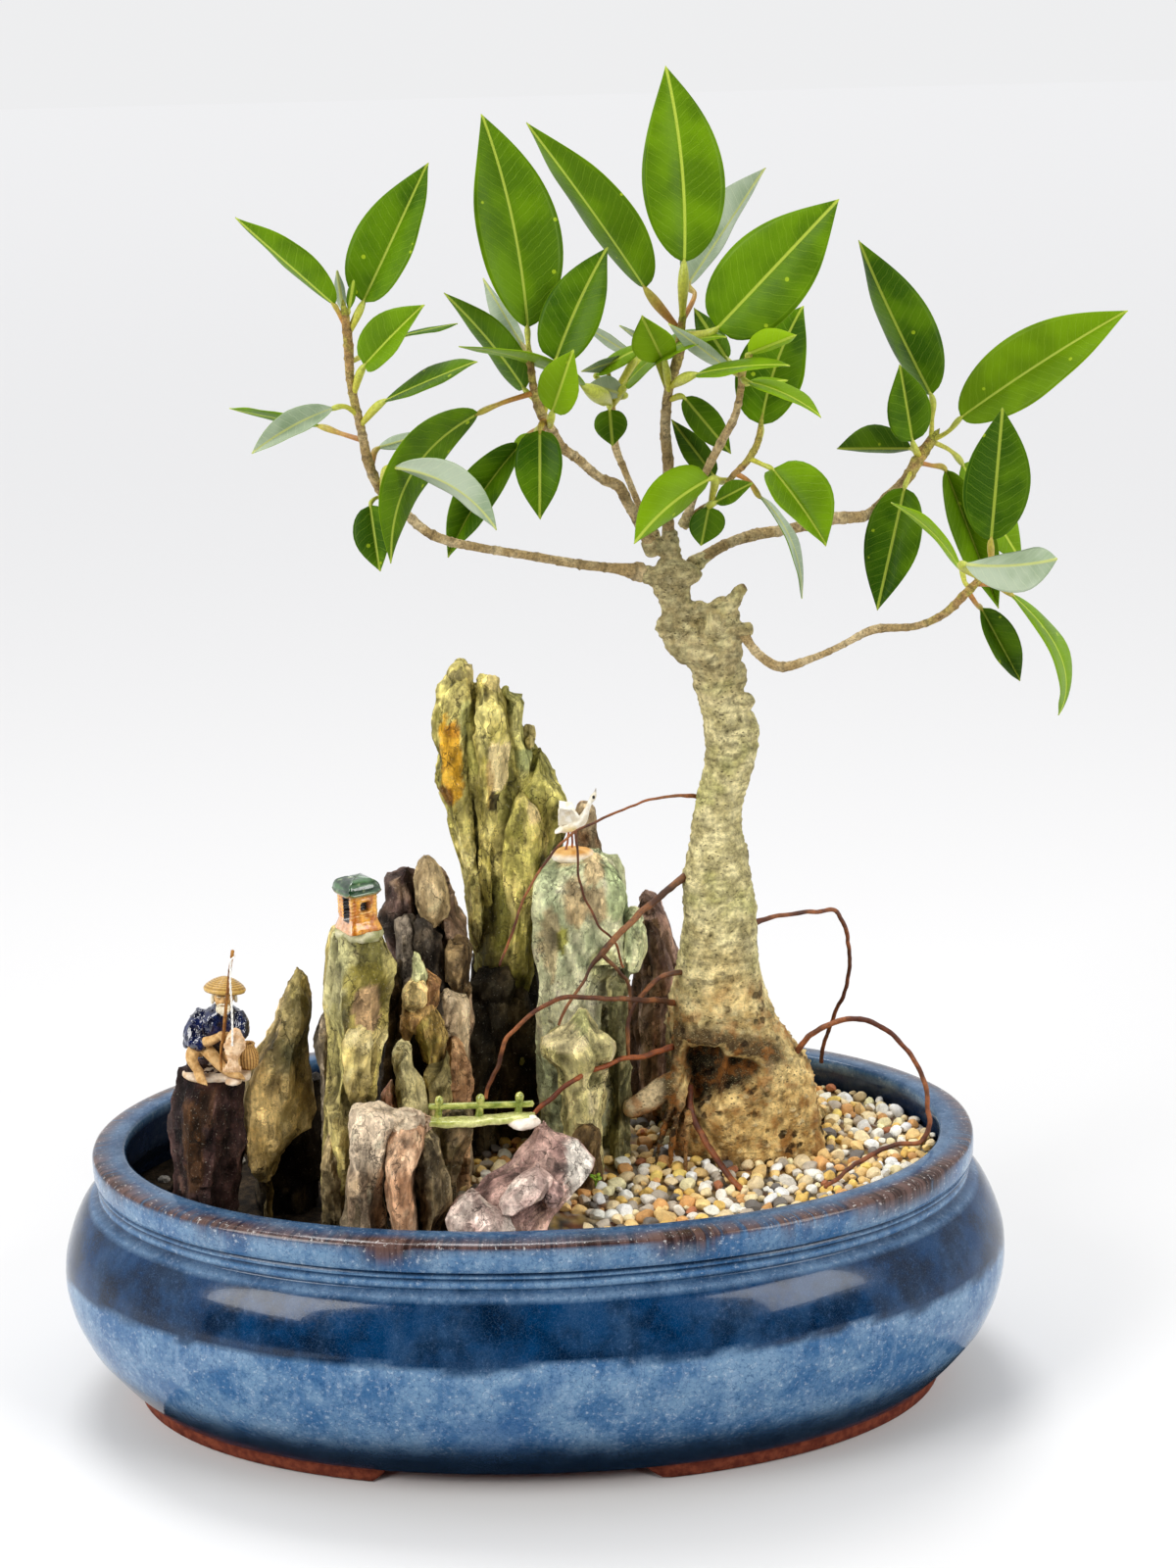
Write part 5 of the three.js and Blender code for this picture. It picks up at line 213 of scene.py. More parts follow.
    ('angler_core', 'rock_angler', 'rock_purple_brown', 15, [[145.6, -128.8, -106.4, -38.0], [143.2, -130.0, -105.0, -38.0], [140.9, -130.9, -105.9, -38.0], [137.1, -132.2, -106.5, -38.0], [131.2, -133.3, -106.5, -38.0], [123.4, -133.9, -106.6, -38.0], [115.6, -134.0, -107.0, -38.0], [107.7, -133.8, -108.2, -38.0], [99.8, -134.0, -109.8, -38.0], [91.9, -134.1, -111.4, -38.0], [81.9, -134.4, -112.7, -38.0]], 1691, (56, 42, 44), (142, 116, 110), (88, 68, 68), 0.6, {'step': 1.2, 'chip': 1.15, 'flat': 1, 'stri': 1.6, 'spots': [(-125.2, 136.3, 6.1, 23.1, (50, 34, 40), 0.85), (-123.8, 118.9, 4.3, 17.7, (118, 88, 46), 0.75), (-117.6, 137.3, 3.2, 10.0, (112, 82, 46), 0.75), (-115.5, 106.9, 4.3, 15.4, (104, 80, 78), 0.7), (-109.5, 134.0, 4.3, 17.7, (96, 74, 76), 0.6), (-118.7, 142.7, 4.3, 3.1, (126, 92, 86), 0.5)], 'foot': 68}),
    ('block_top', 'rock_block', 'rock_purple_brown', 13, [[138.8, -63.3, -45.7, -68.0], [136.9, -64.8, -38.8, -68.0], [133.9, -65.0, -44.5, -68.0], [130.2, -64.8, -48.2, -68.0], [126.4, -64.3, -50.5, -68.0], [121.0, -63.1, -51.8, -68.0], [115.3, -64.5, -52.1, -68.0], [107.6, -65.9, -51.7, -68.0], [99.9, -67.0, -51.3, -68.0], [91.0, -67.4, -51.4, -68.0]], 1728, (92, 78, 66), (204, 186, 166), (150, 130, 112), 0.6, {'topc': (214, 202, 190), 'spots': [(-58.2, 133.9, 5.8, 10.0, (220, 198, 182), 0.9), (-50.8, 136.7, 3.6, 6.2, (176, 150, 136), 0.8), (-60.7, 125.6, 2.9, 5.4, (84, 66, 50), 0.7)], 'chip': 0.75, 'foot': 66}),
    ('block_shelf', 'rock_block', 'rock_purple_brown', 12, [[137.4, -50.1, -40.2, -67.0], [135.9, -50.9, -37.5, -67.0], [133.2, -50.3, -36.9, -67.0], [129.4, -49.7, -39.1, -67.0]], 1765, (150, 134, 122), (212, 200, 186), None, 0, {'ends': 1, 'flat': 1}),
    ('block_pink', 'rock_block', 'rock_purple_brown', 12, [[134.2, -48.1, -37.2, -73.0], [130.4, -50.0, -36.0, -73.0], [126.6, -51.2, -36.1, -73.0], [121.0, -51.8, -38.5, -73.0], [115.3, -51.4, -40.5, -73.0], [107.6, -51.0, -41.1, -73.0], [99.9, -50.6, -40.7, -73.0], [92.2, -51.0, -40.3, -73.0]], 1802, (136, 106, 86), (214, 186, 166), (176, 146, 126), 0.5, {'flat': 1, 'spots': [(-45.4, 110.1, 5.0, 10.0, (150, 108, 80), 0.6)], 'chip': 0.6, 'foot': 66}),
    ('block_grain', 'rock_block', 'rock_purple_brown', 11, [[128.0, -40.3, -35.0, -66.0], [124.2, -40.8, -33.0, -66.0], [119.6, -41.0, -32.1, -66.0], [113.8, -42.3, -30.6, -66.0], [108.1, -42.9, -29.8, -66.0], [102.2, -41.7, -29.6, -66.0], [96.4, -41.3, -31.3, -66.0], [88.7, -41.6, -33.0, -66.0]], 1839, (62, 54, 40), (150, 138, 112), (104, 94, 72), 0.6, {'stri': 1.8, 'foot': 66}),
    ('block_knob', 'rock_block', 'rock_purple_brown', 8, [[131.8, -47.5, -34.7, -62.0], [129.5, -46.9, -34.1, -62.0], [126.8, -45.6, -35.3, -62.0], [124.1, -43.2, -37.8, -62.0], [122.2, -41.8, -39.7, -62.0]], 1876, (120, 98, 84), (204, 184, 168), (160, 130, 112), 0.5, {'ends': 1}),
    ('block_under', 'rock_block', 'rock_purple_brown', 8, [[131.4, -30.3, -22.0, -50.0], [128.7, -32.5, -20.7, -50.0], [124.8, -33.8, -20.8, -50.0], [121.0, -34.6, -21.7, -50.0], [117.1, -34.1, -23.3, -50.0], [111.6, -32.1, -26.3, -50.0], [104.6, -33.1, -27.3, -50.0], [81.8, -35.5, -27.5, -50.0]], 1913, (58, 52, 36), (150, 128, 98), (96, 92, 64), 0.6, {'foot': 66}),
    ('block_rough', 'rock_block', 'rock_purple_brown', 8, [[121.5, -59.0, -51.9, -71.0], [116.2, -64.2, -51.5, -71.0], [109.0, -65.9, -51.4, -71.0], [101.3, -67.0, -51.4, -71.0], [91.6, -67.5, -51.5, -71.0]], 1950, (64, 56, 44), (160, 146, 126), (110, 98, 80), 0.6, {'stri': 1.8, 'foot': 66}),
    ('slab_core', 'rock_slab', 'rock_purple_brown', 11, [[123.2, 2.5, 7.9, -50.0], [120.9, 0.3, 11.1, -51.0], [118.6, -2.6, 17.2, -53.0], [115.5, -4.8, 21.4, -55.0], [113.0, -7.7, 23.5, -58.0], [111.2, -12.7, 23.4, -60.0], [109.8, -17.0, 23.0, -62.0], [107.7, -19.1, 21.1, -64.0], [105.6, -20.2, 17.5, -66.0], [103.5, -25.9, 15.3, -68.0], [100.6, -28.8, 11.7, -70.0], [97.4, -28.8, 7.4, -72.0], [92.5, -28.2, 5.1, -74.0]], 1987, (134, 106, 104), (196, 166, 160), (166, 136, 132), 0.6, {'vs': 0.9, 'soft': 1, 'spots': [(19.2, 113.0, 5.4, 9.2, (222, 216, 214), 0.9), (16.8, 105.3, 2.9, 4.6, (206, 198, 196), 0.7), (11.7, 113.6, 3.2, 1.9, (40, 30, 30), 0.85), (-7.0, 123.4, 2.2, 1.9, (220, 210, 206), 0.7)], 'chip': 0.5, 'foot': 72}),
    ('slab_white_a', 'rock_slab', 'rock_purple_brown', 8, [[116.4, 2.2, 4.7, -70.0], [115.4, -2.0, 7.2, -71.0], [112.8, -5.6, 8.9, -73.0], [110.3, -8.8, 8.1, -75.0], [107.9, -11.3, 5.9, -77.0], [105.8, -11.3, 2.0, -79.0], [104.0, -10.3, -3.3, -80.0]], 2024, (142, 120, 118), (214, 200, 196), (176, 152, 148), 0.4, {'ends': 1, 'vs': 0.9, 'soft': 1, 'chip': 0.5}),
    ('slab_dark', 'rock_slab', 'rock_purple_brown', 6, [[111.7, 6.3, 9.2, -70.0], [109.5, 5.2, 12.3, -72.0], [106.6, 4.5, 13.6, -74.0], [104.1, 5.8, 11.1, -76.0]], 2061, (104, 82, 82), (168, 142, 140), None, 0, {'ends': 1, 'vs': 0.9, 'chip': 0.6}),
    ('slab_low', 'rock_slab', 'rock_purple_brown', 7, [[108.2, -23.4, -17.7, -74.0], [106.0, -26.9, -12.1, -76.0], [103.8, -29.4, -8.6, -78.0], [100.9, -30.1, -6.5, -80.0], [94.9, -29.5, -4.6, -82.0]], 2098, (118, 96, 94), (214, 200, 196), (168, 148, 146), 0.6, {'vs': 0.9, 'chip': 0.7, 'soft': 1, 'foot': 72}),
    ('front_core', 'rock_front', 'rock_green', 12, [[155.2, 18.9, 22.2, -18.0], [152.9, 16.3, 24.0, -18.0], [150.6, 12.9, 26.2, -18.0], [148.2, 7.7, 28.7, -18.0], [145.9, 3.6, 30.5, -18.0], [143.5, 2.8, 32.3, -18.0], [141.1, 3.1, 33.7, -18.0], [138.8, 4.1, 32.9, -18.0], [136.4, 6.2, 31.0, -18.0], [134.0, 8.0, 29.5, -18.0], [130.8, 9.1, 28.7, -18.0], [125.3, 10.0, 28.2, -18.0], [119.3, 11.0, 27.7, -18.0], [113.3, 10.8, 26.4, -18.0], [108.5, 12.5, 26.0, -18.0], [102.0, 13.1, 25.8, -18.0]], 2135, (154, 158, 126), (234, 236, 214), (190, 194, 162), 0.5, {'spots': [(12.1, 148.2, 9.0, 4.6, (236, 236, 222), 0.85), (28.9, 146.1, 5.0, 3.9, (212, 214, 188), 0.7), (21.0, 153.4, 3.6, 3.5, (150, 166, 132), 0.7), (18.5, 138.6, 4.3, 3.1, (120, 124, 84), 0.6), (14.6, 129.3, 2.9, 11.6, (206, 208, 180), 0.6)], 'chip': 0.85, 'stri': 1.6, 'foot': 84}),
    ('front_small', 'rock_front', 'rock_purple_brown', 6.5, [[115.0, 19.4, 23.4, -29.0], [113.1, 16.7, 25.9, -29.0], [109.9, 15.2, 27.3, -29.0], [107.1, 15.8, 26.9, -29.0], [102.7, 16.5, 26.1, -29.0]], 2172, (92, 78, 62), (166, 148, 124), (128, 108, 86), 0.5, {'flat': 1, 'foot': 84}),
]
OWN = ["A","B","H","L","M","N","T","U","X1","X2","X3","X4","X16","Y1","Y2","Y5","Y8"]

# ------------------------------------------------------------------ helpers
def rng(seed):
    return np.random.default_rng(seed)


def nrm(v):
    v = np.asarray(v, float)
    return v / (np.linalg.norm(v, axis=-1, keepdims=True) + 1e-12)


def sstep(a, b, x):
    t = np.clip((np.asarray(x, float) - a) / (b - a), 0, 1)
    return t * t * (3 - 2 * t)


def lerp(a, b, t):
    return a + (b - a) * t


def _h(i, j, k, seed):
    h = (i * 374761393 + j * 668265263 + k * 1440662683 + seed * 974634777) & 0xFFFFFFFF
    h = ((h ^ (h >> 13)) * 1274126177) & 0xFFFFFFFF
    h = ((h ^ (h >> 15)) * 2246822519) & 0xFFFFFFFF
    return h ^ (h >> 16)


def gnoise(P, seed=0):
    """Gradient noise in about -0.7 .. 0.7 at points P (n, 3)."""
    P = np.asarray(P, float)
    c = np.floor(P).astype(np.int64)
    f = P - c
    u = f * f * f * (f * (f * 6 - 15) + 10)
    out = np.zeros(len(P))
    for dx in (0, 1):
        wx = u[:, 0] if dx else 1 - u[:, 0]
        for dy in (0, 1):
            wy = u[:, 1] if dy else 1 - u[:, 1]
            for dz in (0, 1):
                wz = u[:, 2] if dz else 1 - u[:, 2]
                h = _h(c[:, 0] + dx, c[:, 1] + dy, c[:, 2] + dz, seed)
                gx = (h & 1023) / 511.5 - 1
                gy = ((h >> 10) & 1023) / 511.5 - 1
                gz = ((h >> 20) & 1023) / 511.5 - 1
                out += wx * wy * wz * (gx * (f[:, 0] - dx) + gy * (f[:, 1] - dy) + gz * (f[:, 2] - dz))
    return out


def fbm(P, octaves=4, seed=0, gain=0.5, lac=2.03):
    P = np.asarray(P, float)
    a, s, out = 1.0, 0.0, np.zeros(len(P))
    for o in range(octaves):
        out += a * gnoise(P * lac ** o + 17.3 * o, seed + o)
        s += a
        a *= gain
    return out / s * 1.6


def ridged(P, octaves=3, seed=0):
    P = np.asarray(P, float)
    a, s, out = 1.0, 0.0, np.zeros(len(P))
    for o in range(octaves):
        out += a * (1 - np.abs(gnoise(P * 2.1 ** o + 9.1 * o, seed + o)) * 2.6)
        s += a
        a *= 0.5
    return out / s


def cells(P, seed=0):
    """Distance to the nearest and second nearest feature point, and the nearest cell's random number."""
    P = np.asarray(P, float)
    c = np.floor(P).astype(np.int64)
    d1 = np.full(len(P), 9.0)
    d2 = np.full(len(P), 9.0)
    idv = np.zeros(len(P))
    for dx in (-1, 0, 1):
        for dy in (-1, 0, 1):
            for dz in (-1, 0, 1):
                q = c + np.array([dx, dy, dz])
                h = _h(q[:, 0], q[:, 1], q[:, 2], seed)
                g = _h(q[:, 0], q[:, 1], q[:, 2], seed + 77)
                fp = q + np.stack([(h & 1023) / 1023, ((h >> 10) & 1023) / 1023, ((h >> 20) & 1023) / 1023], 1)
                d = np.linalg.norm(P - fp, axis=1)
                near = d < d1
                d2 = np.where(near, d1, np.minimum(d2, d))
                idv = np.where(near, (g & 65535) / 65535, idv)
                d1 = np.where(near, d, d1)
    return d1, d2, idv


def spline(pts, n):
    """Smooth resampling of rows (x, y, z, ...) by a centripetal-like Catmull-Rom at even length."""
    P = np.asarray(pts, float)
    if len(P) == 2:
        t = np.linspace(0, 1, n)[:, None]
        return P[0] + (P[1] - P[0]) * t
    L = np.r_[0, np.cumsum(np.linalg.norm(np.diff(P[:, :3], axis=0), axis=1) + 1e-9)]
    m = np.gradient(P, L, axis=0)
    x = np.linspace(0, L[-1], n)
    i = np.clip(np.searchsorted(L, x, side="right") - 1, 0, len(L) - 2)
    h = (L[i + 1] - L[i])[:, None]
    t = ((x - L[i]) / (L[i + 1] - L[i]))[:, None]
    return ((2 * t**3 - 3 * t**2 + 1) * P[i] + (t**3 - 2 * t**2 + t) * h * m[i] + (-2 * t**3 + 3 * t**2) * P[i + 1] + (t**3 - t**2) * h * m[i + 1])


def frames(C):
    T = nrm(np.gradient(C, axis=0))
    up = np.array([0, 0, 1.0]) if abs(T[0][2]) < 0.9 else np.array([0, 1.0, 0])
    U = []
    for t in T:
        u = nrm(up - t * (up @ t))
        U.append(u)
        up = u
    U = np.array(U)
    return T, U, np.cross(T, U)


def grid_faces(rows, cols, closed=True, off=0, flip=False):
    r = np.arange(rows - 1)[:, None]
    c = np.arange(cols if closed else cols - 1)[None, :]
    a = r * cols + c
    b = r * cols + (c + 1) % cols
    d = (r + 1) * cols + c
    e = (r + 1) * cols + (c + 1) % cols
    f = np.stack([a, b, e, d], -1).reshape(-1, 4) + off
    return f[:, ::-1] if flip else f


class Shape:
    """Vertices (mm), faces, per-vertex colour, per-corner-free uv by vertex, and a material index per face."""

    def __init__(self):
        self.v, self.f, self.c, self.u, self.m = [], [], [], [], []
        self.n = 0
        self.ring = None

    def add(self, v, faces, col=(0.5, 0.5, 0.5), uv=None, mat=0):
        v = np.asarray(v, float).reshape(-1, 3)
        col = np.asarray(col, float)
        if col.ndim == 1:
            col = np.tile(col, (len(v), 1))
        if uv is None:
            uv = np.zeros((len(v), 2))
        self.v.append(v)
        self.c.append(col[:, :3])
        self.u.append(np.asarray(uv, float))
        for f in faces:
            self.f.append((np.asarray(f) + self.n).tolist())
            self.m.append(mat)
        self.n += len(v)
        return self

    def build(self, name, mats, smooth=True):
        v = (np.concatenate(self.v) + OFF) / 1000.0
        me = bpy.data.meshes.new(name)
        me.from_pydata(v.tolist(), [], self.f)
        c = np.concatenate(self.c)
        at = me.color_attributes.new("Col", "FLOAT_COLOR", "POINT")
        at.data.foreach_set("color", np.concatenate([c, np.ones((len(c), 1))], 1).astype(np.float32).ravel())
        if self.ring is not None:
            rg = me.attributes.new("Ring", "FLOAT_VECTOR", "POINT")
            rg.data.foreach_set("vector", np.asarray(self.ring, np.float32).ravel())
        u = np.concatenate(self.u)
        uvl = me.uv_layers.new(name="UVMap")
        idx = np.empty(len(me.loops), np.int32)
        me.loops.foreach_get("vertex_index", idx)
        uvl.data.foreach_set("uv", u[idx].astype(np.float32).ravel())
        me.polygons.foreach_set("material_index", np.array(self.m, np.int32))
        me.polygons.foreach_set("use_smooth", np.full(len(me.polygons), bool(smooth)))
        for mt in mats:
            me.materials.append(mt)
        me.validate()
        me.update()
        ob = bpy.data.objects.new(name, me)
        bpy.context.scene.collection.objects.link(ob)
        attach(ob, "root")
        return ob


def tube_arrays(pts, sides, n, wobble=0.0, seed=0, radfun=None, caps=True):
    S = spline(pts, n)
    C, R = S[:, :3], S[:, 3].copy()
    T, U, W = frames(C)
    t = np.linspace(0, 1, n)
    if radfun is not None:
        R = R * radfun(t)
    a = np.arange(sides) / sides * 2 * np.pi
    V = C[:, None, :] + R[:, None, None] * (np.cos(a)[None, :, None] * U[:, None, :] + np.sin(a)[None, :, None] * W[:, None, :])
    if wobble:
        q = V.reshape(-1, 3)
        k = fbm(q * 0.35, 3, seed) * wobble
        d = nrm(q - np.repeat(C, sides, 0))
        V = (q + d * (k * np.repeat(R, sides))[:, None]).reshape(V.shape)
    v = V.reshape(-1, 3)
    f = grid_faces(n, sides).tolist()
    tt = np.repeat(t, sides)
    if caps:
        T0, T1 = C[0] - T[0] * R[0] * 0.35, C[-1] + T[-1] * R[-1] * 0.6
        v = np.concatenate([v, [T0, T1]])
        k0, k1, o = n * sides, n * sides + 1, (n - 1) * sides
        for j in range(sides):
            f.append([k0, (j + 1) % sides, j])
            f.append([k1, o + j, o + (j + 1) % sides])
        tt = np.r_[tt, 0, 1]
    ang = np.r_[np.tile(a, n), 0, 0] if caps else np.tile(a, n)
    return v, f, tt, ang, S


def sphere(c, r, nu=16, nv=10, turn=None):
    """Ellipsoid with centre c and radii r."""
    a = np.arange(nu) / nu * 2 * np.pi
    b = np.linspace(-np.pi / 2, np.pi / 2, nv)[1:-1]
    v = np.stack([np.cos(b)[:, None] * np.cos(a), np.cos(b)[:, None] * np.sin(a), np.repeat(np.sin(b)[:, None], nu, 1)], -1).reshape(-1, 3)
    v = np.concatenate([v, [[0, 0, -1], [0, 0, 1]]]) * np.asarray(r, float)
    if turn is not None:
        v = v @ np.array(Matrix.Rotation(turn[0], 3, "X") @ Matrix.Rotation(turn[1], 3, "Y") @ Matrix.Rotation(turn[2], 3, "Z")).T
    v = v + np.asarray(c, float)
    f = grid_faces(len(b), nu).tolist()
    k, o = len(b) * nu, (len(b) - 1) * nu
    for j in range(nu):
        f.append([k, (j + 1) % nu, j])
        f.append([k + 1, o + j, o + (j + 1) % nu])
    return v, f


def lathe_rows(rows, n=24, turn=0.0, power=1.0):
    """Stack of elliptical rings (x, y, z, a, b), closed at both ends."""
    rows = np.asarray(rows, float)
    a = np.arange(n) / n * 2 * np.pi + turn
    ca, sa = np.cos(a), np.sin(a)
    if power != 1.0:
        ca = np.sign(ca) * np.abs(ca) ** power
        sa = np.sign(sa) * np.abs(sa) ** power
    v = np.stack([rows[:, 0:1] + rows[:, 3:4] * ca, rows[:, 1:2] + rows[:, 4:5] * sa, np.repeat(rows[:, 2:3], n, 1)], -1).reshape(-1, 3)
    v = np.concatenate([v, [rows[0, :3], rows[-1, :3]]])
    f = grid_faces(len(rows), n).tolist()
    k, o = len(rows) * n, (len(rows) - 1) * n
    for j in range(n):
        f.append([k, (j + 1) % n, j])
        f.append([k + 1, o + j, o + (j + 1) % n])
    return v, f


def fused(parts, voxel, smooth=6, name="fused"):
    """Joins closed parts (mm) into one skin by voxel remesh, returns vertices (mm), faces and vertex normals."""
    me = bpy.data.meshes.new(name)
    vs, fs, n = [], [], 0
    for v, f in parts:
        vs.append(np.asarray(v, float))
        fs += [(np.asarray(q) + n).tolist() for q in f]
        n += len(v)
    me.from_pydata((np.concatenate(vs)).tolist(), [], fs)
    me.update()
    ob = bpy.data.objects.new(name, me)
    bpy.context.scene.collection.objects.link(ob)
    r = ob.modifiers.new("r", "REMESH")
    r.mode = "VOXEL"
    r.voxel_size = voxel
    r.adaptivity = 0
    if smooth:
        s = ob.modifiers.new("s", "SMOOTH")
        s.iterations = smooth
        s.factor = 0.5
    dg = bpy.context.evaluated_depsgraph_get()
    ev = ob.evaluated_get(dg)
    m2 = ev.to_mesh()
    V = np.empty(len(m2.vertices) * 3)
    m2.vertices.foreach_get("co", V)
    N = np.empty(len(m2.vertices) * 3)
    m2.vertex_normals.foreach_get("vector", N)
    F = [list(p.vertices) for p in m2.polygons]
    ev.to_mesh_clear()
    bpy.data.objects.remove(ob)
    bpy.data.meshes.remove(me)
    return V.reshape(-1, 3), F, N.reshape(-1, 3)


# ------------------------------------------------------------------ materials
def srgb(r, g, b):
    def f(x):
        x /= 255.0
        return x / 12.92 if x <= 0.04045 else ((x + 0.055) / 1.055) ** 2.4
    return np.array([f(r), f(g), f(b)])


class Nodes:
    def __init__(self, name):
        self.mat = bpy.data.materials.new(name)
        self.mat.use_nodes = True
        self.t = self.mat.node_tree
        self.t.nodes.clear()
        self.out = self.t.nodes.new("ShaderNodeOutputMaterial")
        self.p = self.t.nodes.new("ShaderNodeBsdfPrincipled")
        self.t.links.new(self.p.outputs[0], self.out.inputs[0])

    def new(self, kind, **kw):
        n = self.t.nodes.new(kind)
        for k, v in kw.items():
            setattr(n, k, v)
        return n

    def put(self, sock, val):
        if hasattr(val, "is_output"):
            self.t.links.new(val, sock)
        elif val is not None:
            if hasattr(sock.default_value, "__len__") and not isinstance(val, str):
                v = list(val)
                if len(sock.default_value) == 4 and len(v) == 3:
                    v = v + [1.0]
                sock.default_value = v
            else:
                sock.default_value = val

    def math(self, op, a, b=None, c=None, clamp=False):
        n = self.new("ShaderNodeMath", operation=op, use_clamp=clamp)
        self.put(n.inputs[0], a)
        if b is not None:
            self.put(n.inputs[1], b)
        if c is not None:
            self.put(n.inputs[2], c)
        return n.outputs[0]

    def vmath(self, op, a, b=None):
        n = self.new("ShaderNodeVectorMath", operation=op)
        self.put(n.inputs[0], a)
        if b is not None:
            self.put(n.inputs[1], b)
        return n.outputs[0]

    def attr(self, name="Col"):
        return self.new("ShaderNodeAttribute", attribute_name=name).outputs["Color"]

    def obj(self):
        return self.new("ShaderNodeTexCoord").outputs["Object"]

    def uv(self):
        return self.new("ShaderNodeUVMap", uv_map="UVMap").outputs[0]

    def sep(self, v):
        n = self.new("ShaderNodeSeparateXYZ")
        self.put(n.inputs[0], v)
        return n.outputs

    def comb(self, x, y, z=0.0):
        n = self.new("ShaderNodeCombineXYZ")
        for s, q in zip(n.inputs, (x, y, z)):
            self.put(s, q)
        return n.outputs[0]

    def scale(self, v, s):
        n = self.new("ShaderNodeMapping")
        self.put(n.inputs["Vector"], v)
        n.inputs["Scale"].default_value = s if hasattr(s, "__len__") else (s, s, s)
        return n.outputs[0]

    def noise(self, vec, scale, detail=4.0, rough=0.55, distort=0.0, color=False):
        n = self.new("ShaderNodeTexNoise")
        self.put(n.inputs["Vector"], vec)
        n.inputs["Scale"].default_value = scale
        n.inputs["Detail"].default_value = detail
        n.inputs["Roughness"].default_value = rough
        n.inputs["Distortion"].default_value = distort
        return n.outputs[1 if color else 0]

    def vor(self, vec, scale, feature="F1", out="Distance", rand=1.0):
        n = self.new("ShaderNodeTexVoronoi", feature=feature)
        self.put(n.inputs["Vector"], vec)
        n.inputs["Scale"].default_value = scale
        n.inputs["Randomness"].default_value = rand
        return n.outputs[out]

    def ramp(self, x, lo, hi, a=0.0, b=1.0, smooth=True):
        n = self.new("ShaderNodeMapRange")
        n.interpolation_type = "SMOOTHSTEP" if smooth else "LINEAR"
        n.clamp = True
        self.put(n.inputs["Value"], x)
        n.inputs["From Min"].default_value = lo
        n.inputs["From Max"].default_value = hi
        self.put(n.inputs["To Min"], a)
        self.put(n.inputs["To Max"], b)
        return n.outputs[0]

    def mix(self, f, a, b, mode="MIX"):
        n = self.new("ShaderNodeMix", data_type="RGBA", blend_type=mode, clamp_factor=True)
        self.put(n.inputs[0], f)
        self.put(n.inputs[6], a)
        self.put(n.inputs[7], b)
        return n.outputs[2]

    def bump(self, h, strength=0.5, dist=0.001, chain=None):
        n = self.new("ShaderNodeBump")
        n.inputs["Strength"].default_value = strength
        n.inputs["Distance"].default_value = dist
        self.put(n.inputs["Height"], h)
        if chain is not None:
            self.put(n.inputs["Normal"], chain)
        return n.outputs[0]

    def set(self, **kw):
        for k, v in kw.items():
            self.put(self.p.inputs[k.replace("_", " ")], v)
        return self.mat


def mat_vertex(name, rough=0.8, s1=900, s2=3500, amp=0.35, bump=0.5, dist=0.0006, spec=0.35, dark=0.55, light=1.35, coat=0.0):
    """Vertex colour broken up by two scales of noise, with matching bump."""
    m = Nodes(name)
    o = m.obj()
    c = m.attr()
    n1 = m.noise(o, s1, 5, 0.6)
    n2 = m.noise(o, s2, 3, 0.6)
    k = m.math("ADD", m.math("MULTIPLY", n1, 0.65), m.math("MULTIPLY", n2, 0.35))
    g = m.ramp(k, 0.5 - amp / 2, 0.5 + amp / 2, dark, light)
    col = m.mix(1.0, c, m.comb(g, g, g), "MULTIPLY")
    nb = m.bump(n1, bump, dist)
    nb = m.bump(n2, bump * 0.6, dist * 0.4, nb)
    r = m.ramp(n1, 0.3, 0.7, rough - 0.08, rough + 0.1)
    return m.set(Base_Color=col, Roughness=r, Normal=nb, Specular_IOR_Level=spec, Coat_Weight=coat)


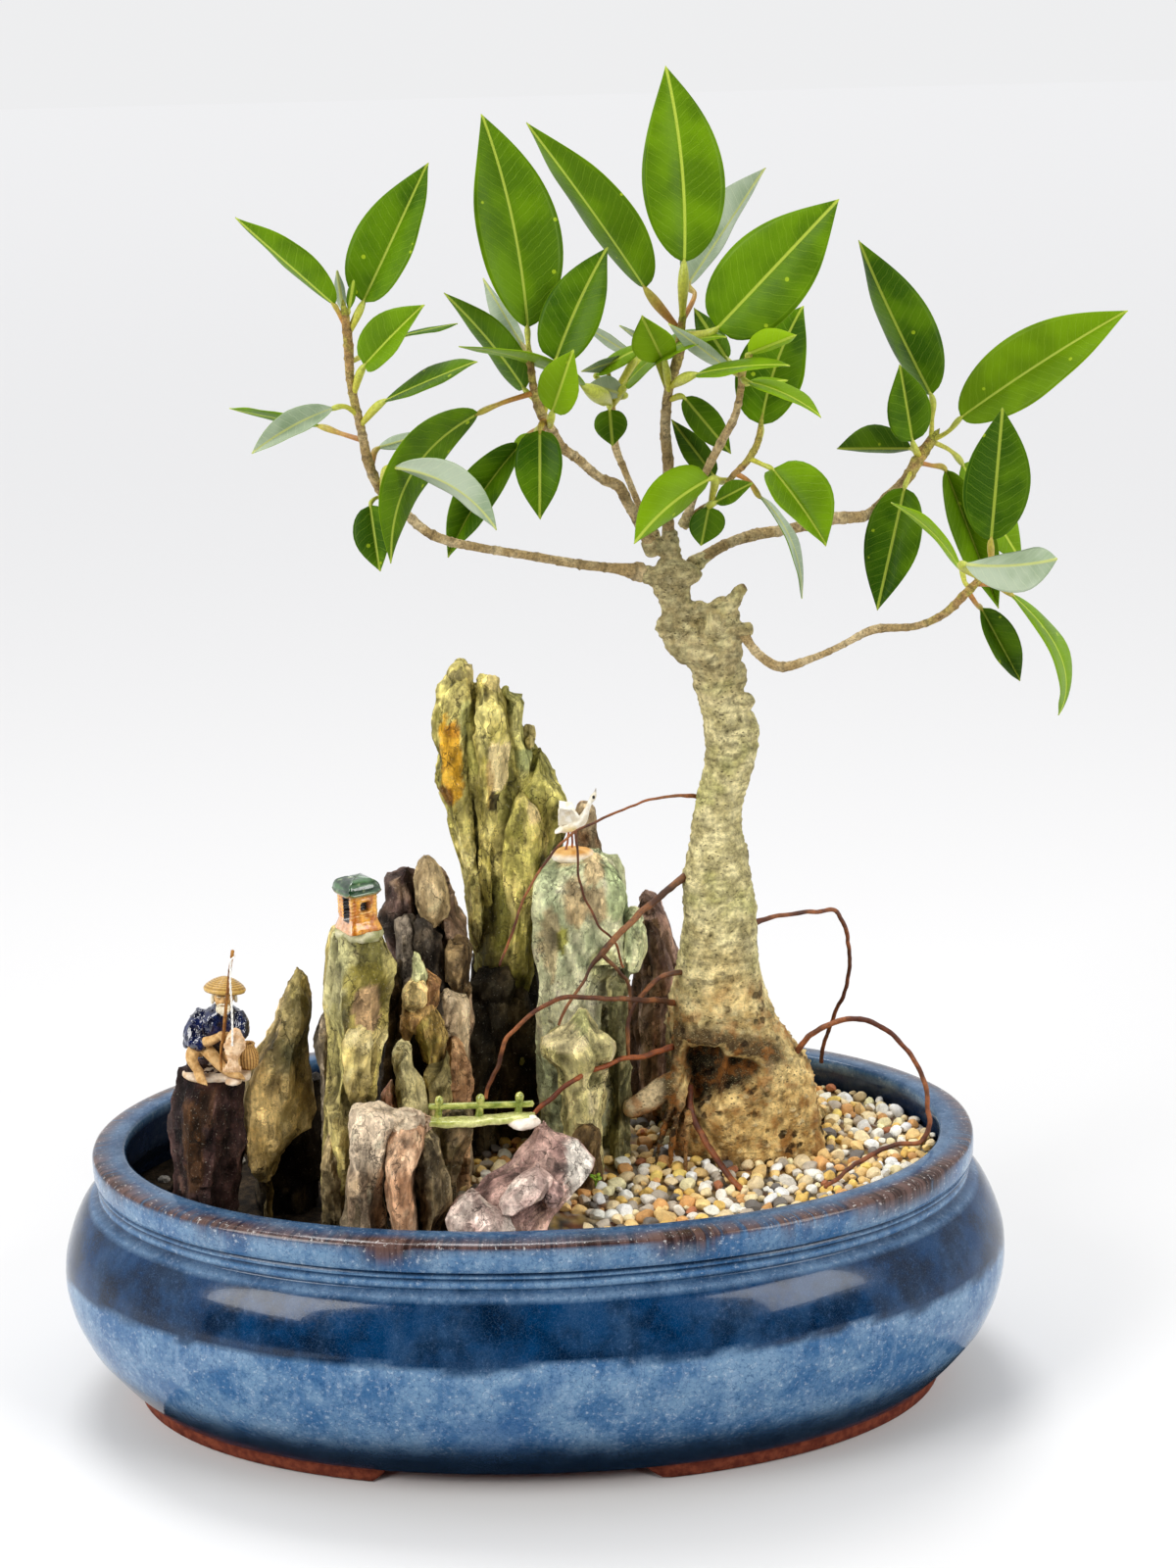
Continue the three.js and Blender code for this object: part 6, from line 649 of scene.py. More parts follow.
def mat_leaf(name, under=False):
    m = Nodes(name)
    uv = m.sep(m.uv())                       # x: signed distance from the midrib (mm), y: distance along it (mm)
    col = m.sep(m.attr())                    # x: brightness, y: yellowness, z: 0 midrib .. 1 margin
    o = m.obj()
    a = m.math("ABSOLUTE", uv[0])
    wob = m.noise(o, 260, 3, 0.5)
    w = m.math("MULTIPLY", m.math("SUBTRACT", wob, 0.5), 2.2)
    ph = m.math("ADD", m.math("SUBTRACT", uv[1], m.math("MULTIPLY", m.math("POWER", a, 1.12), 0.52)), w)
    side = m.math("MULTIPLY", m.math("SIGN", uv[0]), 0.21)
    tri = m.math("ABSOLUTE", m.math("SUBTRACT", m.math("FRACT", m.math("ADD", m.math("MULTIPLY", ph, 0.30), side)), 0.5))
    vein = m.ramp(tri, 0.075, 0.0)
    tri2 = m.math("ABSOLUTE", m.math("SUBTRACT", m.math("FRACT", m.math("MULTIPLY", ph, 0.93)), 0.5))
    fine = m.math("MULTIPLY", m.ramp(tri2, 0.16, 0.0), 0.35)
    net = m.math("MULTIPLY", m.ramp(m.vor(m.comb(uv[0], m.math("MULTIPLY", ph, 1.0)), 1.4, "DISTANCE_TO_EDGE"), 0.09, 0.0), 0.28)
    fade = m.ramp(col[2], 0.97, 0.86)
    vein = m.math("MULTIPLY", m.math("MAXIMUM", m.math("MAXIMUM", vein, fine), net), fade)
    edgev = m.math("MULTIPLY", m.ramp(m.math("ABSOLUTE", m.math("SUBTRACT", col[2], 0.90)), 0.022, 0.0), 0.6)
    vein = m.math("MAXIMUM", vein, edgev)
    mid = m.ramp(a, 0.75, 0.35)
    big = m.noise(o, 60, 2, 0.5)
    spots = m.math("MULTIPLY", m.ramp(m.vor(o, 95), 0.085, 0.06), 0.8)
    if under:
        base = m.mix(m.ramp(big, 0.35, 0.65), srgb(140, 160, 128), srgb(176, 190, 165))
        base = m.mix(m.math("MULTIPLY", m.ramp(col[1], 0.35, 0.9), 0.6), base, srgb(140, 158, 62))
        c = m.mix(m.math("MULTIPLY", vein, 0.42), base, srgb(205, 214, 180))
        c = m.mix(m.math("MULTIPLY", mid, 0.85), c, srgb(196, 202, 120))
        bh = m.math("ADD", m.math("MULTIPLY", vein, 0.5), mid)
        rough, coat, bs = 0.42, 0.08, 0.35
    else:
        base = m.mix(m.ramp(big, 0.36, 0.64), srgb(43, 85, 0), srgb(87, 128, 0))
        base = m.mix(m.ramp(col[1], 0.0, 1.0), base, srgb(150, 188, 14))
        c = m.mix(m.math("MULTIPLY", vein, 0.34), base, srgb(150, 184, 50))
        c = m.mix(spots, c, srgb(176, 200, 40))
        c = m.mix(m.math("MULTIPLY", m.ramp(col[2], 0.975, 1.0), 0.40), c, srgb(160, 190, 40))
        c = m.mix(m.math("MULTIPLY", mid, 0.85), c, srgb(188, 206, 76))
        bh = m.math("SUBTRACT", 0.0, m.math("ADD", m.math("MULTIPLY", vein, 0.45), m.math("MULTIPLY", mid, 0.9)))
        rough, coat, bs = 0.46, 0.04, 0.55
    # col.x multiplies the colour: painted shade per leaf, with a little random variation
    c = m.mix(1.0, c, m.comb(col[0], col[0], col[0]), "MULTIPLY")
    nb = m.bump(bh, bs, 0.0004)
    nb = m.bump(m.noise(o, 700, 2, 0.5), 0.12, 0.0004, nb)
    r = m.ramp(m.noise(o, 120, 3), 0.35, 0.7, rough - 0.07, rough + 0.1)
    return m.set(Base_Color=c, Roughness=r, Normal=nb, Specular_IOR_Level=0.07, Coat_Weight=coat, Coat_Roughness=0.22)


def mat_stalk():
    m = Nodes("stalk_skin")
    o = m.obj()
    c = m.attr()
    n = m.noise(o, 900, 3, 0.6)
    g = m.ramp(n, 0.35, 0.65, 0.82, 1.12)
    return m.set(Base_Color=m.mix(1.0, c, m.comb(g, g, g), "MULTIPLY"), Roughness=0.42, Normal=m.bump(n, 0.25, 0.0003), Specular_IOR_Level=0.45)


def mat_bark(name, s=1.0, rough=0.78):
    """Bark: vertex colour, pale flakes, dark pores in short rows, fine cracks round the stem."""
    m = Nodes(name)
    o = m.obj()
    c = m.attr()
    st = m.scale(o, (1.0, 1.0, 2.6))
    n1 = m.noise(o, 520 * s, 5, 0.62)
    n2 = m.noise(st, 1300 * s, 4, 0.6)
    pores = m.math("MULTIPLY", m.ramp(m.vor(m.scale(o, (0.8, 0.8, 1.5)), 520 * s), 0.26, 0.16), m.ramp(m.noise(o, 140 * s, 2), 0.42, 0.60))
    cracks = m.ramp(m.vor(m.scale(o, (0.7, 0.7, 2.4)), 300 * s, "DISTANCE_TO_EDGE"), 0.035, 0.0)
    cracks = m.math("MULTIPLY", cracks, m.ramp(m.noise(o, 90 * s, 2), 0.42, 0.62))
    g = m.ramp(n1, 0.32, 0.68, 0.70, 1.34)
    k = m.mix(1.0, c, m.comb(g, g, g), "MULTIPLY")
    k = m.mix(m.math("MULTIPLY", m.ramp(n2, 0.56, 0.70), 0.50), k, srgb(224, 210, 158))
    k = m.mix(m.math("MULTIPLY", m.ramp(n2, 0.42, 0.30), 0.5), k, srgb(88, 78, 52))
    k = m.mix(m.math("MULTIPLY", pores, 0.75), k, srgb(66, 56, 38))
    k = m.mix(m.math("MULTIPLY", cracks, 0.55), k, srgb(72, 62, 42))
    foot = m.ramp(m.sep(o)[2], 0.176, 0.140)
    big = m.noise(o, 130 * s, 5, 0.66)
    ora = m.math("MULTIPLY", foot, m.ramp(big, 0.48, 0.62))
    k = m.mix(m.math("MULTIPLY", ora, 0.62), k, srgb(150, 92, 36))
    # painted shade: near-black pits, strongest toward the foot, with the bump sunk into them
    pit = m.math("MULTIPLY", m.ramp(m.vor(m.vmath("ADD", o, m.scale(m.vmath("SUBTRACT", m.noise(o, 300, 3, 0.6, color=True), (0.5, 0.5, 0.5)), (0.004, 0.004, 0.004))), 210 * s), 0.40, 0.24), m.ramp(m.noise(o, 60 * s, 3), 0.46, 0.58))
    pit = m.math("MULTIPLY", pit, m.ramp(foot, 0.0, 1.0, 0.30, 1.0))
    k = m.mix(m.math("MULTIPLY", pit, 0.88), k, srgb(34, 20, 8))
    nb = m.bump(n1, 0.55, 0.0009)
    nb = m.bump(m.math("SUBTRACT", big, m.math("MULTIPLY", pit, 0.8)), 0.8, 0.0022, nb)
    nb = m.bump(m.math("SUBTRACT", m.math("MULTIPLY", n2, 0.5), m.math("ADD", cracks, m.math("MULTIPLY", pores, -0.5))), 0.5, 0.0005, nb)
    return m.set(Base_Color=k, Roughness=m.ramp(n1, 0.3, 0.7, rough - 0.06, rough + 0.12), Normal=nb, Specular_IOR_Level=0.15)


def mat_rock(name, s=1.0):
    """Broken stone: vertex colour split into small chips that lean and shade on their own, grain, fine upright streaks, pits and pale crystals."""
    m = Nodes(name)
    o = m.obj()
    c = m.attr()
    n1 = m.noise(o, 260 * s, 6, 0.68)
    n2 = m.noise(o, 1150 * s, 4, 0.65)
    n3 = m.noise(m.scale(o, (1.0, 1.0, 0.14)), 880 * s, 4, 0.6)
    way = m.vmath("SUBTRACT", m.noise(o, 190 * s, 3, 0.6, color=True), (0.5, 0.5, 0.5))
    q = m.vmath("ADD", m.scale(o, (1.0, 1.0, 0.5)), m.scale(way, (0.007, 0.007, 0.007)))
    big = m.vor(q, 150 * s, out="Color")
    mid = m.vor(q, 360 * s, out="Color")
    lean = m.vmath("ADD", m.scale(m.vmath("SUBTRACT", big, (0.5, 0.5, 0.5)), (0.75, 0.75, 0.75)), m.scale(m.vmath("SUBTRACT", mid, (0.5, 0.5, 0.5)), (0.70, 0.70, 0.70)))
    face = m.vmath("NORMALIZE", m.vmath("ADD", m.new("ShaderNodeNewGeometry").outputs["Normal"], lean))
    bs, ms = m.sep(big), m.sep(mid)
    g = m.math("MULTIPLY", m.ramp(n1, 0.30, 0.70, 0.76, 1.22), m.ramp(n3, 0.32, 0.68, 0.82, 1.16))
    g = m.math("MULTIPLY", g, m.math("MULTIPLY", m.ramp(bs[0], 0, 1, 0.84, 1.18, False), m.ramp(ms[1], 0, 1, 0.80, 1.22, False)))
    k = m.mix(1.0, c, m.comb(g, g, g), "MULTIPLY")
    g2 = m.ramp(ms[2], 0.84, 0.88, 1.0, 1.35)
    k = m.mix(1.0, k, m.comb(g2, g2, g2), "MULTIPLY")
    k = m.mix(m.math("MULTIPLY", m.ramp(n2, 0.60, 0.72), 0.34), k, srgb(226, 220, 200))
    k = m.mix(m.math("MULTIPLY", m.ramp(n2, 0.41, 0.30), 0.62), k, srgb(40, 36, 28))
    fis = m.math("MULTIPLY", m.ramp(m.vor(m.scale(q, (1.0, 1.0, 0.45)), 210 * s, "DISTANCE_TO_EDGE"), 0.045, 0.0), m.ramp(m.noise(o, 75 * s, 3), 0.44, 0.60))
    fine = m.math("MULTIPLY", m.ramp(m.vor(m.scale(q, (1.0, 1.0, 0.30)), 620 * s, "DISTANCE_TO_EDGE"), 0.05, 0.0), m.ramp(m.noise(o, 120 * s, 3), 0.46, 0.62))
    k = m.mix(m.math("MULTIPLY", m.math("MAXIMUM", fis, m.math("MULTIPLY", fine, 0.7)), 0.78), k, srgb(34, 28, 20))
    nb = m.bump(n1, 0.55, 0.0016, face)
    nb = m.bump(m.math("SUBTRACT", 0.0, m.math("MAXIMUM", fis, m.math("MULTIPLY", fine, 0.5))), 0.6, 0.0009, nb)
    nb = m.bump(n3, 0.40, 0.0008, nb)
    nb = m.bump(n2, 0.55, 0.0005, nb)
    return m.set(Base_Color=k, Roughness=m.ramp(n2, 0.3, 0.7, 0.58, 0.84), Normal=nb, Specular_IOR_Level=0.18)


def mat_glaze(name, base, rough=0.16, speck=0.25, coat=0.6):
    """Small figures' glaze: vertex colour or one colour, broken up by noise, with a fine bump."""
    m = Nodes(name)
    o = m.obj()
    c = m.attr() if base is None else m.mix(m.ramp(m.noise(o, 300, 3), 0.35, 0.65), np.asarray(base) * 0.75, np.asarray(base) * 1.2)
    n = m.noise(o, 700, 4, 0.6)
    g = m.ramp(n, 0.3, 0.7, 1 - speck, 1 + speck)
    k = m.mix(1.0, c, m.comb(g, g, g), "MULTIPLY")
    return m.set(Base_Color=k, Roughness=m.ramp(n, 0.3, 0.7, rough, rough + 0.15), Normal=m.bump(n, 0.35, 0.0004), Coat_Weight=coat, Coat_Roughness=0.08)


def mat_pot():
    """Oval pot: milky blue-grey glaze over deep teal blue, which is partly the glaze's own colour and partly a painted
    reflection of a dark room, with painted shade toward the foot and a painted dark inside; iron brown where it breaks
    at the lip, with painted highlights; fine crackle.
    """
    m = Nodes("pot_glaze_skin")
    p2 = m.new("ShaderNodeAttribute", attribute_name="Ring").outputs["Vector"]   # place on the rim's oval and height (mm)
    o = m.scale(m.obj(), (1000.0, 1000.0, 1000.0))                                # mm
    # col.x is the deep-blue band: partly the glaze's own colour, partly a painted reflection of the dark room
    col = m.sep(m.attr())     # x: deep-blue band, y: brown at the lip edge, z: inside
    big = m.noise(o, 0.016, 4, 0.55)
    mid = m.noise(o, 0.060, 5, 0.62)
    streak = m.noise(m.scale(p2, (0.42, 0.42, 0.035)), 1.0, 5, 0.65)
    drip = m.noise(m.scale(o, (0.30, 0.30, 0.05)), 1.0, 4, 0.6)
    fleck = m.noise(o, 0.55, 5, 0.72)
    warp = m.vmath("ADD", o, m.scale(m.vmath("SUBTRACT", m.noise(o, 0.25, 3, 0.6, color=True), (0.5, 0.5, 0.5)), (4.0, 4.0, 4.0)))
    crk = m.ramp(m.vor(warp, 0.36, "DISTANCE_TO_EDGE"), 0.045, 0.0)
    crk2 = m.ramp(m.vor(warp, 0.9, "DISTANCE_TO_EDGE"), 0.05, 0.0)
    milky = m.mix(m.ramp(mid, 0.36, 0.64), srgb(60, 102, 146), srgb(114, 146, 176))
    milky = m.mix(m.math("MULTIPLY", m.ramp(drip, 0.50, 0.68), 0.35), milky, srgb(134, 160, 188))
    milky = m.mix(m.math("MULTIPLY", m.ramp(fleck, 0.54, 0.70), 0.50), milky, srgb(200, 212, 224))
    milky = m.mix(m.math("MULTIPLY", m.ramp(fleck, 0.46, 0.34), 0.55), milky, srgb(30, 74, 120))
    milky = m.mix(m.math("MULTIPLY", m.ramp(big, 0.42, 0.30), 0.55), milky, srgb(34, 80, 134))
    deep = m.mix(m.ramp(mid, 0.35, 0.66), srgb(0, 22, 46), srgb(0, 48, 88))
    deep = m.mix(m.math("MULTIPLY", m.ramp(fleck, 0.54, 0.70), 0.35), deep, srgb(8, 70, 124))
    c = m.mix(m.math("MULTIPLY", crk, 0.50), milky, srgb(36, 66, 108))
    c = m.mix(col[0], c, deep)
    # painted shade: the glaze darkens toward the foot
    low = m.math("MULTIPLY", m.ramp(m.sep(o)[2], 34.0, 14.0), 0.80)
    c = m.mix(low, c, srgb(0, 14, 30))
    c = m.mix(m.math("MULTIPLY", crk2, 0.12), c, srgb(120, 150, 190))
    brown = m.mix(m.ramp(streak, 0.38, 0.62), srgb(44, 28, 24), srgb(98, 74, 68))
    # painted highlights: pale flecks in the brown lip line stand in for glints on the glossy lip
    brown = m.mix(m.math("MULTIPLY", m.ramp(fleck, 0.58, 0.66), 0.7), brown, srgb(206, 200, 196))
    bm = m.math("MULTIPLY", col[1], m.ramp(m.math("ADD", streak, m.math("MULTIPLY", m.math("SUBTRACT", big, 0.5), 0.9)), 0.22, 0.44))
    c = m.mix(bm, c, brown)
    # painted shade: the inside wall is darkened toward dark navy
    c = m.mix(m.math("MULTIPLY", col[2], 0.85), c, srgb(12, 22, 56))
    h = m.math("ADD", m.math("MULTIPLY", mid, 0.6), m.math("MULTIPLY", fleck, 0.25))
    nb = m.bump(h, 0.10, 0.0010)
    return m.set(Base_Color=c, Roughness=m.ramp(fleck, 0.35, 0.7, 0.10, 0.24), Normal=nb, Specular_IOR_Level=0.22, Coat_Weight=0.18, Coat_Roughness=0.04)


def mat_clay(name, a, b, rough=0.82):
    m = Nodes(name)
    o = m.obj()
    n = m.noise(o, 320, 5, 0.62)
    g = m.noise(o, 2400, 3, 0.6)
    c = m.mix(m.ramp(n, 0.35, 0.65), a, b)
    c = m.mix(m.math("MULTIPLY", m.ramp(g, 0.60, 0.72), 0.5), c, np.asarray(a) * 0.35)
    return m.set(Base_Color=c, Roughness=rough, Normal=m.bump(g, 0.4, 0.0003), Specular_IOR_Level=0.3)


M_TOP = mat_leaf("leaf_upper")
M_UND = mat_leaf("leaf_under", True)
M_STALK = mat_stalk()
M_BARK = mat_bark("trunk_bark")
M_TWIG = mat_bark("branch_bark", 1.7, 0.7)
M_ROOT = mat_vertex("aerial_root_skin", 0.55, 700, 2600, 0.4, 0.5, 0.0005, 0.4, 0.55, 1.35)
M_ROCK = mat_rock("weathered_stone")
M_PEB = mat_vertex("pebble_stone", 0.72, 500, 2600, 0.4, 0.35, 0.0004, 0.4, 0.75, 1.22)
M_SOIL = mat_vertex("potting_soil", 0.95, 420, 1800, 0.3, 0.9, 0.0014, 0.15, 0.35, 1.7)
M_POT = mat_pot()
M_FOOT = mat_clay("foot_clay", srgb(96, 36, 20), srgb(134, 64, 40))


# ------------------------------------------------------------------ pot
def oval_xy(a, b, th):
    c, s = np.cos(th), np.sin(th)
    e = 2 / SUP
    return np.stack([a * np.sign(c) * np.abs(c) ** e, b * np.sign(s) * np.abs(s) ** e], -1)


PROFILE = [(-30.0, 4.8), (-27.2, 4.4), (-26.4, 0.4), (-25.6, 0.0), (-13.0, 0.0), (-11.9, 0.7), (-11.2, 5.2), (-11.0, 6.3), (-9.9, 6.8), (-9.2, 7.6),
           (-6.2, 11.0), (-2.3, 15.2), (5.9, 26.3), (10.8, 38.5), (12.9, 49.0), (13.0, 54.0), (12.4, 61.5), (9.2, 71.0), (5.0, 79.0), (1.6, 82.2), (-1.2, 83.6),
           (-2.0, 84.2), (-1.3, 85.2), (-1.2, 86.6), (-2.1, 87.5), (-1.9, 88.0), (-1.3, 88.8), (-1.7, 89.6), (-2.4, 90.0), (-1.8, 90.5), (-0.5, 91.2),
           (0.0, 93.0), (0.1, 97.0), (0.0, 99.6), (-0.5, 100.8), (-1.6, 101.5), (-4.0, 101.8), (-8.0, 102.1), (-11.2, 102.2), (-12.2, 101.8), (-12.7, 100.6), (-12.2, 97.0), (-11.2, 92.0),
           (-9.4, 84.0), (-2.0, 75.0), (4.6, 60.0), (4.8, 48.0), (-0.8, 30.0), (-9.0, 20.0), (-16.0, 16.0)]


def make_pot():
    P = np.array(PROFILE)
    rows = [P[0]]
    for a, b in zip(P[:-1], P[1:]):
        n = max(1, int(np.linalg.norm(b - a) / 2.2))
        for i in range(1, n + 1):
            rows.append(a + (b - a) * i / n)
    R = np.array(rows)
    # round the polyline a little away from the lip and bead
    for _ in range(2):
        Q = R.copy()
        Q[1:-1] = (R[:-2] + 2 * R[1:-1] + R[2:]) / 4
        body = ((R[:, 1] > 9) & (R[:, 1] < 81))[:, None]
        R = np.where(body, Q, R)
    N = 248
    th = np.arange(N) / N * 2 * np.pi
    V, U, K, zs = [], [], [], []
    rim = oval_xy(RIM_A, RIM_B, th)
    ringlen = 2 * np.pi * math.sqrt((RIM_A**2 + RIM_B**2) / 2)
    for i, (o, z) in enumerate(R):
        xy = oval_xy(RIM_A + o, RIM_B + o, th)
        zz = np.full(N, z)
        foot = z < 6.2
        if foot:
            # cut-outs front and back: the foot ring is lifted between the feet, with sloping ends
            x = xy[:, 0]
            lift = 5.6 * sstep(-61, -52, x) * (1 - sstep(33, 49, x)) * (np.abs(xy[:, 1]) > 50)
            gap = sstep(-61, -52, x) * (1 - sstep(33, 49, x)) * (np.abs(xy[:, 1]) > 50)
            xy[:, 1] -= np.sign(xy[:, 1]) * gap * (6.5 if o > -26.0 else 0.0)
            zz = np.where(o > -26.0, np.maximum(zz, lift), np.maximum(zz, np.minimum(lift, 4.4)))
        V.append(np.column_stack([xy, zz]))
        U.append(np.column_stack([th / (2 * np.pi) * ringlen, zz]))
        zs.append(zz)
    V = np.concatenate(V)
    U = np.concatenate(U)
    n = len(R)
    z = V[:, 2]
    # thrown and pressed by hand: slow waves in the wall
    nr = nrm(np.column_stack([V[:, 0] / RIM_A**2, V[:, 1] / RIM_B**2, np.zeros(len(V))]))
    wave = fbm(np.column_stack([V[:, 0], V[:, 1], V[:, 2] * 1.6]) * 0.018, 2, 5) * 0.7 * sstep(8, 20, z)
    V = V + nr * wave[:, None]
    out = np.repeat(np.arange(n) < [i for i, r in enumerate(R) if r[1] > 102][0], N)
    ang = np.tile(th, n)
    # masks
    RG = np.column_stack([np.tile(rim, (n, 1)), V[:, 2]])
    nz = fbm(RG * np.array([0.02, 0.02, 0.0]), 3, 9)
    nz2 = fbm(RG * np.array([0.09, 0.09, 0.05]), 4, 12)
    # deep-blue band from about z 60 to 81: partly the glaze's own colour, partly a painted reflection of the dark room
    # above the floor's horizon; the thin lines at the neck are the glaze's own colour
    low = 60.0 + nz * 4.2 + nz2 * 2.2 - 5.0 * np.abs(np.cos(ang)) ** 6
    deep = sstep(0, 2.0, z - low) * (1 - sstep(81.0, 83.0, z))
    deep = np.maximum(deep * (0.97 + 0.22 * nz2), 0.85 * sstep(83.0, 83.8, z) * (1 - sstep(84.2, 85.2, z)))
    deep = np.maximum(deep, 0.9 * sstep(87.0, 87.6, z) * (1 - sstep(88.0, 88.6, z)))
    deep = np.maximum(deep, 0.95 * sstep(89.2, 89.8, z) * (1 - sstep(90.3, 91.2, z)))
    # painted shade: the deep colour is carried down toward the foot on the front and back
    low_side_shade = sstep(36, 12, z + nz2 * 8) * 0.95 * np.clip(np.abs(np.sin(ang)) ** 2, 0, 1)
    deep = np.where(z < 46, np.maximum(deep, low_side_shade + 0.30 * sstep(0.25, 0.7, nz2)), deep)
    edge = np.exp(-((z - 100.9) / 1.15) ** 2) * out
    runs = sstep(-0.12, 0.36, fbm(RG * np.array([0.030, 0.030, 0.0]) + 3.3, 3, 31))
    face = sstep(91.5, 96.0, z) * out * runs * 0.9
    brown = np.clip(edge * 1.1 + face, 0, 1)
    # inside marks the inner wall below the lip, which the glaze paints dark as shade
    inside = (~out) & (z < 100.6)
    deep = np.where(out, deep, 0.0)
    deep = np.maximum(deep, 0.55 * (z > 100.6))
    col = np.column_stack([np.clip(deep, 0, 1), brown, inside.astype(float)])
    glaze = Shape()
    faces = grid_faces(n, N)
    # unglazed foot below the glaze line
    line = [i for i, r in enumerate(R) if r[0] > -10.5 and r[1] > 6][0]
    k = line * N
    foot_f = faces[: line * N]
    glz_f = faces[line * N:] - k
    glaze.add(V[k:], glz_f.tolist(), col[k:], U[k:])
    m = (n - line) * N
    glaze.add(np.array([[0, 0, 16.0]]), [], (0, 0, 1), [[0, 16]])
    last = (n - line - 1) * N
    glaze.f += [[last + (j + 1) % N, last + j, m][::-1] for j in range(N)]
    glaze.m += [0] * N
    ring = np.column_stack([np.tile(rim, (n, 1)), V[:, 2]])
    # the Ring attribute holds the place on the rim's oval and the height
    glaze.ring = np.concatenate([ring[k:], [[0, 0, 16.0]]])
    body = glaze.build("pot_body", [M_POT])
    foot = Shape()
    kk = (line + 1) * N
    foot.add(V[:kk], foot_f.tolist(), (0.4, 0.2, 0.1), U[:kk])
    foot.add(np.array([[0, 0, 4.8]]), [], (0.4, 0.2, 0.1), [[0, 0]])
    foot.f += [[j, (j + 1) % N, kk] for j in range(N)]
    foot.m += [0] * N
    foot = foot.build("pot_foot", [M_FOOT])
    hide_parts("pot")
    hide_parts("pot")


# ------------------------------------------------------------------ soil and pebbles
def ramp_z(x):
    return SOIL_LOW + (SOIL_HIGH - SOIL_LOW) * sstep(-62, -14, x)


def inside_oval(x, y, o):
    return (np.abs(x) / (RIM_A + o)) ** SUP + (np.abs(y) / (RIM_B + o)) ** SUP


def make_soil():
    N, K = 150, 50
    th = np.arange(N) / N * 2 * np.pi
    s = np.linspace(1.0, 0.015, K)
    V = []
    for r in s:
        xy = oval_xy((RIM_A - 9.6) * r, (RIM_B - 9.6) * r, th)
        V.append(np.column_stack([xy, ramp_z(xy[:, 0])]))
    V = np.concatenate(V)
    far = inside_oval(V[:, 0], V[:, 1], -9.6)
    V[:, 2] += fbm(V * 0.09, 4, 3) * 1.6 + fbm(V * 0.4, 2, 4) * 0.7 - 0.6 + 1.0 * sstep(0.8, 1.0, far)
    rim = V[:N].copy()
    # skirt following the inner wall down, so the soil has a body
    skirt = [np.column_stack([oval_xy(RIM_A + o, RIM_B + o, th), np.full(N, z)]) for z, o in ((16.4, -18), (30, -3.0), (50, 2.6), (70, 0.4))]
    sh = Shape()
    c = fbm(V * 0.25, 3, 8)
    dark = lerp(srgb(30, 25, 20), srgb(66, 54, 40), sstep(-0.3, 0.4, c)[:, None])
    allv = np.concatenate(skirt + [V])
    f = grid_faces(4 + K, N).tolist()
    col = np.concatenate([np.tile(srgb(34, 28, 22), (4 * N, 1)), dark])
    base = len(allv)
    allv = np.concatenate([allv, [[0, 0, 16.4], [0, 0, V[-N:, 2].mean()]]])
    col = np.concatenate([col, [srgb(34, 28, 22)] * 2])
    for j in range(N):
        f.append([(j + 1) % N, j, base][::1])
        o = (3 + K) * N
        f.append([o + j, o + (j + 1) % N, base + 1])
    sh.add(allv, f, col)
    ob = sh.build("soil_bed", [M_SOIL])
    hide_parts("soil")
    # crumbs of soil, bark and pumice on the open soil
    g = rng(41)
    ico_v, ico_f = ico(1)
    cr = Shape()
    n = 0
    while n < 300:
        x, y = g.uniform(-158, 20), g.uniform(-92, 92)
        if inside_oval(x, y, -14) > 1:
            continue
        z = float(ramp_z(x)) + g.uniform(-0.4, 0.7)
        r = g.uniform(0.5, 1.7) * (1.25 if x < -60 else 1)
        v = ico_v * r * np.array([g.uniform(0.7, 1.5), g.uniform(0.7, 1.4), g.uniform(0.5, 1.0)])
        v = v + gnoise(v * 0.8 + n * 3.1, 5)[:, None] * 0.45 * nrm(v)
        t = g.uniform(0, 6.28)
        v = v @ np.array([[math.cos(t), -math.sin(t), 0], [math.sin(t), math.cos(t), 0], [0, 0, 1]]).T
        pale = g.random() < (0.16 if not (x < -110 and y > 20) else 0.55)
        col = srgb(176, 170, 160) * g.uniform(0.6, 1.1) if pale else srgb(56, 44, 32) * g.uniform(0.5, 1.4)
        cr.add(v + [x, y, z], ico_f, col)
        n += 1
    ob = cr.build("soil_crumbs", [M_SOIL], smooth=False)
    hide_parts("soil")


def ico(sub):
    t = (1 + 5 ** 0.5) / 2
    v = [(-1, t, 0), (1, t, 0), (-1, -t, 0), (1, -t, 0), (0, -1, t), (0, 1, t), (0, -1, -t), (0, 1, -t), (t, 0, -1), (t, 0, 1), (-t, 0, -1), (-t, 0, 1)]
    f = [(0, 11, 5), (0, 5, 1), (0, 1, 7), (0, 7, 10), (0, 10, 11), (1, 5, 9), (5, 11, 4), (11, 10, 2), (10, 7, 6), (7, 1, 8), (3, 9, 4), (3, 4, 2), (3, 2, 6), (3, 6, 8), (3, 8, 9), (4, 9, 5), (2, 4, 11), (6, 2, 10), (8, 6, 7), (9, 8, 1)]
    v = [list(nrm(np.array(p, float))) for p in v]
    for _ in range(sub):
        cache, nf = {}, []
        def midp(a, b):
            k = (min(a, b), max(a, b))
            if k not in cache:
                v.append(list(nrm((np.array(v[a]) + np.array(v[b])) / 2)))
                cache[k] = len(v) - 1
            return cache[k]
        for a, b, c in f:
            x, y, z = midp(a, b), midp(b, c), midp(c, a)
            nf += [(a, x, z), (b, y, x), (c, z, y), (x, y, z)]
        f = nf
    return np.array(v), [list(q) for q in f]


PEBBLE = [((240, 218, 172), 22), ((232, 196, 130), 18), ((240, 200, 110), 12), ((244, 238, 224), 20), ((186, 174, 156), 9), ((112, 106, 100), 6), ((176, 112, 76), 4), ((216, 162, 100), 9)]


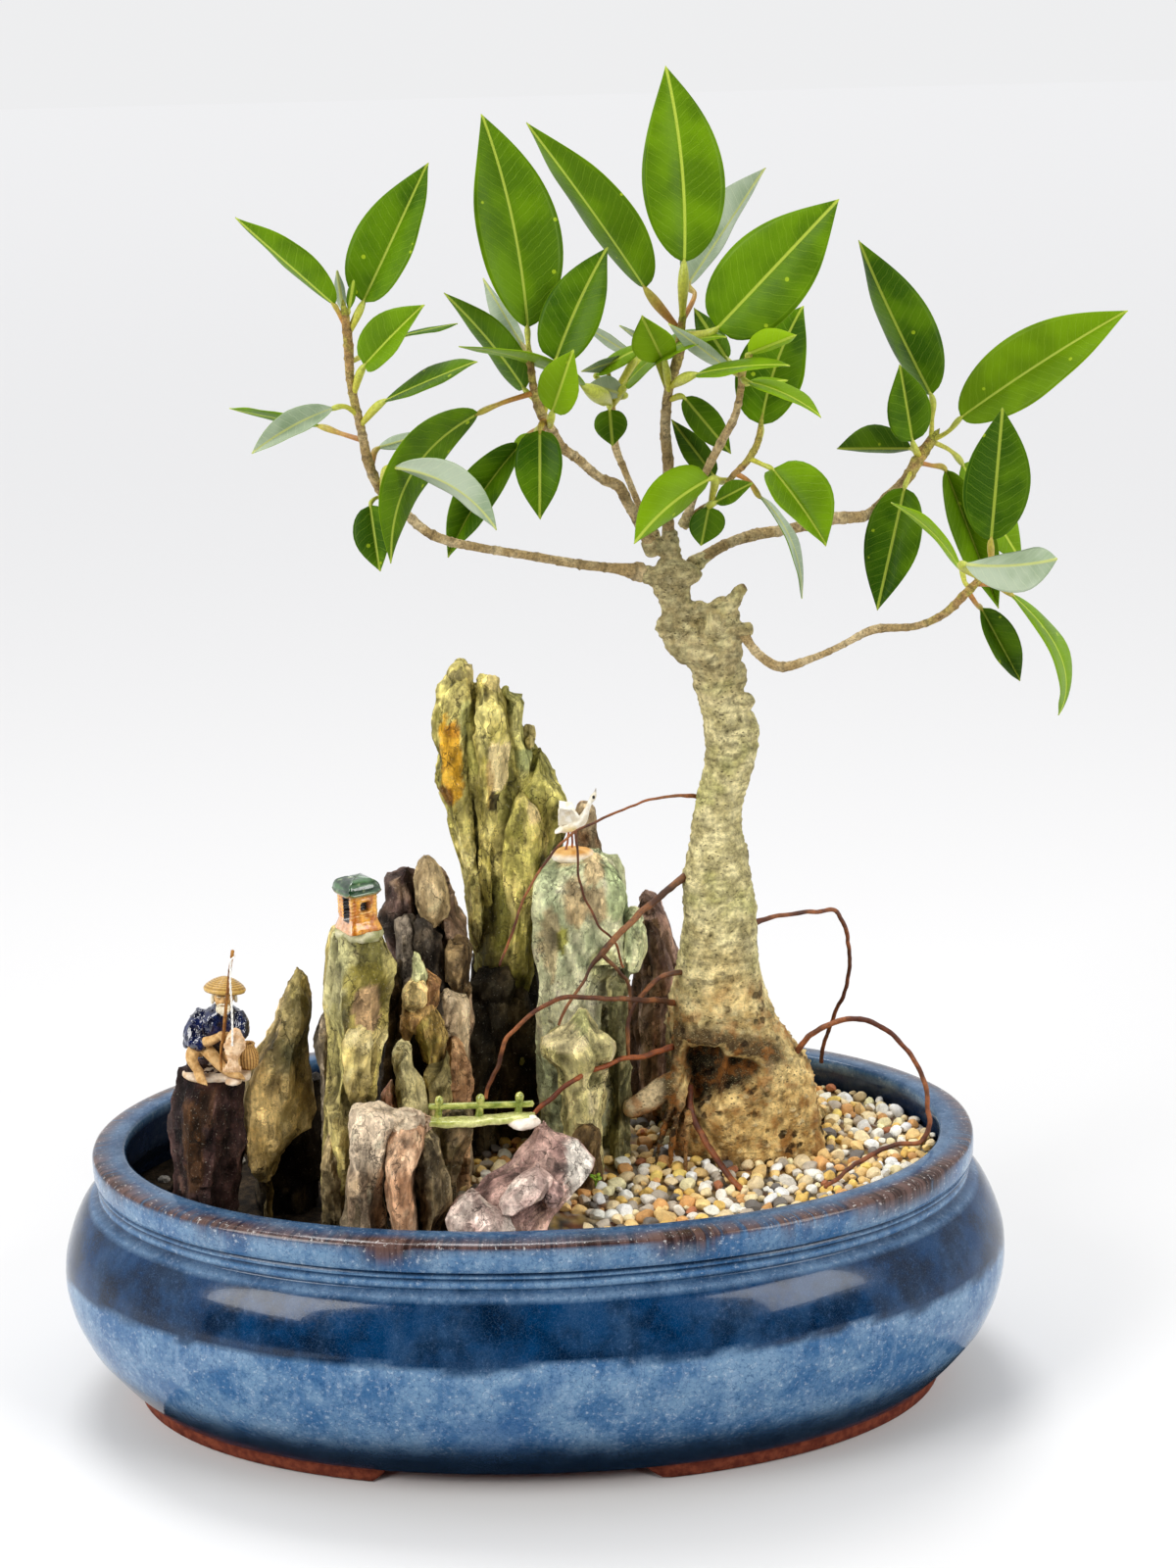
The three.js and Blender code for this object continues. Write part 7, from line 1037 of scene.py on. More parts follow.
def make_gravel(blocked):
    """Pebbles thrown on the bed: spaced so neighbours touch, in two layers."""
    g = rng(77)
    cols = [srgb(*c) for c, _ in PEBBLE]
    wts = np.array([w for _, w in PEBBLE], float)
    wts /= wts.sum()
    N, K = 180, 30
    th = np.arange(N) / N * 2 * np.pi
    pts = []
    cell = {}
    def ok(x, y, r, pts_):
        cx, cy = int(x // 8), int(y // 8)
        for i in (-1, 0, 1):
            for j in (-1, 0, 1):
                for (a, b, q) in cell.get((cx + i, cy + j), ()):
                    if (a - x) ** 2 + (b - y) ** 2 < ((q + r) * 0.80) ** 2:
                        return False
        return True
    tries = 0
    while tries < 26000 and len(pts) < 1040:
        tries += 1
        r = g.uniform(2.1, 3.7) if tries < 9000 else g.uniform(1.2, 2.3)
        x, y = g.uniform(-34, 158), g.uniform(-94, 94)
        if inside_oval(x, y, -12.0 - r * 0.8) > 1 or x < -26 + 6 * math.sin(y * 0.11) + 4 * math.sin(y * 0.31):
            continue
        if any((x - bx) ** 2 / bw**2 + (y - by) ** 2 / bh**2 < 1 for bx, by, bw, bh in blocked) or not ok(x, y, r, pts):
            continue
        cell.setdefault((int(x // 8), int(y // 8)), []).append((x, y, r))
        pts.append((x, y, r))
    shapes = [Shape(), Shape()]
    fine, plain = ico(2), ico(1)
    for n, (x, y, r) in enumerate(pts):
        iv, if_ = fine if (y < 2 and x < 118 and r > 2.0) else plain
        q = iv * np.array([g.uniform(0.85, 1.35), g.uniform(0.75, 1.1), g.uniform(0.55, 0.9)])
        q = q * (1 + 0.16 * gnoise(q * 1.1 + n * 7.7, 3) + 0.05 * gnoise(q * 3.2 + n, 4))[:, None]
        # a few flat broken faces
        for _ in range(6):
            d = nrm(g.normal(size=3))
            lim = g.uniform(0.50, 0.80)
            s = q @ d
            q = q - np.outer(np.maximum(0, s - lim), d) * 0.97
        m = np.array(Matrix.Rotation(g.uniform(0, 6.28), 3, "Z") @ Matrix.Rotation(g.uniform(-0.5, 0.5), 3, "X") @ Matrix.Rotation(g.uniform(-0.5, 0.5), 3, "Y"))
        top = GRAVEL_TOP - 1.2 - 0.6 * (SOIL_HIGH - float(ramp_z(x))) - 4.0 * float(sstep(-10, -30, x))
        z = top + g.uniform(-1.3, 0.6) - r * 0.25
        c = np.minimum(cols[g.choice(len(cols), p=wts)] * g.uniform(0.82, 1.16), 0.86)
        c = c * (1 + 0.16 * gnoise(iv * 2.0 + n * 3.3, 9))[:, None]
        shapes[n % 2].add(q @ m.T * r * 1.06 + [x, y, z], if_, c)
    for i, s in enumerate(shapes):
        ob = s.build(f"pebbles_{i + 1}", [M_PEB])
        ob.data.set_sharp_from_angle(angle=math.radians(26))
        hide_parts("gravel")
    # bed of grit under them, darkened to 0.28 to 0.62 of the pebble colours and darkest at the grain borders: painted
    # shade under and between the pebbles
    X = np.linspace(-32, 156, 80)
    rowsv, nX, nY = [], 80, 46
    hy = (RIM_B - 12.4) * np.maximum(0.001, 1 - (np.abs(X) / (RIM_A - 12.4)) ** SUP) ** (1 / SUP)
    for x, h in zip(X, hy):
        y = np.linspace(-h, h, nY)
        z = GRAVEL_TOP - 3.4 - 0.6 * (SOIL_HIGH - ramp_z(np.full(nY, x))) - 5.0 * sstep(-14, -32, np.full(nY, x))
        rowsv.append(np.column_stack([np.full(nY, x), y, z]))
    V = np.concatenate(rowsv)
    V[:, 2] += fbm(V * 0.35, 3, 21) * 1.0
    B = V.copy()
    B[:, 2] = np.minimum(V[:, 2] - 1.5, ramp_z(V[:, 0]) - 1)
    f = grid_faces(nX, nY, False, 0, True).tolist() + grid_faces(nX, nY, False, len(V)).tolist()
    rimidx = [i * nY for i in range(nX)] + [(nX - 1) * nY + j for j in range(1, nY)] + [i * nY + nY - 1 for i in range(nX - 2, -1, -1)] + [j for j in range(nY - 2, 0, -1)]
    L = len(V)
    for a, b in zip(rimidx, rimidx[1:] + rimidx[:1]):
        f.append([a, b, b + L, a + L])
    d1, d2, idv = cells(V * 0.45, 6)
    c = np.array(cols)[(idv * 7.99).astype(int)] * (0.28 + 0.34 * sstep(0.1, 0.5, d2 - d1))[:, None]
    s = Shape()
    s.add(np.concatenate([V, B]), f, np.concatenate([c, c]))
    ob = s.build("grit_bed", [M_PEB])
    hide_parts("gravel")
    return pts


# ------------------------------------------------------------------ leaves
YOUNG = {"X5": 0.75, "R": 0.55, "X13": 0.5, "Y2": 0.42, "X1": 0.25, "X16": 0.40, "W5": 0.55, "C": 0.35, "X6": 0.5, "X8": 0.4, "W6": 0.5, "W3": 0.5, "Q": 0.55, "U2": 0.5,
         "D": 0.15, "M": 0.22, "L": 0.2, "X3": 0.2, "Y6": 0.6, "Y10": 0.45, "A": 0.3, "Y7a": 0.25, "Y7b": 0.35, "H": 0.2, "E": 0.3, "X7": 0.4}
# painted shade: leaves that sit in shadow get a lower brightness, multiplied into their colour
PAINTED_LEAF_SHADE = {"B": 0.86, "D": 0.72, "X12": 0.5, "X11": 0.62, "Y4": 0.6, "Y5": 0.72, "T": 0.72, "N": 0.72, "J": 0.68, "U": 0.78, "Y1": 0.78, "X14": 0.6, "X15": 0.75, "H": 0.75, "Y8": 0.75, "Y11": 0.72, "P": 0.82, "X10": 0.72, "Y3": 0.8, "Y7a": 0.8, "S": 0.6}
BROWN_STALK = {"A", "E", "T", "U", "M", "X2", "Y7a", "Y8", "Y10", "Y11", "L2", "H", "X17", "G"}


def leaf_parts(row, seed):
    """Blade and stalk of one leaf: midrib curve, two folded halves that bow and wave a little, drawn-out tip."""
    name, _, side, B, C, T, w, fl, fr, pos, eb, stalk = row[:12]
    B, C, T = map(lambda q: np.array(q, float), (B, C, T))
    g = rng(900 + seed)
    L = np.linalg.norm(T - B)
    nv = int(np.clip(L / 2.0, 14, 40))
    nu = 8 if L > 26 else 6
    t = np.linspace(0, 1, nv)
    t = 0.5 * t + 0.5 * (0.5 - 0.5 * np.cos(np.pi * t))
    M = (1 - t)[:, None] ** 2 * B + (2 * t * (1 - t))[:, None] * C + (t**2)[:, None] * T
    D = nrm(2 * (1 - t)[:, None] * (C - B) + (2 * t)[:, None] * (T - C))
    E = nrm(EYE - M)
    X = nrm(np.cross(E, D))
    A = nrm(D * np.sum(E * D, 1)[:, None] - E)
    k = math.log(0.5) / math.log(pos)
    ex = np.where(t < pos, eb, 0.85 + 0.15 * np.clip((t - 0.65) / 0.35, 0, 1))
    wid = w * np.maximum(0, np.sin(np.pi * t**k)) ** ex
    # short drip tip
    wid = np.maximum(wid, 0.5 * (1 - sstep(0.985, 1.0, t)) + 0.05)
    wid[0] = 0.6
    up = 1.0 if side == "u" else -1.0
    amp = min(1.1, 0.022 * L)
    ph = g.uniform(0, 6.28, 2)
    fr_, fl_ = fr, fl
    cols, tops, bots, uvs = [], [], [], []
    S = np.linspace(0, 1, nu + 1)
    Lt, Lb, Lu, Lc = [], [], [], []
    bright = PAINTED_LEAF_SHADE.get(name, 0.95) * g.uniform(0.95, 1.05)
    young = YOUNG.get(name, 0.12) + g.uniform(-0.06, 0.06)
    grid_t, grid_b, grid_u, grid_c = [], [], [], []
    for sgn, ang in ((1, fl_), (-1, fr_)):
        cs, sn = math.cos(ang), math.sin(ang)
        dr = X * (sgn * cs) + A * sn
        nn = -A * cs + X * (sgn * sn)
        cols_t = []
        for s in S:
            bow = s * (1 - s) * 0.16 * wid * up + (s**2) * 0.05 * wid * up * -1
            wave = amp * (0.6 * np.sin(7.0 * t + ph[0]) + 0.4 * np.sin(15.0 * t + ph[1] + sgn)) * s**2 * np.sin(np.pi * t) * 0.55
            p = M + dr * (wid * s)[:, None] + nn * (bow + wave)[:, None]
            rib = np.exp(-((s * wid) / 0.55) ** 2) * (1 - 0.75 * t)
            th_top = 0.16 - 0.16 * rib
            th_bot = 0.16 + 0.62 * rib
            if s == 1:
                th_top = th_top * 0.5
                th_bot = th_bot * 0.5
            n2 = nn * up
            cols_t.append((p + n2 * np.asarray(th_top)[..., None], p - n2 * np.asarray(th_bot)[..., None], np.column_stack([sgn * s * wid, t * L]), s))
        if sgn == 1:
            left = cols_t[::-1]
        else:
            right = cols_t
    # average the two midrib samples
    mt = (left[-1][0] + right[0][0]) / 2
    mb = (left[-1][1] + right[0][1]) / 2
    seq = left[:-1] + [(mt, mb, right[0][2], 0.0)] + right[1:]
    m = len(seq)
    top = np.stack([q[0] for q in seq], 1).reshape(-1, 3)
    bot = np.stack([q[1] for q in seq], 1).reshape(-1, 3)
    uv = np.stack([q[2] for q in seq], 1).reshape(-1, 2)
    ss = np.tile([q[3] for q in seq], nv)
    f_top = grid_faces(nv, m, False, 0, up < 0)
    f_bot = grid_faces(nv, m, False, nv * m, up > 0)
    rim = [i * m for i in range(nv)] + [(nv - 1) * m + j for j in range(1, m)] + [i * m + m - 1 for i in range(nv - 2, -1, -1)] + [j for j in range(m - 2, 0, -1)]
    o = nv * m
    f_rim = [[a, b, b + o, a + o] for a, b in zip(rim, rim[1:] + rim[:1])]
    if up < 0:
        f_rim = [q[::-1] for q in f_rim]
    col = np.column_stack([np.full(nv * m, bright), np.full(nv * m, young), ss])
    # stalk: from inside the stem to the blade's base, running a little into the midrib
    P = [np.array(q, float) for q in stalk] + [M[0], M[1]]
    r = 0.85 if L > 26 else 0.68
    rows = [[*p, r * (1.25 if i == 0 else 1.0 if i < len(P) - 1 else 0.5)] for i, p in enumerate(P)]
    sv, sf, st, _, _ = tube_arrays(rows, 8, max(10, 5 * len(rows)), 0.05, seed)
    a = srgb(186, 182, 60) if name not in BROWN_STALK else srgb(176, 120, 52)
    b = srgb(178, 186, 70) if name not in BROWN_STALK else srgb(172, 160, 60)
    sc = lerp(a[None, :], b[None, :], sstep(0.2, 0.95, st)[:, None])
    return (np.concatenate([top, bot]), f_top.tolist(), f_bot.tolist(), f_rim, np.concatenate([uv, uv]), np.concatenate([col, col])), (sv, sf, sc)


def make_leaves():
    own = set(OWN)
    groups = {}
    for i, row in enumerate(LEAVES):
        key = "leaf_" + row[0].lower() if row[0] in own else row[1].replace("branch", "shoot")
        groups.setdefault(key, []).append((i, row))
    for key, rows in groups.items():
        sh = Shape()
        for i, row in rows:
            (v, ft, fb, fr, uv, col), (sv, sf, sc) = leaf_parts(row, i)
            n0 = sh.n
            sh.add(v, ft, col, uv, 0)
            for f in fb:
                sh.f.append([q + n0 for q in f])
                sh.m.append(1)
            for f in fr:
                sh.f.append([q + n0 for q in f])
                sh.m.append(0)
            sh.add(sv, sf, sc, None, 2)
        nm = key if key.startswith("leaf_") else key + "_leaves"
        ob = sh.build(nm + "_blade" if key.startswith("leaf_") else nm, [M_TOP, M_UND, M_STALK])
        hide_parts(key)


# ------------------------------------------------------------------ stems
SPLIT = {"branch_left": 7, "branch_upper_left": 5, "branch_inner": 3, "branch_centre": 3, "branch_centre_right": 4, "branch_right": 6, "branch_lower_right": 8, "shoot_low": 0}


def make_stems():
    for k, pts in STEMS.items():
        seed = len(k) * 7
        P = [list(p) for p in pts]
        # the foot of each branch swells into what carries it
        P[0][3] *= 1.35
        S = spline(P, max(50, int(np.sum(np.linalg.norm(np.diff(np.array(P)[:, :3], axis=0), axis=1)) / 0.9)))
        n = len(S)
        L = np.r_[0, np.cumsum(np.linalg.norm(np.diff(S[:, :3], axis=0), axis=1))]
        g = rng(seed)
        rad = np.ones(n)
        pos = 3.0
        marks = []
        while pos < L[-1]:
            frac = pos / L[-1]
            marks.append(pos)
            pos += lerp(11.0, 5.0, frac) * g.uniform(0.7, 1.3)
        for mk in marks:
            rad += 0.16 * np.exp(-((L - mk) / 0.55) ** 2) - 0.05 * np.exp(-((L - mk - 1.2) / 0.7) ** 2)
        rows = np.column_stack([S[:, :3], S[:, 3] * rad * (0.74 if k == "branch_lower_right" else 0.90)])
        cut = 0.0 if k == "shoot_low" else None
        sides = 22
        C, R = rows[:, :3], rows[:, 3]
        T, U, W = frames(C)
        a = np.arange(sides) / sides * 2 * np.pi
        V = C[:, None, :] + R[:, None, None] * (np.cos(a)[None, :, None] * U[:, None, :] + np.sin(a)[None, :, None] * W[:, None, :])
        q = V.reshape(-1, 3)
        d = nrm(q - np.repeat(C, sides, 0))
        bump = fbm(q * 0.45, 3, seed) * 0.13 + fbm(q * 1.5, 2, seed + 3) * 0.06
        # scattered raised pores
        d1, _, idv = cells(q * 0.42, seed)
        bump += 0.16 * sstep(0.30, 0.12, d1) * (idv > 0.55)
        q = q + d * (bump * np.repeat(R, sides))[:, None]
        tt = np.repeat(L / L[-1], sides)
        age = 1 - sstep(0.62, 1.0, tt) if k != "shoot_low" else 0.55 * (1 - sstep(0.2, 0.9, tt))
        old = lerp(srgb(170, 144, 98), srgb(212, 190, 146), sstep(-0.2, 0.4, fbm(q * 0.12, 3, seed + 1))[:, None])
        yng = lerp(srgb(178, 166, 74), srgb(166, 130, 76), sstep(-0.3, 0.3, fbm(q * 0.2, 2, seed + 2))[:, None])
        c = lerp(yng, old, age[:, None])
        ring = np.zeros(n)
        for mk in marks:
            ring += np.exp(-((L - mk - 0.7) / 0.4) ** 2)
        c = c * (1 - 0.45 * np.clip(np.repeat(ring, sides), 0, 1))[:, None]
        f = grid_faces(n, sides)
        # bud at the tip
        cut_ring = int(np.searchsorted(L, L[-1] * (1.0 if False else 1.0)))
        bits = [(0, n)]
        if k != "shoot_low":
            sp = np.array(pts)[: SPLIT[k] + 1, :3]
            ls = float(np.sum(np.linalg.norm(np.diff(sp, axis=0), axis=1)))
            i = int(np.searchsorted(L, ls))
            bits = [(0, i + 1), (i, n)]
        for b, (i0, i1) in enumerate(bits):
            sh = Shape()
            vv = q[i0 * sides:i1 * sides]
            ff = grid_faces(i1 - i0, sides).tolist()
            cc = c[i0 * sides:i1 * sides]
            last = b == len(bits) - 1
            if last:
                # pointed bud
                tip, r0 = C[-1], R[-1]
                rows_b = []
                for s_, rr in ((0.8, 1.0), (2.2, 0.86), (4.0, 0.5), (5.4, 0.16)):
                    rows_b.append(tip + T[-1] * s_ + 0)
                    ringv = rows_b[-1] + r0 * rr * (np.cos(a)[:, None] * U[-1] + np.sin(a)[:, None] * W[-1])
                    vv = np.concatenate([vv, ringv])
                    cc = np.concatenate([cc, np.tile(srgb(150, 150, 56), (sides, 1))])
                ff = grid_faces(i1 - i0 + 4, sides).tolist()
                nn = len(vv)
                vv = np.concatenate([vv, [tip + T[-1] * 6.0]])
                cc = np.concatenate([cc, [srgb(120, 96, 44)]])
                o = (i1 - i0 + 3) * sides
                ff += [[nn, o + j, o + (j + 1) % sides] for j in range(sides)]
            else:
                nn = len(vv)
                vv = np.concatenate([vv, [C[i1 - 1]]])
                cc = np.concatenate([cc, [cc[-1]]])
                o = (i1 - i0 - 1) * sides
                ff += [[nn, o + j, o + (j + 1) % sides] for j in range(sides)]
            nn = len(vv)
            vv = np.concatenate([vv, [C[i0]]])
            cc = np.concatenate([cc, [cc[0]]])
            ff += [[nn, (j + 1) % sides, j] for j in range(sides)]
            sh.add(vv, ff, cc)
            young = last
            node = (k if not last else k.replace("branch", "shoot")) if k != "shoot_low" else k
            ob = sh.build(node + ("_stem" if young else "_wood"), [M_TWIG])
            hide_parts(node)


# ------------------------------------------------------------------ trunk
def make_trunk():
    TR = np.array(TRUNK)[::-1]                      # from the ground up
    S = spline(TR, 150)
    n, sides = len(S), 72
    a = np.arange(sides) / sides * 2 * np.pi
    z = S[:, 2]
    V = []
    for x, y, zz, w in S:
        lobes = 1 + sstep(128, 86, zz) * (0.055 * np.cos(3 * a + 0.7) + 0.045 * np.cos(5 * a + 2.1)) * (np.abs(np.cos(a)) < 0.97)
        sy = lerp(0.82, 0.9, float(sstep(100, 150, zz)))
        V.append(np.column_stack([x + w * np.cos(a) * lobes, y + w * sy * np.sin(a) * lobes, np.full(sides, zz)]))
    V = np.concatenate(V)
    V = np.concatenate([V, [S[0, :3] - [0, 0, 2], S[-1, :3] + [0, 0, 1.5]]])
    f = grid_faces(n, sides).tolist()
    k0, k1, o = n * sides, n * sides + 1, (n - 1) * sides
    for j in range(sides):
        f.append([k0, (j + 1) % sides, j])
        f.append([k1, o + j, o + (j + 1) % sides])
    parts = [(V, f)]
    for pts in (SHOULDER, FORK, STUB):
        v, ff, *_ = tube_arrays(pts, 28, 40)
        parts.append((v, ff))
    # collars where branches leave, knobs and burrs
    tops = {"branch_upper_left": 0.5, "branch_inner": 0.5, "branch_centre": 0.5, "branch_centre_right": 0.5, "branch_right": 0.5, "branch_lower_right": 0.5}
    for k in tops:
        p = STEMS[k]
        q = [[*p[0][:3], p[0][3] * 1.7], [*lerp(np.array(p[0][:3]), np.array(p[1][:3]), 0.45), p[0][3] * 1.15]]
        v, ff, *_ = tube_arrays(q, 20, 10)
        parts.append((v, ff))
    for c, r in (((55.5, 0.5, 298.5), (4.2, 4, 5.2)), ((62.0, 1.0, 318), (6.2, 5.5, 4.5)), ((76.5, 1, 296.5), (6.0, 6.4, 6.0)), ((71.5, -3.5, 289), (5.0, 4.5, 4.5)),
                 ((81.0, 3, 279), (3.6, 5, 6)), ((57.3, 3, 306), (3.2, 4, 4)), ((67.5, 0, 305.5), (3.0, 5, 3.4)), ((84, -2, 270), (3.0, 3.5, 3.5)),
                 ((60, -4, 98), (7, 7, 9)), ((94, -3, 98), (9, 8, 9)), ((78, -9, 97), (11, 7, 8)), ((66, -8, 101), (8, 6, 10)), ((95, 18, 98), (10, 8, 9)), ((60, 20, 98), (10, 8, 10))):
        parts.append(sphere(c, r, 20, 14))
    # surface roots running off the flare into the pebbles
    for rt in ([[60, 20, 102, 6], [50, 31, 95, 4], [42, 40, 91, 2.4], [36, 46, 88, 1]], [[84, 24, 102, 6], [86, 36, 95, 4], [90, 46, 91, 2.3], [94, 54, 88, 1]],
               [[100, 14, 102, 6], [110, 24, 95, 4], [117, 32, 91, 2.2], [122, 38, 88.5, 1]],
               # old broken-off limb that points down to the left, and fine roots beside the hollow
               [[58, -2, 121, 4.8], [49, -7, 118.4, 4.7], [42, -11, 115.4, 4.3], [37.0, -13, 113.2, 3.9]],
               [[60, -11, 124, 1.6], [56.5, -14, 114, 1.4], [54.0, -17, 104, 1.2], [52.5, -19, 94, 1.0], [52, -20, 88, 0.8]],
               [[62, -13, 118, 1.3], [59.5, -16, 108, 1.3], [58.5, -18, 98, 1.1], [58, -20, 89, 0.9]],
               [[57, -9, 120, 1.5], [52, -12, 110, 1.3], [48.5, -16, 100, 1.1], [46, -19, 89, 0.8]]):
        v, ff, *_ = tube_arrays(rt, 14, 24, 0.12, 3)
        parts.append((v, ff))
    V, F, N = fused(parts, 0.92, 7, "trunk_skin")
    # carved hollow: outline on the front in x, z
    poly = np.array([(58.3, 140.1), (61.3, 138.8), (72.5, 139.3), (76.2, 137.3), (85.4, 134.2), (89.1, 132.1), (89.5, 126.5), (85.0, 122.3), (80.1, 118.4), (75.2, 117.3), (73.3, 116.2), (68.4, 113.1), (64.7, 111.2), (60.9, 111.7), (58.4, 115.8), (57.4, 126.2)])
    P2 = V[:, [0, 2]] + np.column_stack([fbm(V * 0.16, 3, 51), fbm(V * 0.16 + 9, 3, 52)]) * 2.0
    d = np.full(len(V), 1e9)
    ins = np.zeros(len(V), bool)
    for i in range(len(poly)):
        p, q = poly[i], poly[(i + 1) % len(poly)]
        e = q - p
        t = np.clip(((P2 - p) @ e) / (e @ e), 0, 1)
        d = np.minimum(d, np.linalg.norm(P2 - (p + t[:, None] * e), axis=1))
        cond = ((p[1] > P2[:, 1]) != (q[1] > P2[:, 1])) & (P2[:, 0] < (q[0] - p[0]) * (P2[:, 1] - p[1]) / (q[1] - p[1] + 1e-12) + p[0])
        ins ^= cond
    front = V[:, 1] < -2
    hole = np.where(ins & front, sstep(0, 5.0, d), 0)
    tongue = np.exp(-(((V[:, 0] - 73.4 - (V[:, 2] - 124) * 0.12) / 1.5) ** 2))
    floor_r = sstep(73.4, 75.4, V[:, 0])
    depth = hole * (13.0 - 5.0 * floor_r) * (1 - 0.65 * tongue) * (1 + 0.25 * fbm(V * 0.3, 3, 61)) + ins * front * floor_r * 1.2 * fbm(V * 0.55, 3, 62)
    rim = np.where(front, np.exp(-((d - 1.2) / 1.7) ** 2) * ~ins, 0) * (0.6 + 0.4 * sstep(120, 134, V[:, 2]))
    # bark relief
    low = sstep(175, 110, V[:, 2])
    q = V * np.array([1, 1, 1.0])
    rel = fbm(q * 0.06, 3, 11) * 0.9 + fbm(q * np.array([0.30, 0.30, 0.17]), 4, 12) * 0.55 + fbm(q * 0.9, 2, 13) * 0.16
    hr = sstep(0.45, 0.85, ridged(q * np.array([0.05, 0.05, 0.30]), 2, 14)) * 0.48
    d1, d2, idv = cells(q * np.array([0.20, 0.20, 0.30]), 15)
    warts = sstep(0.34, 0.10, d1) * (idv > 0.45) * (0.45 + 0.9 * low)
    d1b, _, idb = cells(q * np.array([0.42, 0.42, 0.55]), 16)
    pim = sstep(0.34, 0.12, d1b) * (idb > 0.60) * 0.38
    top = sstep(268, 285, V[:, 2])
    knots = 0.9 * top * fbm(q * 0.16, 3, 19)
    base_r = sstep(105, 92, V[:, 2])
    rel = rel * (0.60 + 1.0 * low) + hr * (1 - 0.4 * low) + warts * (0.62 + 0.5 * low) + pim + rim * 1.9 * (0.7 + 0.8 * fbm(q * 0.4, 2, 17)) + knots
    # knot holes and eye scars on the front
    for (cx, cz, rr, dp) in ((68.6, 206.5, 3.6, 1.3), (69.4, 181.0, 1.5, 1.6), (63.0, 146.0, 1.6, 1.6), (76, 160, 1.2, 1.0), (66, 233, 1.4, 0.8), (74, 262, 1.6, 1.0), (61.5, 262, 1.5, 0.9)):
        e = np.hypot((V[:, 0] - cx) * 0.85, V[:, 2] - cz)
        fr = V[:, 1] < 4
        rel += fr * (-dp * np.exp(-(e / (rr * 0.55)) ** 2) + 0.8 * dp * np.exp(-((e - rr) / (rr * 0.35)) ** 2) * 0.5)
    V2 = V + N * rel[:, None]
    V2[:, 1] += depth
    V2[:, 2] = np.maximum(V2[:, 2], 86.0 - 0.6)
    # colour
    zz = V[:, 2]
    nA = fbm(q * 0.05, 3, 71)
    nB = fbm(q * 0.16, 4, 72)
    olive = lerp(srgb(186, 174, 122), srgb(232, 220, 166), sstep(-0.25, 0.3, nB)[:, None])
    green = srgb(164, 168, 84)
    ochre = lerp(srgb(172, 126, 60), srgb(252, 212, 134), sstep(-0.3, 0.3, nB)[:, None])
    c = lerp(olive, green[None, :], (0.55 * sstep(0.0, 0.4, nA) * sstep(150, 200, zz))[:, None])
    lowc = np.clip(sstep(185, 105, zz + nA * 40), 0, 1)
    c = lerp(c, ochre, (lowc * 0.8)[:, None])
    topc = sstep(262, 285, zz + nB * 18)
    c = lerp(c, lerp(srgb(150, 128, 88), srgb(190, 178, 134), sstep(-0.2, 0.3, fbm(q * 0.3, 2, 74))[:, None]), (topc * 0.6)[:, None])
    stain = sstep(0.12, 0.45, fbm(q * np.array([0.12, 0.12, 0.05]), 3, 75)) * 0.45
    c = lerp(c, srgb(122, 112, 74)[None, :], stain[:, None])
    c = lerp(c, srgb(104, 98, 66)[None, :], (sstep(0.30, 0.46, hr) * 0.45 * (1 - low))[:, None])
    blot = sstep(0.16, 0.34, fbm(q * np.array([0.30, 0.30, 0.22]), 4, 84)) * low
    c = lerp(c, srgb(92, 62, 30)[None, :], (blot * 0.60)[:, None])
    speck = sstep(0.36, 0.50, fbm(q * 0.8, 2, 79))
    c = lerp(c, srgb(70, 62, 40)[None, :], (speck * 0.5)[:, None])
    # painted shade: darker where the bark relief sinks
    c = lerp(c, srgb(96, 92, 62)[None, :], (sstep(0.05, 0.9, -rel) * 0.55)[:, None])
    c = lerp(c, srgb(230, 220, 178)[None, :], (np.clip(warts + pim, 0, 1) * 0.45)[:, None])
    band = sstep(9.5, 4.0, d + 2.0 * fbm(q * 0.3, 2, 82)) * ~ins * front * sstep(126, 132, V[:, 2])
    c = lerp(c, lerp(srgb(66, 48, 28), srgb(150, 116, 70), np.clip(warts + pim + 0.3 * fbm(q * 0.5, 2, 80), 0, 1)[:, None]), (band * 0.9)[:, None])
    fib = sstep(63, 58, V[:, 0]) * sstep(122, 116, V[:, 2]) * (V[:, 1] < 0)
    c = lerp(c, lerp(srgb(84, 46, 26), srgb(150, 96, 56), sstep(-0.3, 0.3, fbm(q * np.array([0.6, 0.6, 0.15]), 2, 83))[:, None]), (fib * 0.75)[:, None])
    moss = sstep(-0.05, 0.35, fbm(q * 0.14, 3, 76) + 0.35 * sstep(60, 44, V[:, 0])) * sstep(112, 104, np.abs(zz - 125) + 70) * sstep(56, 50, V[:, 0])
    c = lerp(c, srgb(44, 50, 22)[None, :], (np.clip(moss, 0, 1) * 0.85)[:, None])
    limb = sstep(59.0, 55.0, V[:, 0]) * sstep(136, 129, V[:, 2])
    limb_c = lerp(srgb(50, 34, 20), srgb(150, 116, 70), sstep(0.02, 0.42, fbm(q * 0.22, 3, 87))[:, None])
    c = lerp(c, limb_c, (limb * 0.82)[:, None])
    dd, _, did = cells(q * 0.75, 85)
    dots = sstep(0.36, 0.22, dd) * (did > 0.35) * sstep(0.0, 0.3, fbm(q * np.array([0.10, 0.10, 0.04]), 2, 86)) * (1 - 0.6 * low)
    c = lerp(c, srgb(44, 44, 26)[None, :], (dots * 0.8)[:, None])
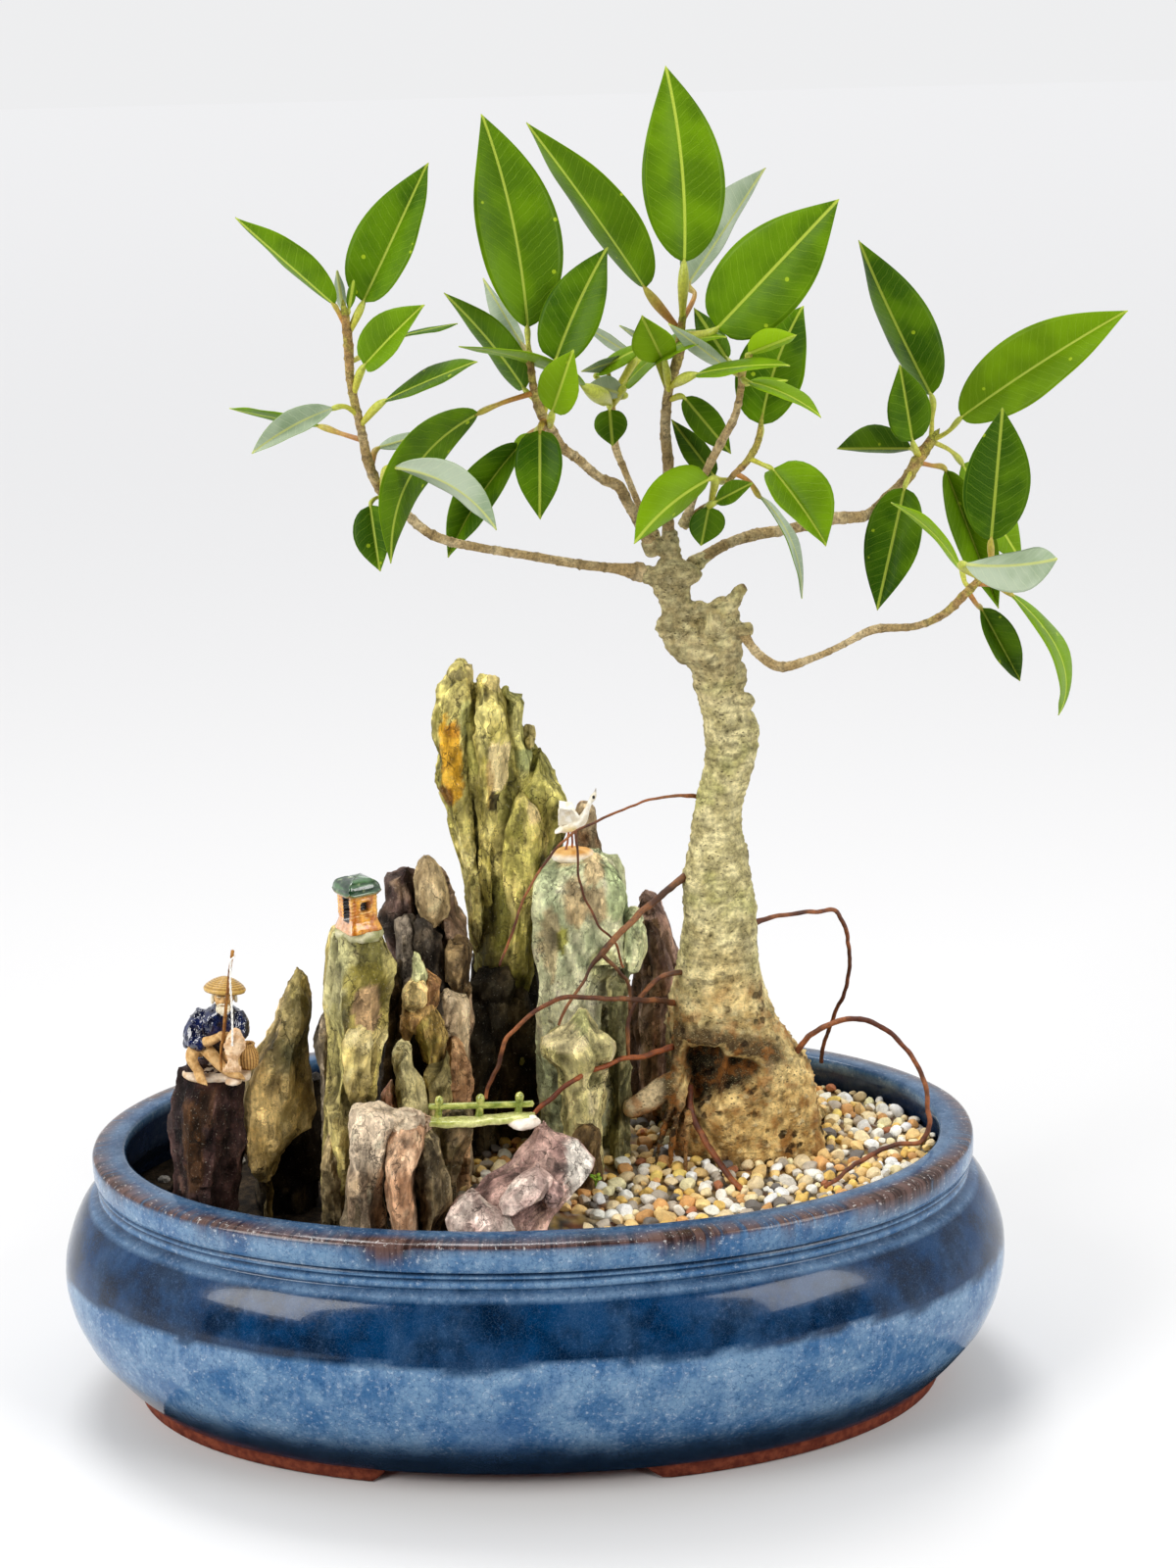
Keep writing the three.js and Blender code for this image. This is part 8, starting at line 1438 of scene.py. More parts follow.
    # painted shade: the carved hollow's inside is painted near black, lighter on the tongue and floor
    holec = sstep(0.15, 0.9, hole)
    inner_c = lerp(srgb(12, 8, 5), srgb(104, 66, 34), (np.clip(tongue + 0.5 * floor_r * sstep(-0.1, 0.4, fbm(q * 0.45, 3, 78)), 0, 1) * sstep(-0.5, 0.2, fbm(q * 0.25, 3, 77)))[:, None])
    c = lerp(c, inner_c, (holec * 0.96)[:, None])
    c = lerp(c, lerp(srgb(190, 164, 118), srgb(70, 50, 28), sstep(130, 134, V[:, 2])[:, None]), (np.clip(rim, 0, 1) * 0.5)[:, None])
    # painted shade: darker brown at the trunk's base where it meets the gravel
    base_shade = sstep(97, 89, zz + nB * 4)
    c = lerp(c, srgb(96, 74, 46)[None, :], (base_shade * 0.55)[:, None])
    lm = sstep(52, 48, V[:, 0]) * (V[:, 2] > 104) * (V[:, 2] < 126) * (V[:, 1] < -2)
    c = lerp(c, lerp(srgb(214, 192, 150), srgb(150, 92, 44), sstep(117 - (48 - V[:, 0]) * 0.4, 113 - (48 - V[:, 0]) * 0.4, V[:, 2])[:, None]), (lm * 0.8)[:, None])
    # cut face of the stub
    end = np.array(STUB[-1][:3])
    e = np.linalg.norm(V - end, axis=1)
    c = lerp(c, srgb(104, 70, 44)[None, :], (sstep(3.6, 2.2, e) * sstep(-0.5, 1.0, (V - end) @ nrm(end - np.array(STUB[-2][:3]))))[:, None])
    sh = Shape()
    sh.add(V2, F, np.clip(c, 0, 1))
    ob = sh.build("trunk_wood", [M_BARK])
    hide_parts("trunk")


def make_roots():
    red = {"root_e": 0.7, "root_front": 0.55, "root_rim": 0.40, "root_right": 0.3, "root_b": 0.0, "root_d": 0.25, "root_a": 0.25, "root_c": 0.1}
    for k, strands in ROOTS.items():
        sh = Shape()
        for i, pts in enumerate(strands):
            P = np.array(pts, float)
            ln = float(np.sum(np.linalg.norm(np.diff(P[:, :3], axis=0), axis=1)))
            n = max(24, int(ln / 0.8))
            S = spline(P, n)
            g = rng(len(k) * 3 + i)
            S[1:-1, :3] += np.column_stack([fbm(S[1:-1, :3] * 0.12, 2, 81 + i), fbm(S[1:-1, :3] * 0.12 + 5, 2, 82 + i), fbm(S[1:-1, :3] * 0.12 + 11, 2, 83 + i)]) * 0.7
            L = np.linspace(0, ln, n)
            rad = 1 + 0.14 * fbm(np.column_stack([L * 0.35, np.zeros(n), np.full(n, i * 3.0)]), 3, 85)
            ends_k = 0.84 + 0.16 * np.exp(-(L / 5.0) ** 2)
            S[:, 3] *= rad * ends_k
            v, f, tt, ang, _ = tube_arrays(S, 14, n, 0.12, 86 + i)
            r = red.get(k, 0.3)
            m = sstep(-0.25, 0.35, fbm(v * 0.10, 3, 88))
            a = lerp(srgb(66, 38, 20), srgb(136, 88, 50), m[:, None])
            b = lerp(srgb(104, 42, 16), srgb(172, 86, 38), m[:, None])
            c = lerp(a, b, np.clip(r + 0.35 * fbm(v * 0.06, 2, 89), 0, 1)[:, None])
            sh.add(v, f, c)
        ob = sh.build(k + "_strand", [M_ROOT])
        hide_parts(k)


# ------------------------------------------------------------------ stones
def bowls(P, seed, tilt=1.25, k=0.75, lift=0.55):
    """Chipped surface: the lowest of tilted shallow bowls, so sharp edges stand between hollow faces. Also each face's number."""
    P = np.asarray(P, float)
    c = np.floor(P).astype(np.int64)
    best = np.full(len(P), 9.0)
    idv = np.zeros(len(P))
    for dx in (-1, 0, 1):
        for dy in (-1, 0, 1):
            for dz in (-1, 0, 1):
                q = c + np.array([dx, dy, dz])
                h = _h(q[:, 0], q[:, 1], q[:, 2], seed)
                g = _h(q[:, 0], q[:, 1], q[:, 2], seed + 77)
                d = P - (q + np.stack([(h & 1023) / 1023, ((h >> 10) & 1023) / 1023, ((h >> 20) & 1023) / 1023], 1))
                w = np.stack([(g & 1023) / 511.5 - 1, ((g >> 10) & 1023) / 511.5 - 1, ((g >> 20) & 1023) / 511.5 - 1], 1)
                r = ((h ^ (g >> 7)) & 1023) / 1023
                val = tilt * np.sum(w * d, 1) + k * np.sum(d * d, 1) + lift * (r - 0.5)
                near = val < best
                idv = np.where(near, r, idv)
                best = np.where(near, val, best)
    return best, idv


def vertex_normals(V, F):
    F = np.asarray(F)
    n = np.cross(V[F[:, 2]] - V[F[:, 0]], V[F[:, 3]] - V[F[:, 1]])
    out = np.zeros_like(V)
    for k in range(4):
        np.add.at(out, F[:, k], n)
    return nrm(out)


def tint(P, dark, light, s=(0.06, 0.06, 0.03), seed=0, lo=-0.28, hi=0.32):
    return lerp(srgb(*dark)[None, :], srgb(*light)[None, :], sstep(lo, hi, fbm(P * np.array(s), 4, seed))[:, None])


def patch(c, mask, col, k=1.0):
    return lerp(c, srgb(*col)[None, :], (np.clip(mask, 0, 1) * k)[:, None])


def ring_xy(z, n, a, b, seed, flat):
    """Broken cross-section: a few straight sides that turn slowly with height, filled out to the given half width and depth."""
    th = np.linspace(0, 2 * np.pi, 721)
    seg = np.hypot(np.diff(np.cos(th)) * a, np.diff(np.sin(th)) * b)
    L = np.r_[0, np.cumsum(seg)]
    ang = np.interp(np.arange(n) / n * L[-1], L, th)
    rho = np.full((len(z), n), 9.0)
    K = 6 if flat else 7
    one = np.ones(len(z))
    for j in range(K):
        u = gnoise(np.column_stack([z * 0.022, one * (j * 7.31), one * (seed * 0.37)]), 7)
        w = gnoise(np.column_stack([z * 0.034, one * (j * 5.17 + 50), one * (seed * 0.37)]), 8)
        t = -np.pi / 2 + 2 * np.pi * j / K + 0.55 * u + 0.35 * math.sin(seed * 1.7 + j * 2.3) * (j > 0 or not flat)
        dd = 0.88 + 0.26 * w - (0.16 if flat and j == 0 else 0.0)
        c = np.cos(ang[None, :] - t[:, None])
        rho = np.minimum(rho, np.where(c > 0.12, dd[:, None] / np.maximum(c, 0.12), 9.0))
    rho = np.minimum(rho, 1.4)
    x, y = rho * np.cos(ang), rho * np.sin(ang)
    x = np.where(x > 0, x / x.max(1, keepdims=True), -x / x.min(1, keepdims=True))
    y = np.where(y > 0, y / y.max(1, keepdims=True), -y / y.min(1, keepdims=True))
    return x, y


# colour balance of each stone group
TONE = {"rock_tall": (1.36, 1.22, 0.80), "rock_hut": (1.14, 0.98, 0.70), "rock_lean": (1.58, 1.36, 1.08), "rock_angler": (0.50, 0.38, 0.34), "rock_crane": (1.44, 1.30, 0.98),
        "rock_front": (1.22, 1.04, 0.64), "rock_block": (1.62, 1.50, 1.24), "rock_slab": (1.60, 1.56, 1.40), "rock_points": (2.1, 1.85, 1.45), "rock_purple": (1.35, 1.25, 1.05), "rock_behind": (1.7, 1.45, 1.25)}


def make_stone(name, node, slot, hd, rows, seed, dark, light, alt, k, o):
    R = np.array(rows, float)[::-1]                  # upward: z, left x, right x, middle y
    ends = bool(o.get("ends"))
    if not ends:
        R = np.vstack([[o["foot"], R[0, 1] - 0.8, R[0, 2] + 0.8, R[0, 3]], R])
    width = float(np.median(R[:, 2] - R[:, 1]))
    small = min(width, 2 * hd)
    step = o.get("step", 1.25) * 1.28 if small > 11 else 1.15
    zb, zt = R[0, 0], R[-1, 0]
    z = np.linspace(zb, zt, max(8, int((zt - zb) / step)))
    xl, xr, yc = (np.interp(z, R[:, 0], R[:, i]) for i in (1, 2, 3))
    half = (xr - xl) / 2 - (0.4 if width > 10 else 0.2)
    t = min(hd * 1.1, (zt - zb) * 0.4)
    dep = hd * (1 - 0.5 * sstep(zt - t, zt, z)) * ((1 - 0.5 * sstep(zb + t, zb, z)) if ends else 1.0)
    dep = np.minimum(dep, np.maximum(half * 2.4, 2.0))
    # closing rings
    cap = np.array([0.86, 0.62, 0.36, 0.12])
    cap = np.array([0.92, 0.74, 0.48, 0.2])
    up = np.array([0.22, 0.36, 0.44, 0.48]) * min(1.8, 0.12 * width + 0.2)
    z = np.r_[z, zt + up]
    half = np.r_[half, half[-1] * cap]
    dep = np.r_[dep, dep[-1] * cap]
    x0 = np.r_[(xl + xr) / 2, np.full(4, (xl[-1] + xr[-1]) / 2)]
    yc = np.r_[yc, np.full(4, yc[-1])]
    if ends:
        z = np.r_[(zb - up)[::-1], z]
        half = np.r_[(half[0] * cap)[::-1], half]
        dep = np.r_[(dep[0] * cap)[::-1], dep]
        x0 = np.r_[np.full(4, x0[0]), x0]
        yc = np.r_[np.full(4, yc[0]), yc]
    m = len(z)
    n = int(np.clip(2 * np.pi * math.sqrt((width**2 / 4 + hd**2) / 2) / step, 26, 150))
    cx, cy = ring_xy(z, n, width / 2, hd, seed, o.get("flat"))
    if small < 13:
        rr = np.hypot(cx, cy)
        cx, cy = lerp(cx / rr, cx, 0.6), lerp(cy / rr, cy, 0.6)
    V = np.stack([x0[:, None] + half[:, None] * cx, yc[:, None] + dep[:, None] * cy, np.repeat(z[:, None], n, 1)], -1).reshape(-1, 3)
    G = grid_faces(m, n)
    N = vertex_normals(V, G)
    vs = o.get("vs", 0.45)
    s1 = float(np.clip(small * 0.70, 4.5, 15.0))
    s2, s3 = s1 * 0.44, s1 * 0.19
    q = V * np.array([1, 1, vs])
    q = q + np.column_stack([fbm(q * 0.07, 2, seed + 40), fbm(q * 0.07 + 5, 2, seed + 41), fbm(q * 0.07 + 9, 2, seed + 42)]) * s1 * 0.22
    b1, i1 = bowls(q / s1, seed)
    b2, i2 = bowls(q / s2 + 7, seed + 1)
    b3, i3 = bowls(q / s3 + 3, seed + 2)
    st = fbm(V * np.array([0.55, 0.55, 0.05]), 3, seed + 4)
    flat = 0.5 if o.get("flat") else 1.0
    flat = 0.6 if o.get("soft") else flat
    chip = o.get("chip", 1.0)
    rel = 0.42 * chip * (b1 * s1 * flat + b2 * s2 * (0.4 + 0.6 * flat) + b3 * s3 * 1.1)
    rel = rel - np.mean(rel) + 0.50 * o.get("stri", 1.0) * st * min(1.0, small / 14) + 0.16 * fbm(V * 0.9, 2, seed + 5)
    lim = 0.26 * small * chip
    rel = np.clip(rel, -min(4.4 * chip, lim), min(2.6 * chip, lim))
    W = (V + N * rel[:, None]).reshape(m, n, 3)
    # how far each place stands out from its surroundings
    kk = 3
    nb = np.roll(W, kk, 1) + np.roll(W, -kk, 1) + W[np.clip(np.arange(m) + kk, 0, m - 1)] + W[np.clip(np.arange(m) - kk, 0, m - 1)]
    cvx = -np.sum((nb / 4 - W).reshape(-1, 3) * N, 1)
    cvx = cvx - np.median(cvx)
    scl = 0.55 * step
    ridge, crev = np.clip(cvx / scl - 0.25, 0, 1), np.clip(-cvx / scl - 0.1, 0, 1)
    V2 = W.reshape(-1, 3)
    streak = fbm(V * np.array([0.8, 0.8, 0.06]), 3, seed + 6)
    mm = sstep(-0.62, 0.66, 0.8 * fbm(V * np.array([0.07, 0.07, 0.035]), 3, seed + 7) + 0.50 * (i1 - 0.5) + 0.55 * (i2 - 0.5) + 0.36 * (i3 - 0.5) + 0.34 * streak)
    c = lerp(srgb(*dark)[None, :], srgb(*light)[None, :], mm[:, None])
    if alt:
        am = sstep(0.02, 0.34, fbm(V * 0.085, 3, seed + 9) + 0.5 * (i2 - 0.5) + 0.25 * (i1 - 0.5))
        ac = srgb(*alt)[None, :] * (0.72 + 0.56 * mm)[:, None]
        c = lerp(c, ac, (am * k)[:, None])
    fresh = sstep(0.80, 0.84, i2) * sstep(-0.2, 0.2, fbm(V * 0.12, 2, seed + 15))
    c = lerp(c, np.minimum(c * 1.35 + srgb(96, 88, 66)[None, :], 0.8), (fresh * 0.55)[:, None])
    for cx_, cz_, rx, rz, colr, kk_ in o.get("spots", ()):
        e = ((np.abs(V[:, 0] - cx_) / rx) ** 2.6 + (np.abs(V[:, 2] - cz_) / rz) ** 2.6) ** (1 / 2.6) + 0.20 * fbm(V * 0.20, 3, seed + 21) + 0.30 * (i3 - 0.5)
        cc = srgb(*colr)[None, :] * (0.70 + 0.50 * mm)[:, None]
        c = lerp(c, cc, (sstep(1.05, 0.93, e) * (V[:, 1] < np.interp(V[:, 2], z, yc)) * kk_)[:, None])
    if o.get("rust"):
        left = sstep(-26.0, -31.0, V[:, 0] + 2.5 * fbm(V * 0.15, 2, seed + 11)) * (V[:, 1] < 32)
        band = sstep(217, 222, V[:, 2] + 4 * streak) * sstep(252, 242, V[:, 2] + 6 * fbm(V * 0.1, 2, seed + 12))
        c = patch(c, left * band * sstep(-0.5, 0.1, fbm(V * 0.25, 3, seed + 13)), (204, 152, 22), 0.9)
        c = patch(c, left * sstep(212, 217, V[:, 2]) * sstep(229, 224, V[:, 2]), (122, 76, 26), 0.75)
        c = patch(c, left * sstep(236, 238, V[:, 2]) * sstep(246, 243, V[:, 2]) * sstep(0.0, 0.3, fbm(V * 0.3, 2, seed + 14)), (140, 86, 24), 0.7)
    if o.get("dark_z"):
        a, b = o["dark_z"]
        c = patch(c, sstep(a - 3, a, V[:, 2] + 3 * streak) * sstep(b + 2, b - 2, V[:, 2] + 3 * streak), (24, 20, 20), 0.9)
    if o.get("topc"):
        c = patch(c, sstep(118, 124, V[:, 2]), o["topc"], 0.65)
    c = c * (1 - 0.5 * sstep(0.20, 0.45, streak))[:, None]
    # painted shade in the crevices and painted highlights on the ridges
    c = lerp(c, c * 0.30, (crev * 0.8)[:, None])
    c = lerp(c, np.minimum(c * 1.35 + 0.03, 0.8), (ridge * 0.6)[:, None])
    # painted shade: darker near the soil at the stone's foot
    foot_shade = sstep(104, 86, V[:, 2] + 5 * fbm(V * 0.1, 2, 5)) if not ends else 0 * V[:, 2]
    c = lerp(c, c * 0.5, (foot_shade * 0.6)[:, None])
    F = G.tolist()
    kk, oo = m * n, (m - 1) * n
    V2 = np.concatenate([V2, [V2[:n].mean(0) - [0, 0, 0.1], V2[-n:].mean(0) + [0, 0, 0.1]]])
    c = np.concatenate([c, [c[:n].mean(0), c[-n:].mean(0)]])
    for j in range(n):
        F.append([kk, (j + 1) % n, j])
        F.append([kk + 1, oo + j, oo + (j + 1) % n])
    s = Shape()
    c = c * np.array(TONE.get(node, (1, 1, 1)))
    c = c / (1 + np.maximum(0, c.max(1, keepdims=True) - 0.72))
    s.add(V2, F, np.clip(c, 0, 0.86))
    ob = s.build("stone_" + name, [M_ROCK])
    ob.data.set_sharp_from_angle(angle=math.radians(24))
    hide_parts(node)
    return ob


def make_rocks():
    for row in STONES:
        make_stone(*row)


# ------------------------------------------------------------------ clay figures
def joined(name, parts, voxel, mats, node, col=None, smooth=5, relief=None):
    V, F, N = fused(parts, voxel, smooth, name)
    if relief is not None:
        V = V + N * relief(V)[:, None]
    s = Shape()
    s.add(V, F, (0.5, 0.5, 0.5) if col is None else col(V, N) if callable(col) else col)
    ob = s.build(name, mats)
    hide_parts(node)
    return ob


def tubep(pts, sides=14, n=24):
    v, f, *_ = tube_arrays(pts, sides, n)
    return v, f


def box_part(c, h, yaw=0.0, taper=(1, 1), n=6):
    """Closed block of size 2h, turned by yaw, its top scaled by taper."""
    vs = []
    for z, k in ((-1, (1, 1)), (1, taper)):
        for sx, sy in ((-1, -1), (1, -1), (1, 1), (-1, 1)):
            x, y = sx * h[0] * k[0], sy * h[1] * k[1]
            vs.append([c[0] + x * math.cos(yaw) - y * math.sin(yaw), c[1] + x * math.sin(yaw) + y * math.cos(yaw), c[2] + z * h[2]])
    return np.array(vs), [[3, 2, 1, 0], [4, 5, 6, 7], [0, 1, 5, 4], [1, 2, 6, 5], [2, 3, 7, 6], [3, 0, 4, 7]]


def make_angler():
    vox = 0.33
    # coat: bent back, wide sleeve over the near arm, folds at the elbow
    coat = [lathe_rows([[-115.5, -37.5, 150.2, 8.2, 6.6], [-115.6, -37.6, 153, 9.6, 7.4], [-115.4, -38, 157, 9.9, 7.6], [-114.2, -38.4, 161, 9.4, 7.2], [-112.8, -39, 165, 8.2, 6.4], [-111.8, -39.6, 168, 6.4, 5.2], [-110.9, -40.2, 170, 3.6, 3.4], [-110.6, -40.4, 171, 2.6, 2.6]], 28),
            tubep([[-118.2, -39.0, 167.6, 2.6], [-120.6, -41.6, 163.6, 3.7], [-121.6, -44.4, 159.8, 4.0], [-119.6, -46.6, 158.0, 3.2], [-117.8, -47.6, 158.4, 2.7]]),
            tubep([[-105.8, -39.6, 167.0, 2.4], [-104.4, -41.6, 163.2, 3.0], [-104.6, -44.0, 160.6, 2.9], [-106.0, -46.0, 160.6, 2.3]]),
            tubep([[-122.8, -42.0, 161.0, 1.0], [-124.8, -41.6, 157.4, 1.4], [-125.4, -41.0, 154.6, 1.1]], 10, 12)]

    def folds(V):
        a = fbm(V * np.array([0.5, 0.5, 0.22]), 3, 21)
        return 0.40 * sstep(0.1, 0.5, a) - 0.35 * sstep(-0.1, -0.45, a) + 0.06 * fbm(V * 0.9, 2, 22)

    def coat_col(V, N):
        k = sstep(-0.3, 0.4, fbm(V * 0.35, 3, 23))
        c = lerp(srgb(10, 14, 36), srgb(20, 34, 82), k[:, None])
        c = lerp(c, srgb(8, 10, 24), (sstep(160, 152, V[:, 2]) * sstep(-121, -116, V[:, 0]) * 0.85)[:, None])
        hem = np.exp(-((V[:, 2] - 154.5) / 0.7) ** 2) * sstep(-117, -121, V[:, 0])
        return lerp(c, srgb(150, 150, 160), (hem * 0.5)[:, None])
    joined("angler_coat", coat, vox, [M_COAT], "figure_angler", coat_col, 4, folds)

    # bare clay: head, neck, forearms, hands round the rod, crossed legs, feet
    skin = [sphere((-110.2, -42.0, 174.0), (3.5, 3.6, 4.3), 24, 18), sphere((-110.2, -43.0, 171.8), (2.6, 2.9, 2.6), 18, 12), tubep([[-110.6, -40.6, 169, 2.1], [-110.4, -41.2, 172, 2.0]]),
            # brow, nose, cheeks, lips
            sphere((-110.1, -45.2, 175.2), (2.3, 0.75, 0.55), 16, 8), tubep([[-110.05, -45.35, 175.0, 0.42], [-110.0, -45.95, 173.7, 0.58], [-110.0, -46.1, 173.3, 0.66]], 10, 8),
            sphere((-110.5, -45.8, 173.15), (0.45, 0.45, 0.35), 10, 8), sphere((-109.5, -45.8, 173.15), (0.45, 0.45, 0.35), 10, 8),
            sphere((-111.7, -44.6, 173.2), (1.15, 1.0, 1.0), 12, 8), sphere((-108.6, -44.6, 173.2), (1.15, 1.0, 1.0), 12, 8), sphere((-110.1, -45.25, 172.15), (1.05, 0.5, 0.28), 12, 6),
            sphere((-113.7, -41.6, 173.9), (0.55, 0.8, 1.2), 10, 8), sphere((-106.7, -41.6, 173.9), (0.55, 0.8, 1.2), 10, 8),
            # near forearm and hands
            tubep([[-117.6, -47.2, 158.6, 1.9], [-114.4, -49.0, 160.0, 1.75], [-111.8, -50.2, 161.6, 1.5]]),
            sphere((-110.4, -50.8, 162.4), (2.0, 1.5, 1.7), 16, 10), tubep([[-105.8, -46.2, 160.8, 1.7], [-107.6, -48.8, 161.6, 1.5]]), sphere((-108.4, -49.8, 161.8), (1.5, 1.3, 1.5), 14, 10)]
    for k in range(4):
        z = 163.6 - k * 0.85
        skin.append(tubep([[-111.0 + 0.1 * k, -51.6, z, 0.48], [-109.4, -52.3, z + 0.15, 0.5], [-108.0, -51.4, z + 0.1, 0.44]], 8, 10))
    # bent leg with the foot forward, and the other shin laid across
    skin += [tubep([[-119, -42.0, 153.6, 2.8], [-121.8, -46.2, 154.8, 2.6], [-122.4, -47.8, 153.0, 2.3], [-121.2, -48.4, 149.6, 1.8], [-119.4, -48.8, 147.0, 1.7]]),
             tubep([[-120.4, -48.4, 147.6, 1.7], [-119.6, -50.6, 147.2, 1.8], [-118.8, -52.2, 146.4, 1.7], [-118.2, -53.2, 145.4, 1.2]]),
             tubep([[-118.6, -44.0, 155.6, 2.5], [-115.0, -47.6, 153.6, 2.4], [-111.6, -49.2, 149.8, 2.0], [-108.4, -49.6, 147.2, 1.6]]),
             tubep([[-108.6, -49.4, 147.2, 1.6], [-106.2, -50.0, 146.6, 1.5], [-104.2, -50.4, 145.8, 1.1]]),
             tubep([[-111, -42, 151.6, 2.8], [-107.4, -46.4, 151.6, 2.4], [-106.4, -48.2, 149, 1.7]])]
    for k in range(5):
        skin.append(tubep([[-120.3 + k * 0.75, -52.2, 147.0 - 0.3 * k, 0.5], [-119.9 + k * 0.78, -53.9, 146.2 - 0.3 * k, 0.44], [-119.6 + k * 0.78, -54.3, 145.6 - 0.3 * k, 0.3]], 8, 8))
        skin.append(tubep([[-105.6 + k * 0.5, -50.9, 146.7 - 0.15 * k, 0.42], [-104.9 + k * 0.5, -52.0, 146.1 - 0.15 * k, 0.36]], 8, 6))

    def skin_col(V, N):
        k = sstep(-0.3, 0.3, fbm(V * 0.5, 3, 31))
        c = lerp(srgb(186, 142, 84), srgb(216, 176, 118), k[:, None])
        # painted shade: skin facing downward is darkened
        under = sstep(0.0, -0.8, N[:, 2])
        c = lerp(c, srgb(128, 88, 46), (under * 0.55)[:, None])
        eye = np.exp(-(((np.abs(V[:, 0] + 110.1) - 1.25) / 0.55) ** 2 + ((V[:, 2] - 174.55) / 0.22) ** 2)) * (V[:, 1] < -44)
        c = lerp(c, srgb(60, 40, 24), (eye * 0.85)[:, None])
        mouth = np.exp(-(((V[:, 0] + 110.1) / 0.8) ** 2 + ((V[:, 2] - 172.1) / 0.16) ** 2)) * (V[:, 1] < -45)
        return lerp(c, srgb(120, 70, 44), (mouth * 0.7)[:, None])
    joined("angler_skin", skin, vox * 0.85, [M_BISQUE], "figure_angler", skin_col, 2)

    # white hair at the sides, brows, moustache and beard
    g = rng(61)
    hair = []
    for k in range(9):
        a = -0.25 + k * 0.42
        x, y = -110.2 - 3.5 * math.cos(a), -41.2 + 3.3 * math.sin(a)
        hair.append(tubep([[x, y, 175.4, 0.8], [x * 1.0 - 0.5 * math.cos(a), y + 0.4 * math.sin(a), 173.4, 0.95], [x - 0.9 * math.cos(a), y + 0.5 * math.sin(a), 171.6, 0.5]], 8, 10))
    for k in range(7):
        x = -112.2 + k * 0.7
        dx = (x + 110.1) * 0.25
        hair.append(tubep([[x, -44.9 - 0.5 * (1 - abs(k - 3) / 3), 171.7, 0.55], [x - dx * 0.3, -46.0, 170.0, 0.62], [x - dx, -46.2 + 0.3 * g.uniform(), 167.9 + 0.5 * abs(k - 3), 0.3]], 8, 12))
    for s in (-1, 1):
        hair.append(tubep([[-110.1 + 0.2 * s, -46.3, 172.75, 0.42], [-110.1 + 1.5 * s, -45.9, 172.4, 0.45], [-110.1 + 2.4 * s, -45.2, 171.5, 0.28]], 8, 10))
        hair.append(tubep([[-110.1 + 0.6 * s, -46.05, 175.35, 0.28], [-110.1 + 1.6 * s, -45.7, 175.55, 0.34], [-110.1 + 2.4 * s, -45.0, 175.2, 0.22]], 8, 8))
    hair.append(sphere((-110.1, -45.0, 170.2), (2.0, 1.2, 1.8), 14, 10))

    def strands(V):
        return 0.16 * fbm(V * np.array([2.6, 2.6, 0.5]), 2, 33)
    joined("angler_hair", hair, vox * 0.85, [M_CREAM], "figure_angler", lambda V, N: lerp(srgb(206, 192, 160), srgb(240, 232, 210), sstep(-0.3, 0.4, fbm(V * np.array([1.6, 1.6, 0.4]), 2, 34))[:, None]), 2, strands)

    # woven hat: shallow dome, turned brim, coil rings
    rows = []
    for r, z in [(6.9, 175.2), (7.5, 175.7), (7.75, 176.3), (7.6, 176.9), (6.9, 177.8), (5.8, 178.7), (4.6, 179.5), (3.2, 180.2), (1.9, 180.7), (0.7, 181.0)]:
        rows.append([r, z])
    Rr = spline([[r, z, 0] for r, z in rows], 80)
    n = 72
    a = np.arange(n) / n * 2 * np.pi
    tilt = Matrix.Rotation(-0.16, 3, "X") @ Matrix.Rotation(0.10, 3, "Y")
    V, C = [], []
    for i, (r, z, _) in enumerate(Rr):
        rip = 0.10 * math.sin(r * 7.5)
        rr = r + 0 * a + 0.10 * np.sin(3 * a + 1) * (r / 7)
        V.append(np.column_stack([rr * np.cos(a), rr * np.sin(a), np.full(n, z - 175.5 + rip)]))
        C.append(lerp(srgb(148, 108, 40), srgb(210, 172, 92), np.full((n, 1), 0.5 + 0.5 * math.sin(r * 7.5)) * 0.8 + 0.1 * np.sin(a * 24)[:, None]))
    for r, z in [(7.2, 175.35), (6.0, 176.1), (4.4, 176.9), (2.6, 177.5), (0.6, 177.8)][::1]:
        pass
    under = [(6.2, 175.1), (5.2, 175.9), (4.0, 176.8), (2.4, 177.4), (0.5, 177.6)]
    Vt = np.concatenate(V)
    Ct = np.concatenate(C)
    Vu = np.concatenate([np.column_stack([r * np.cos(a), r * np.sin(a), np.full(n, z - 175.5)]) for r, z in under[::-1]])
    Cu = np.tile(srgb(120, 88, 34), (len(Vu), 1))
    Va = np.concatenate([Vu, Vt])
    m = len(under) + len(Rr)
    F = grid_faces(m, n).tolist()
    k = len(Va)
    Va = np.concatenate([Va, [[0, 0, 177.6 - 175.5], [0, 0, 181.05 - 175.5]]])
    for j in range(n):
        F.append([k, (j + 1) % n, j])
        F.append([k + 1, (m - 1) * n + j, (m - 1) * n + (j + 1) % n])
    Va = Va @ np.array(tilt).T + np.array([-110.0, -41.0, 175.9])
    Ca = np.clip(np.concatenate([Cu, Ct, [srgb(120, 88, 34), srgb(200, 160, 80)]]), 0, 1)
    s = Shape()
    s.add(Va, F, Ca)
    ob = s.build("angler_hat", [M_STRAW])
    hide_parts("figure_angler")

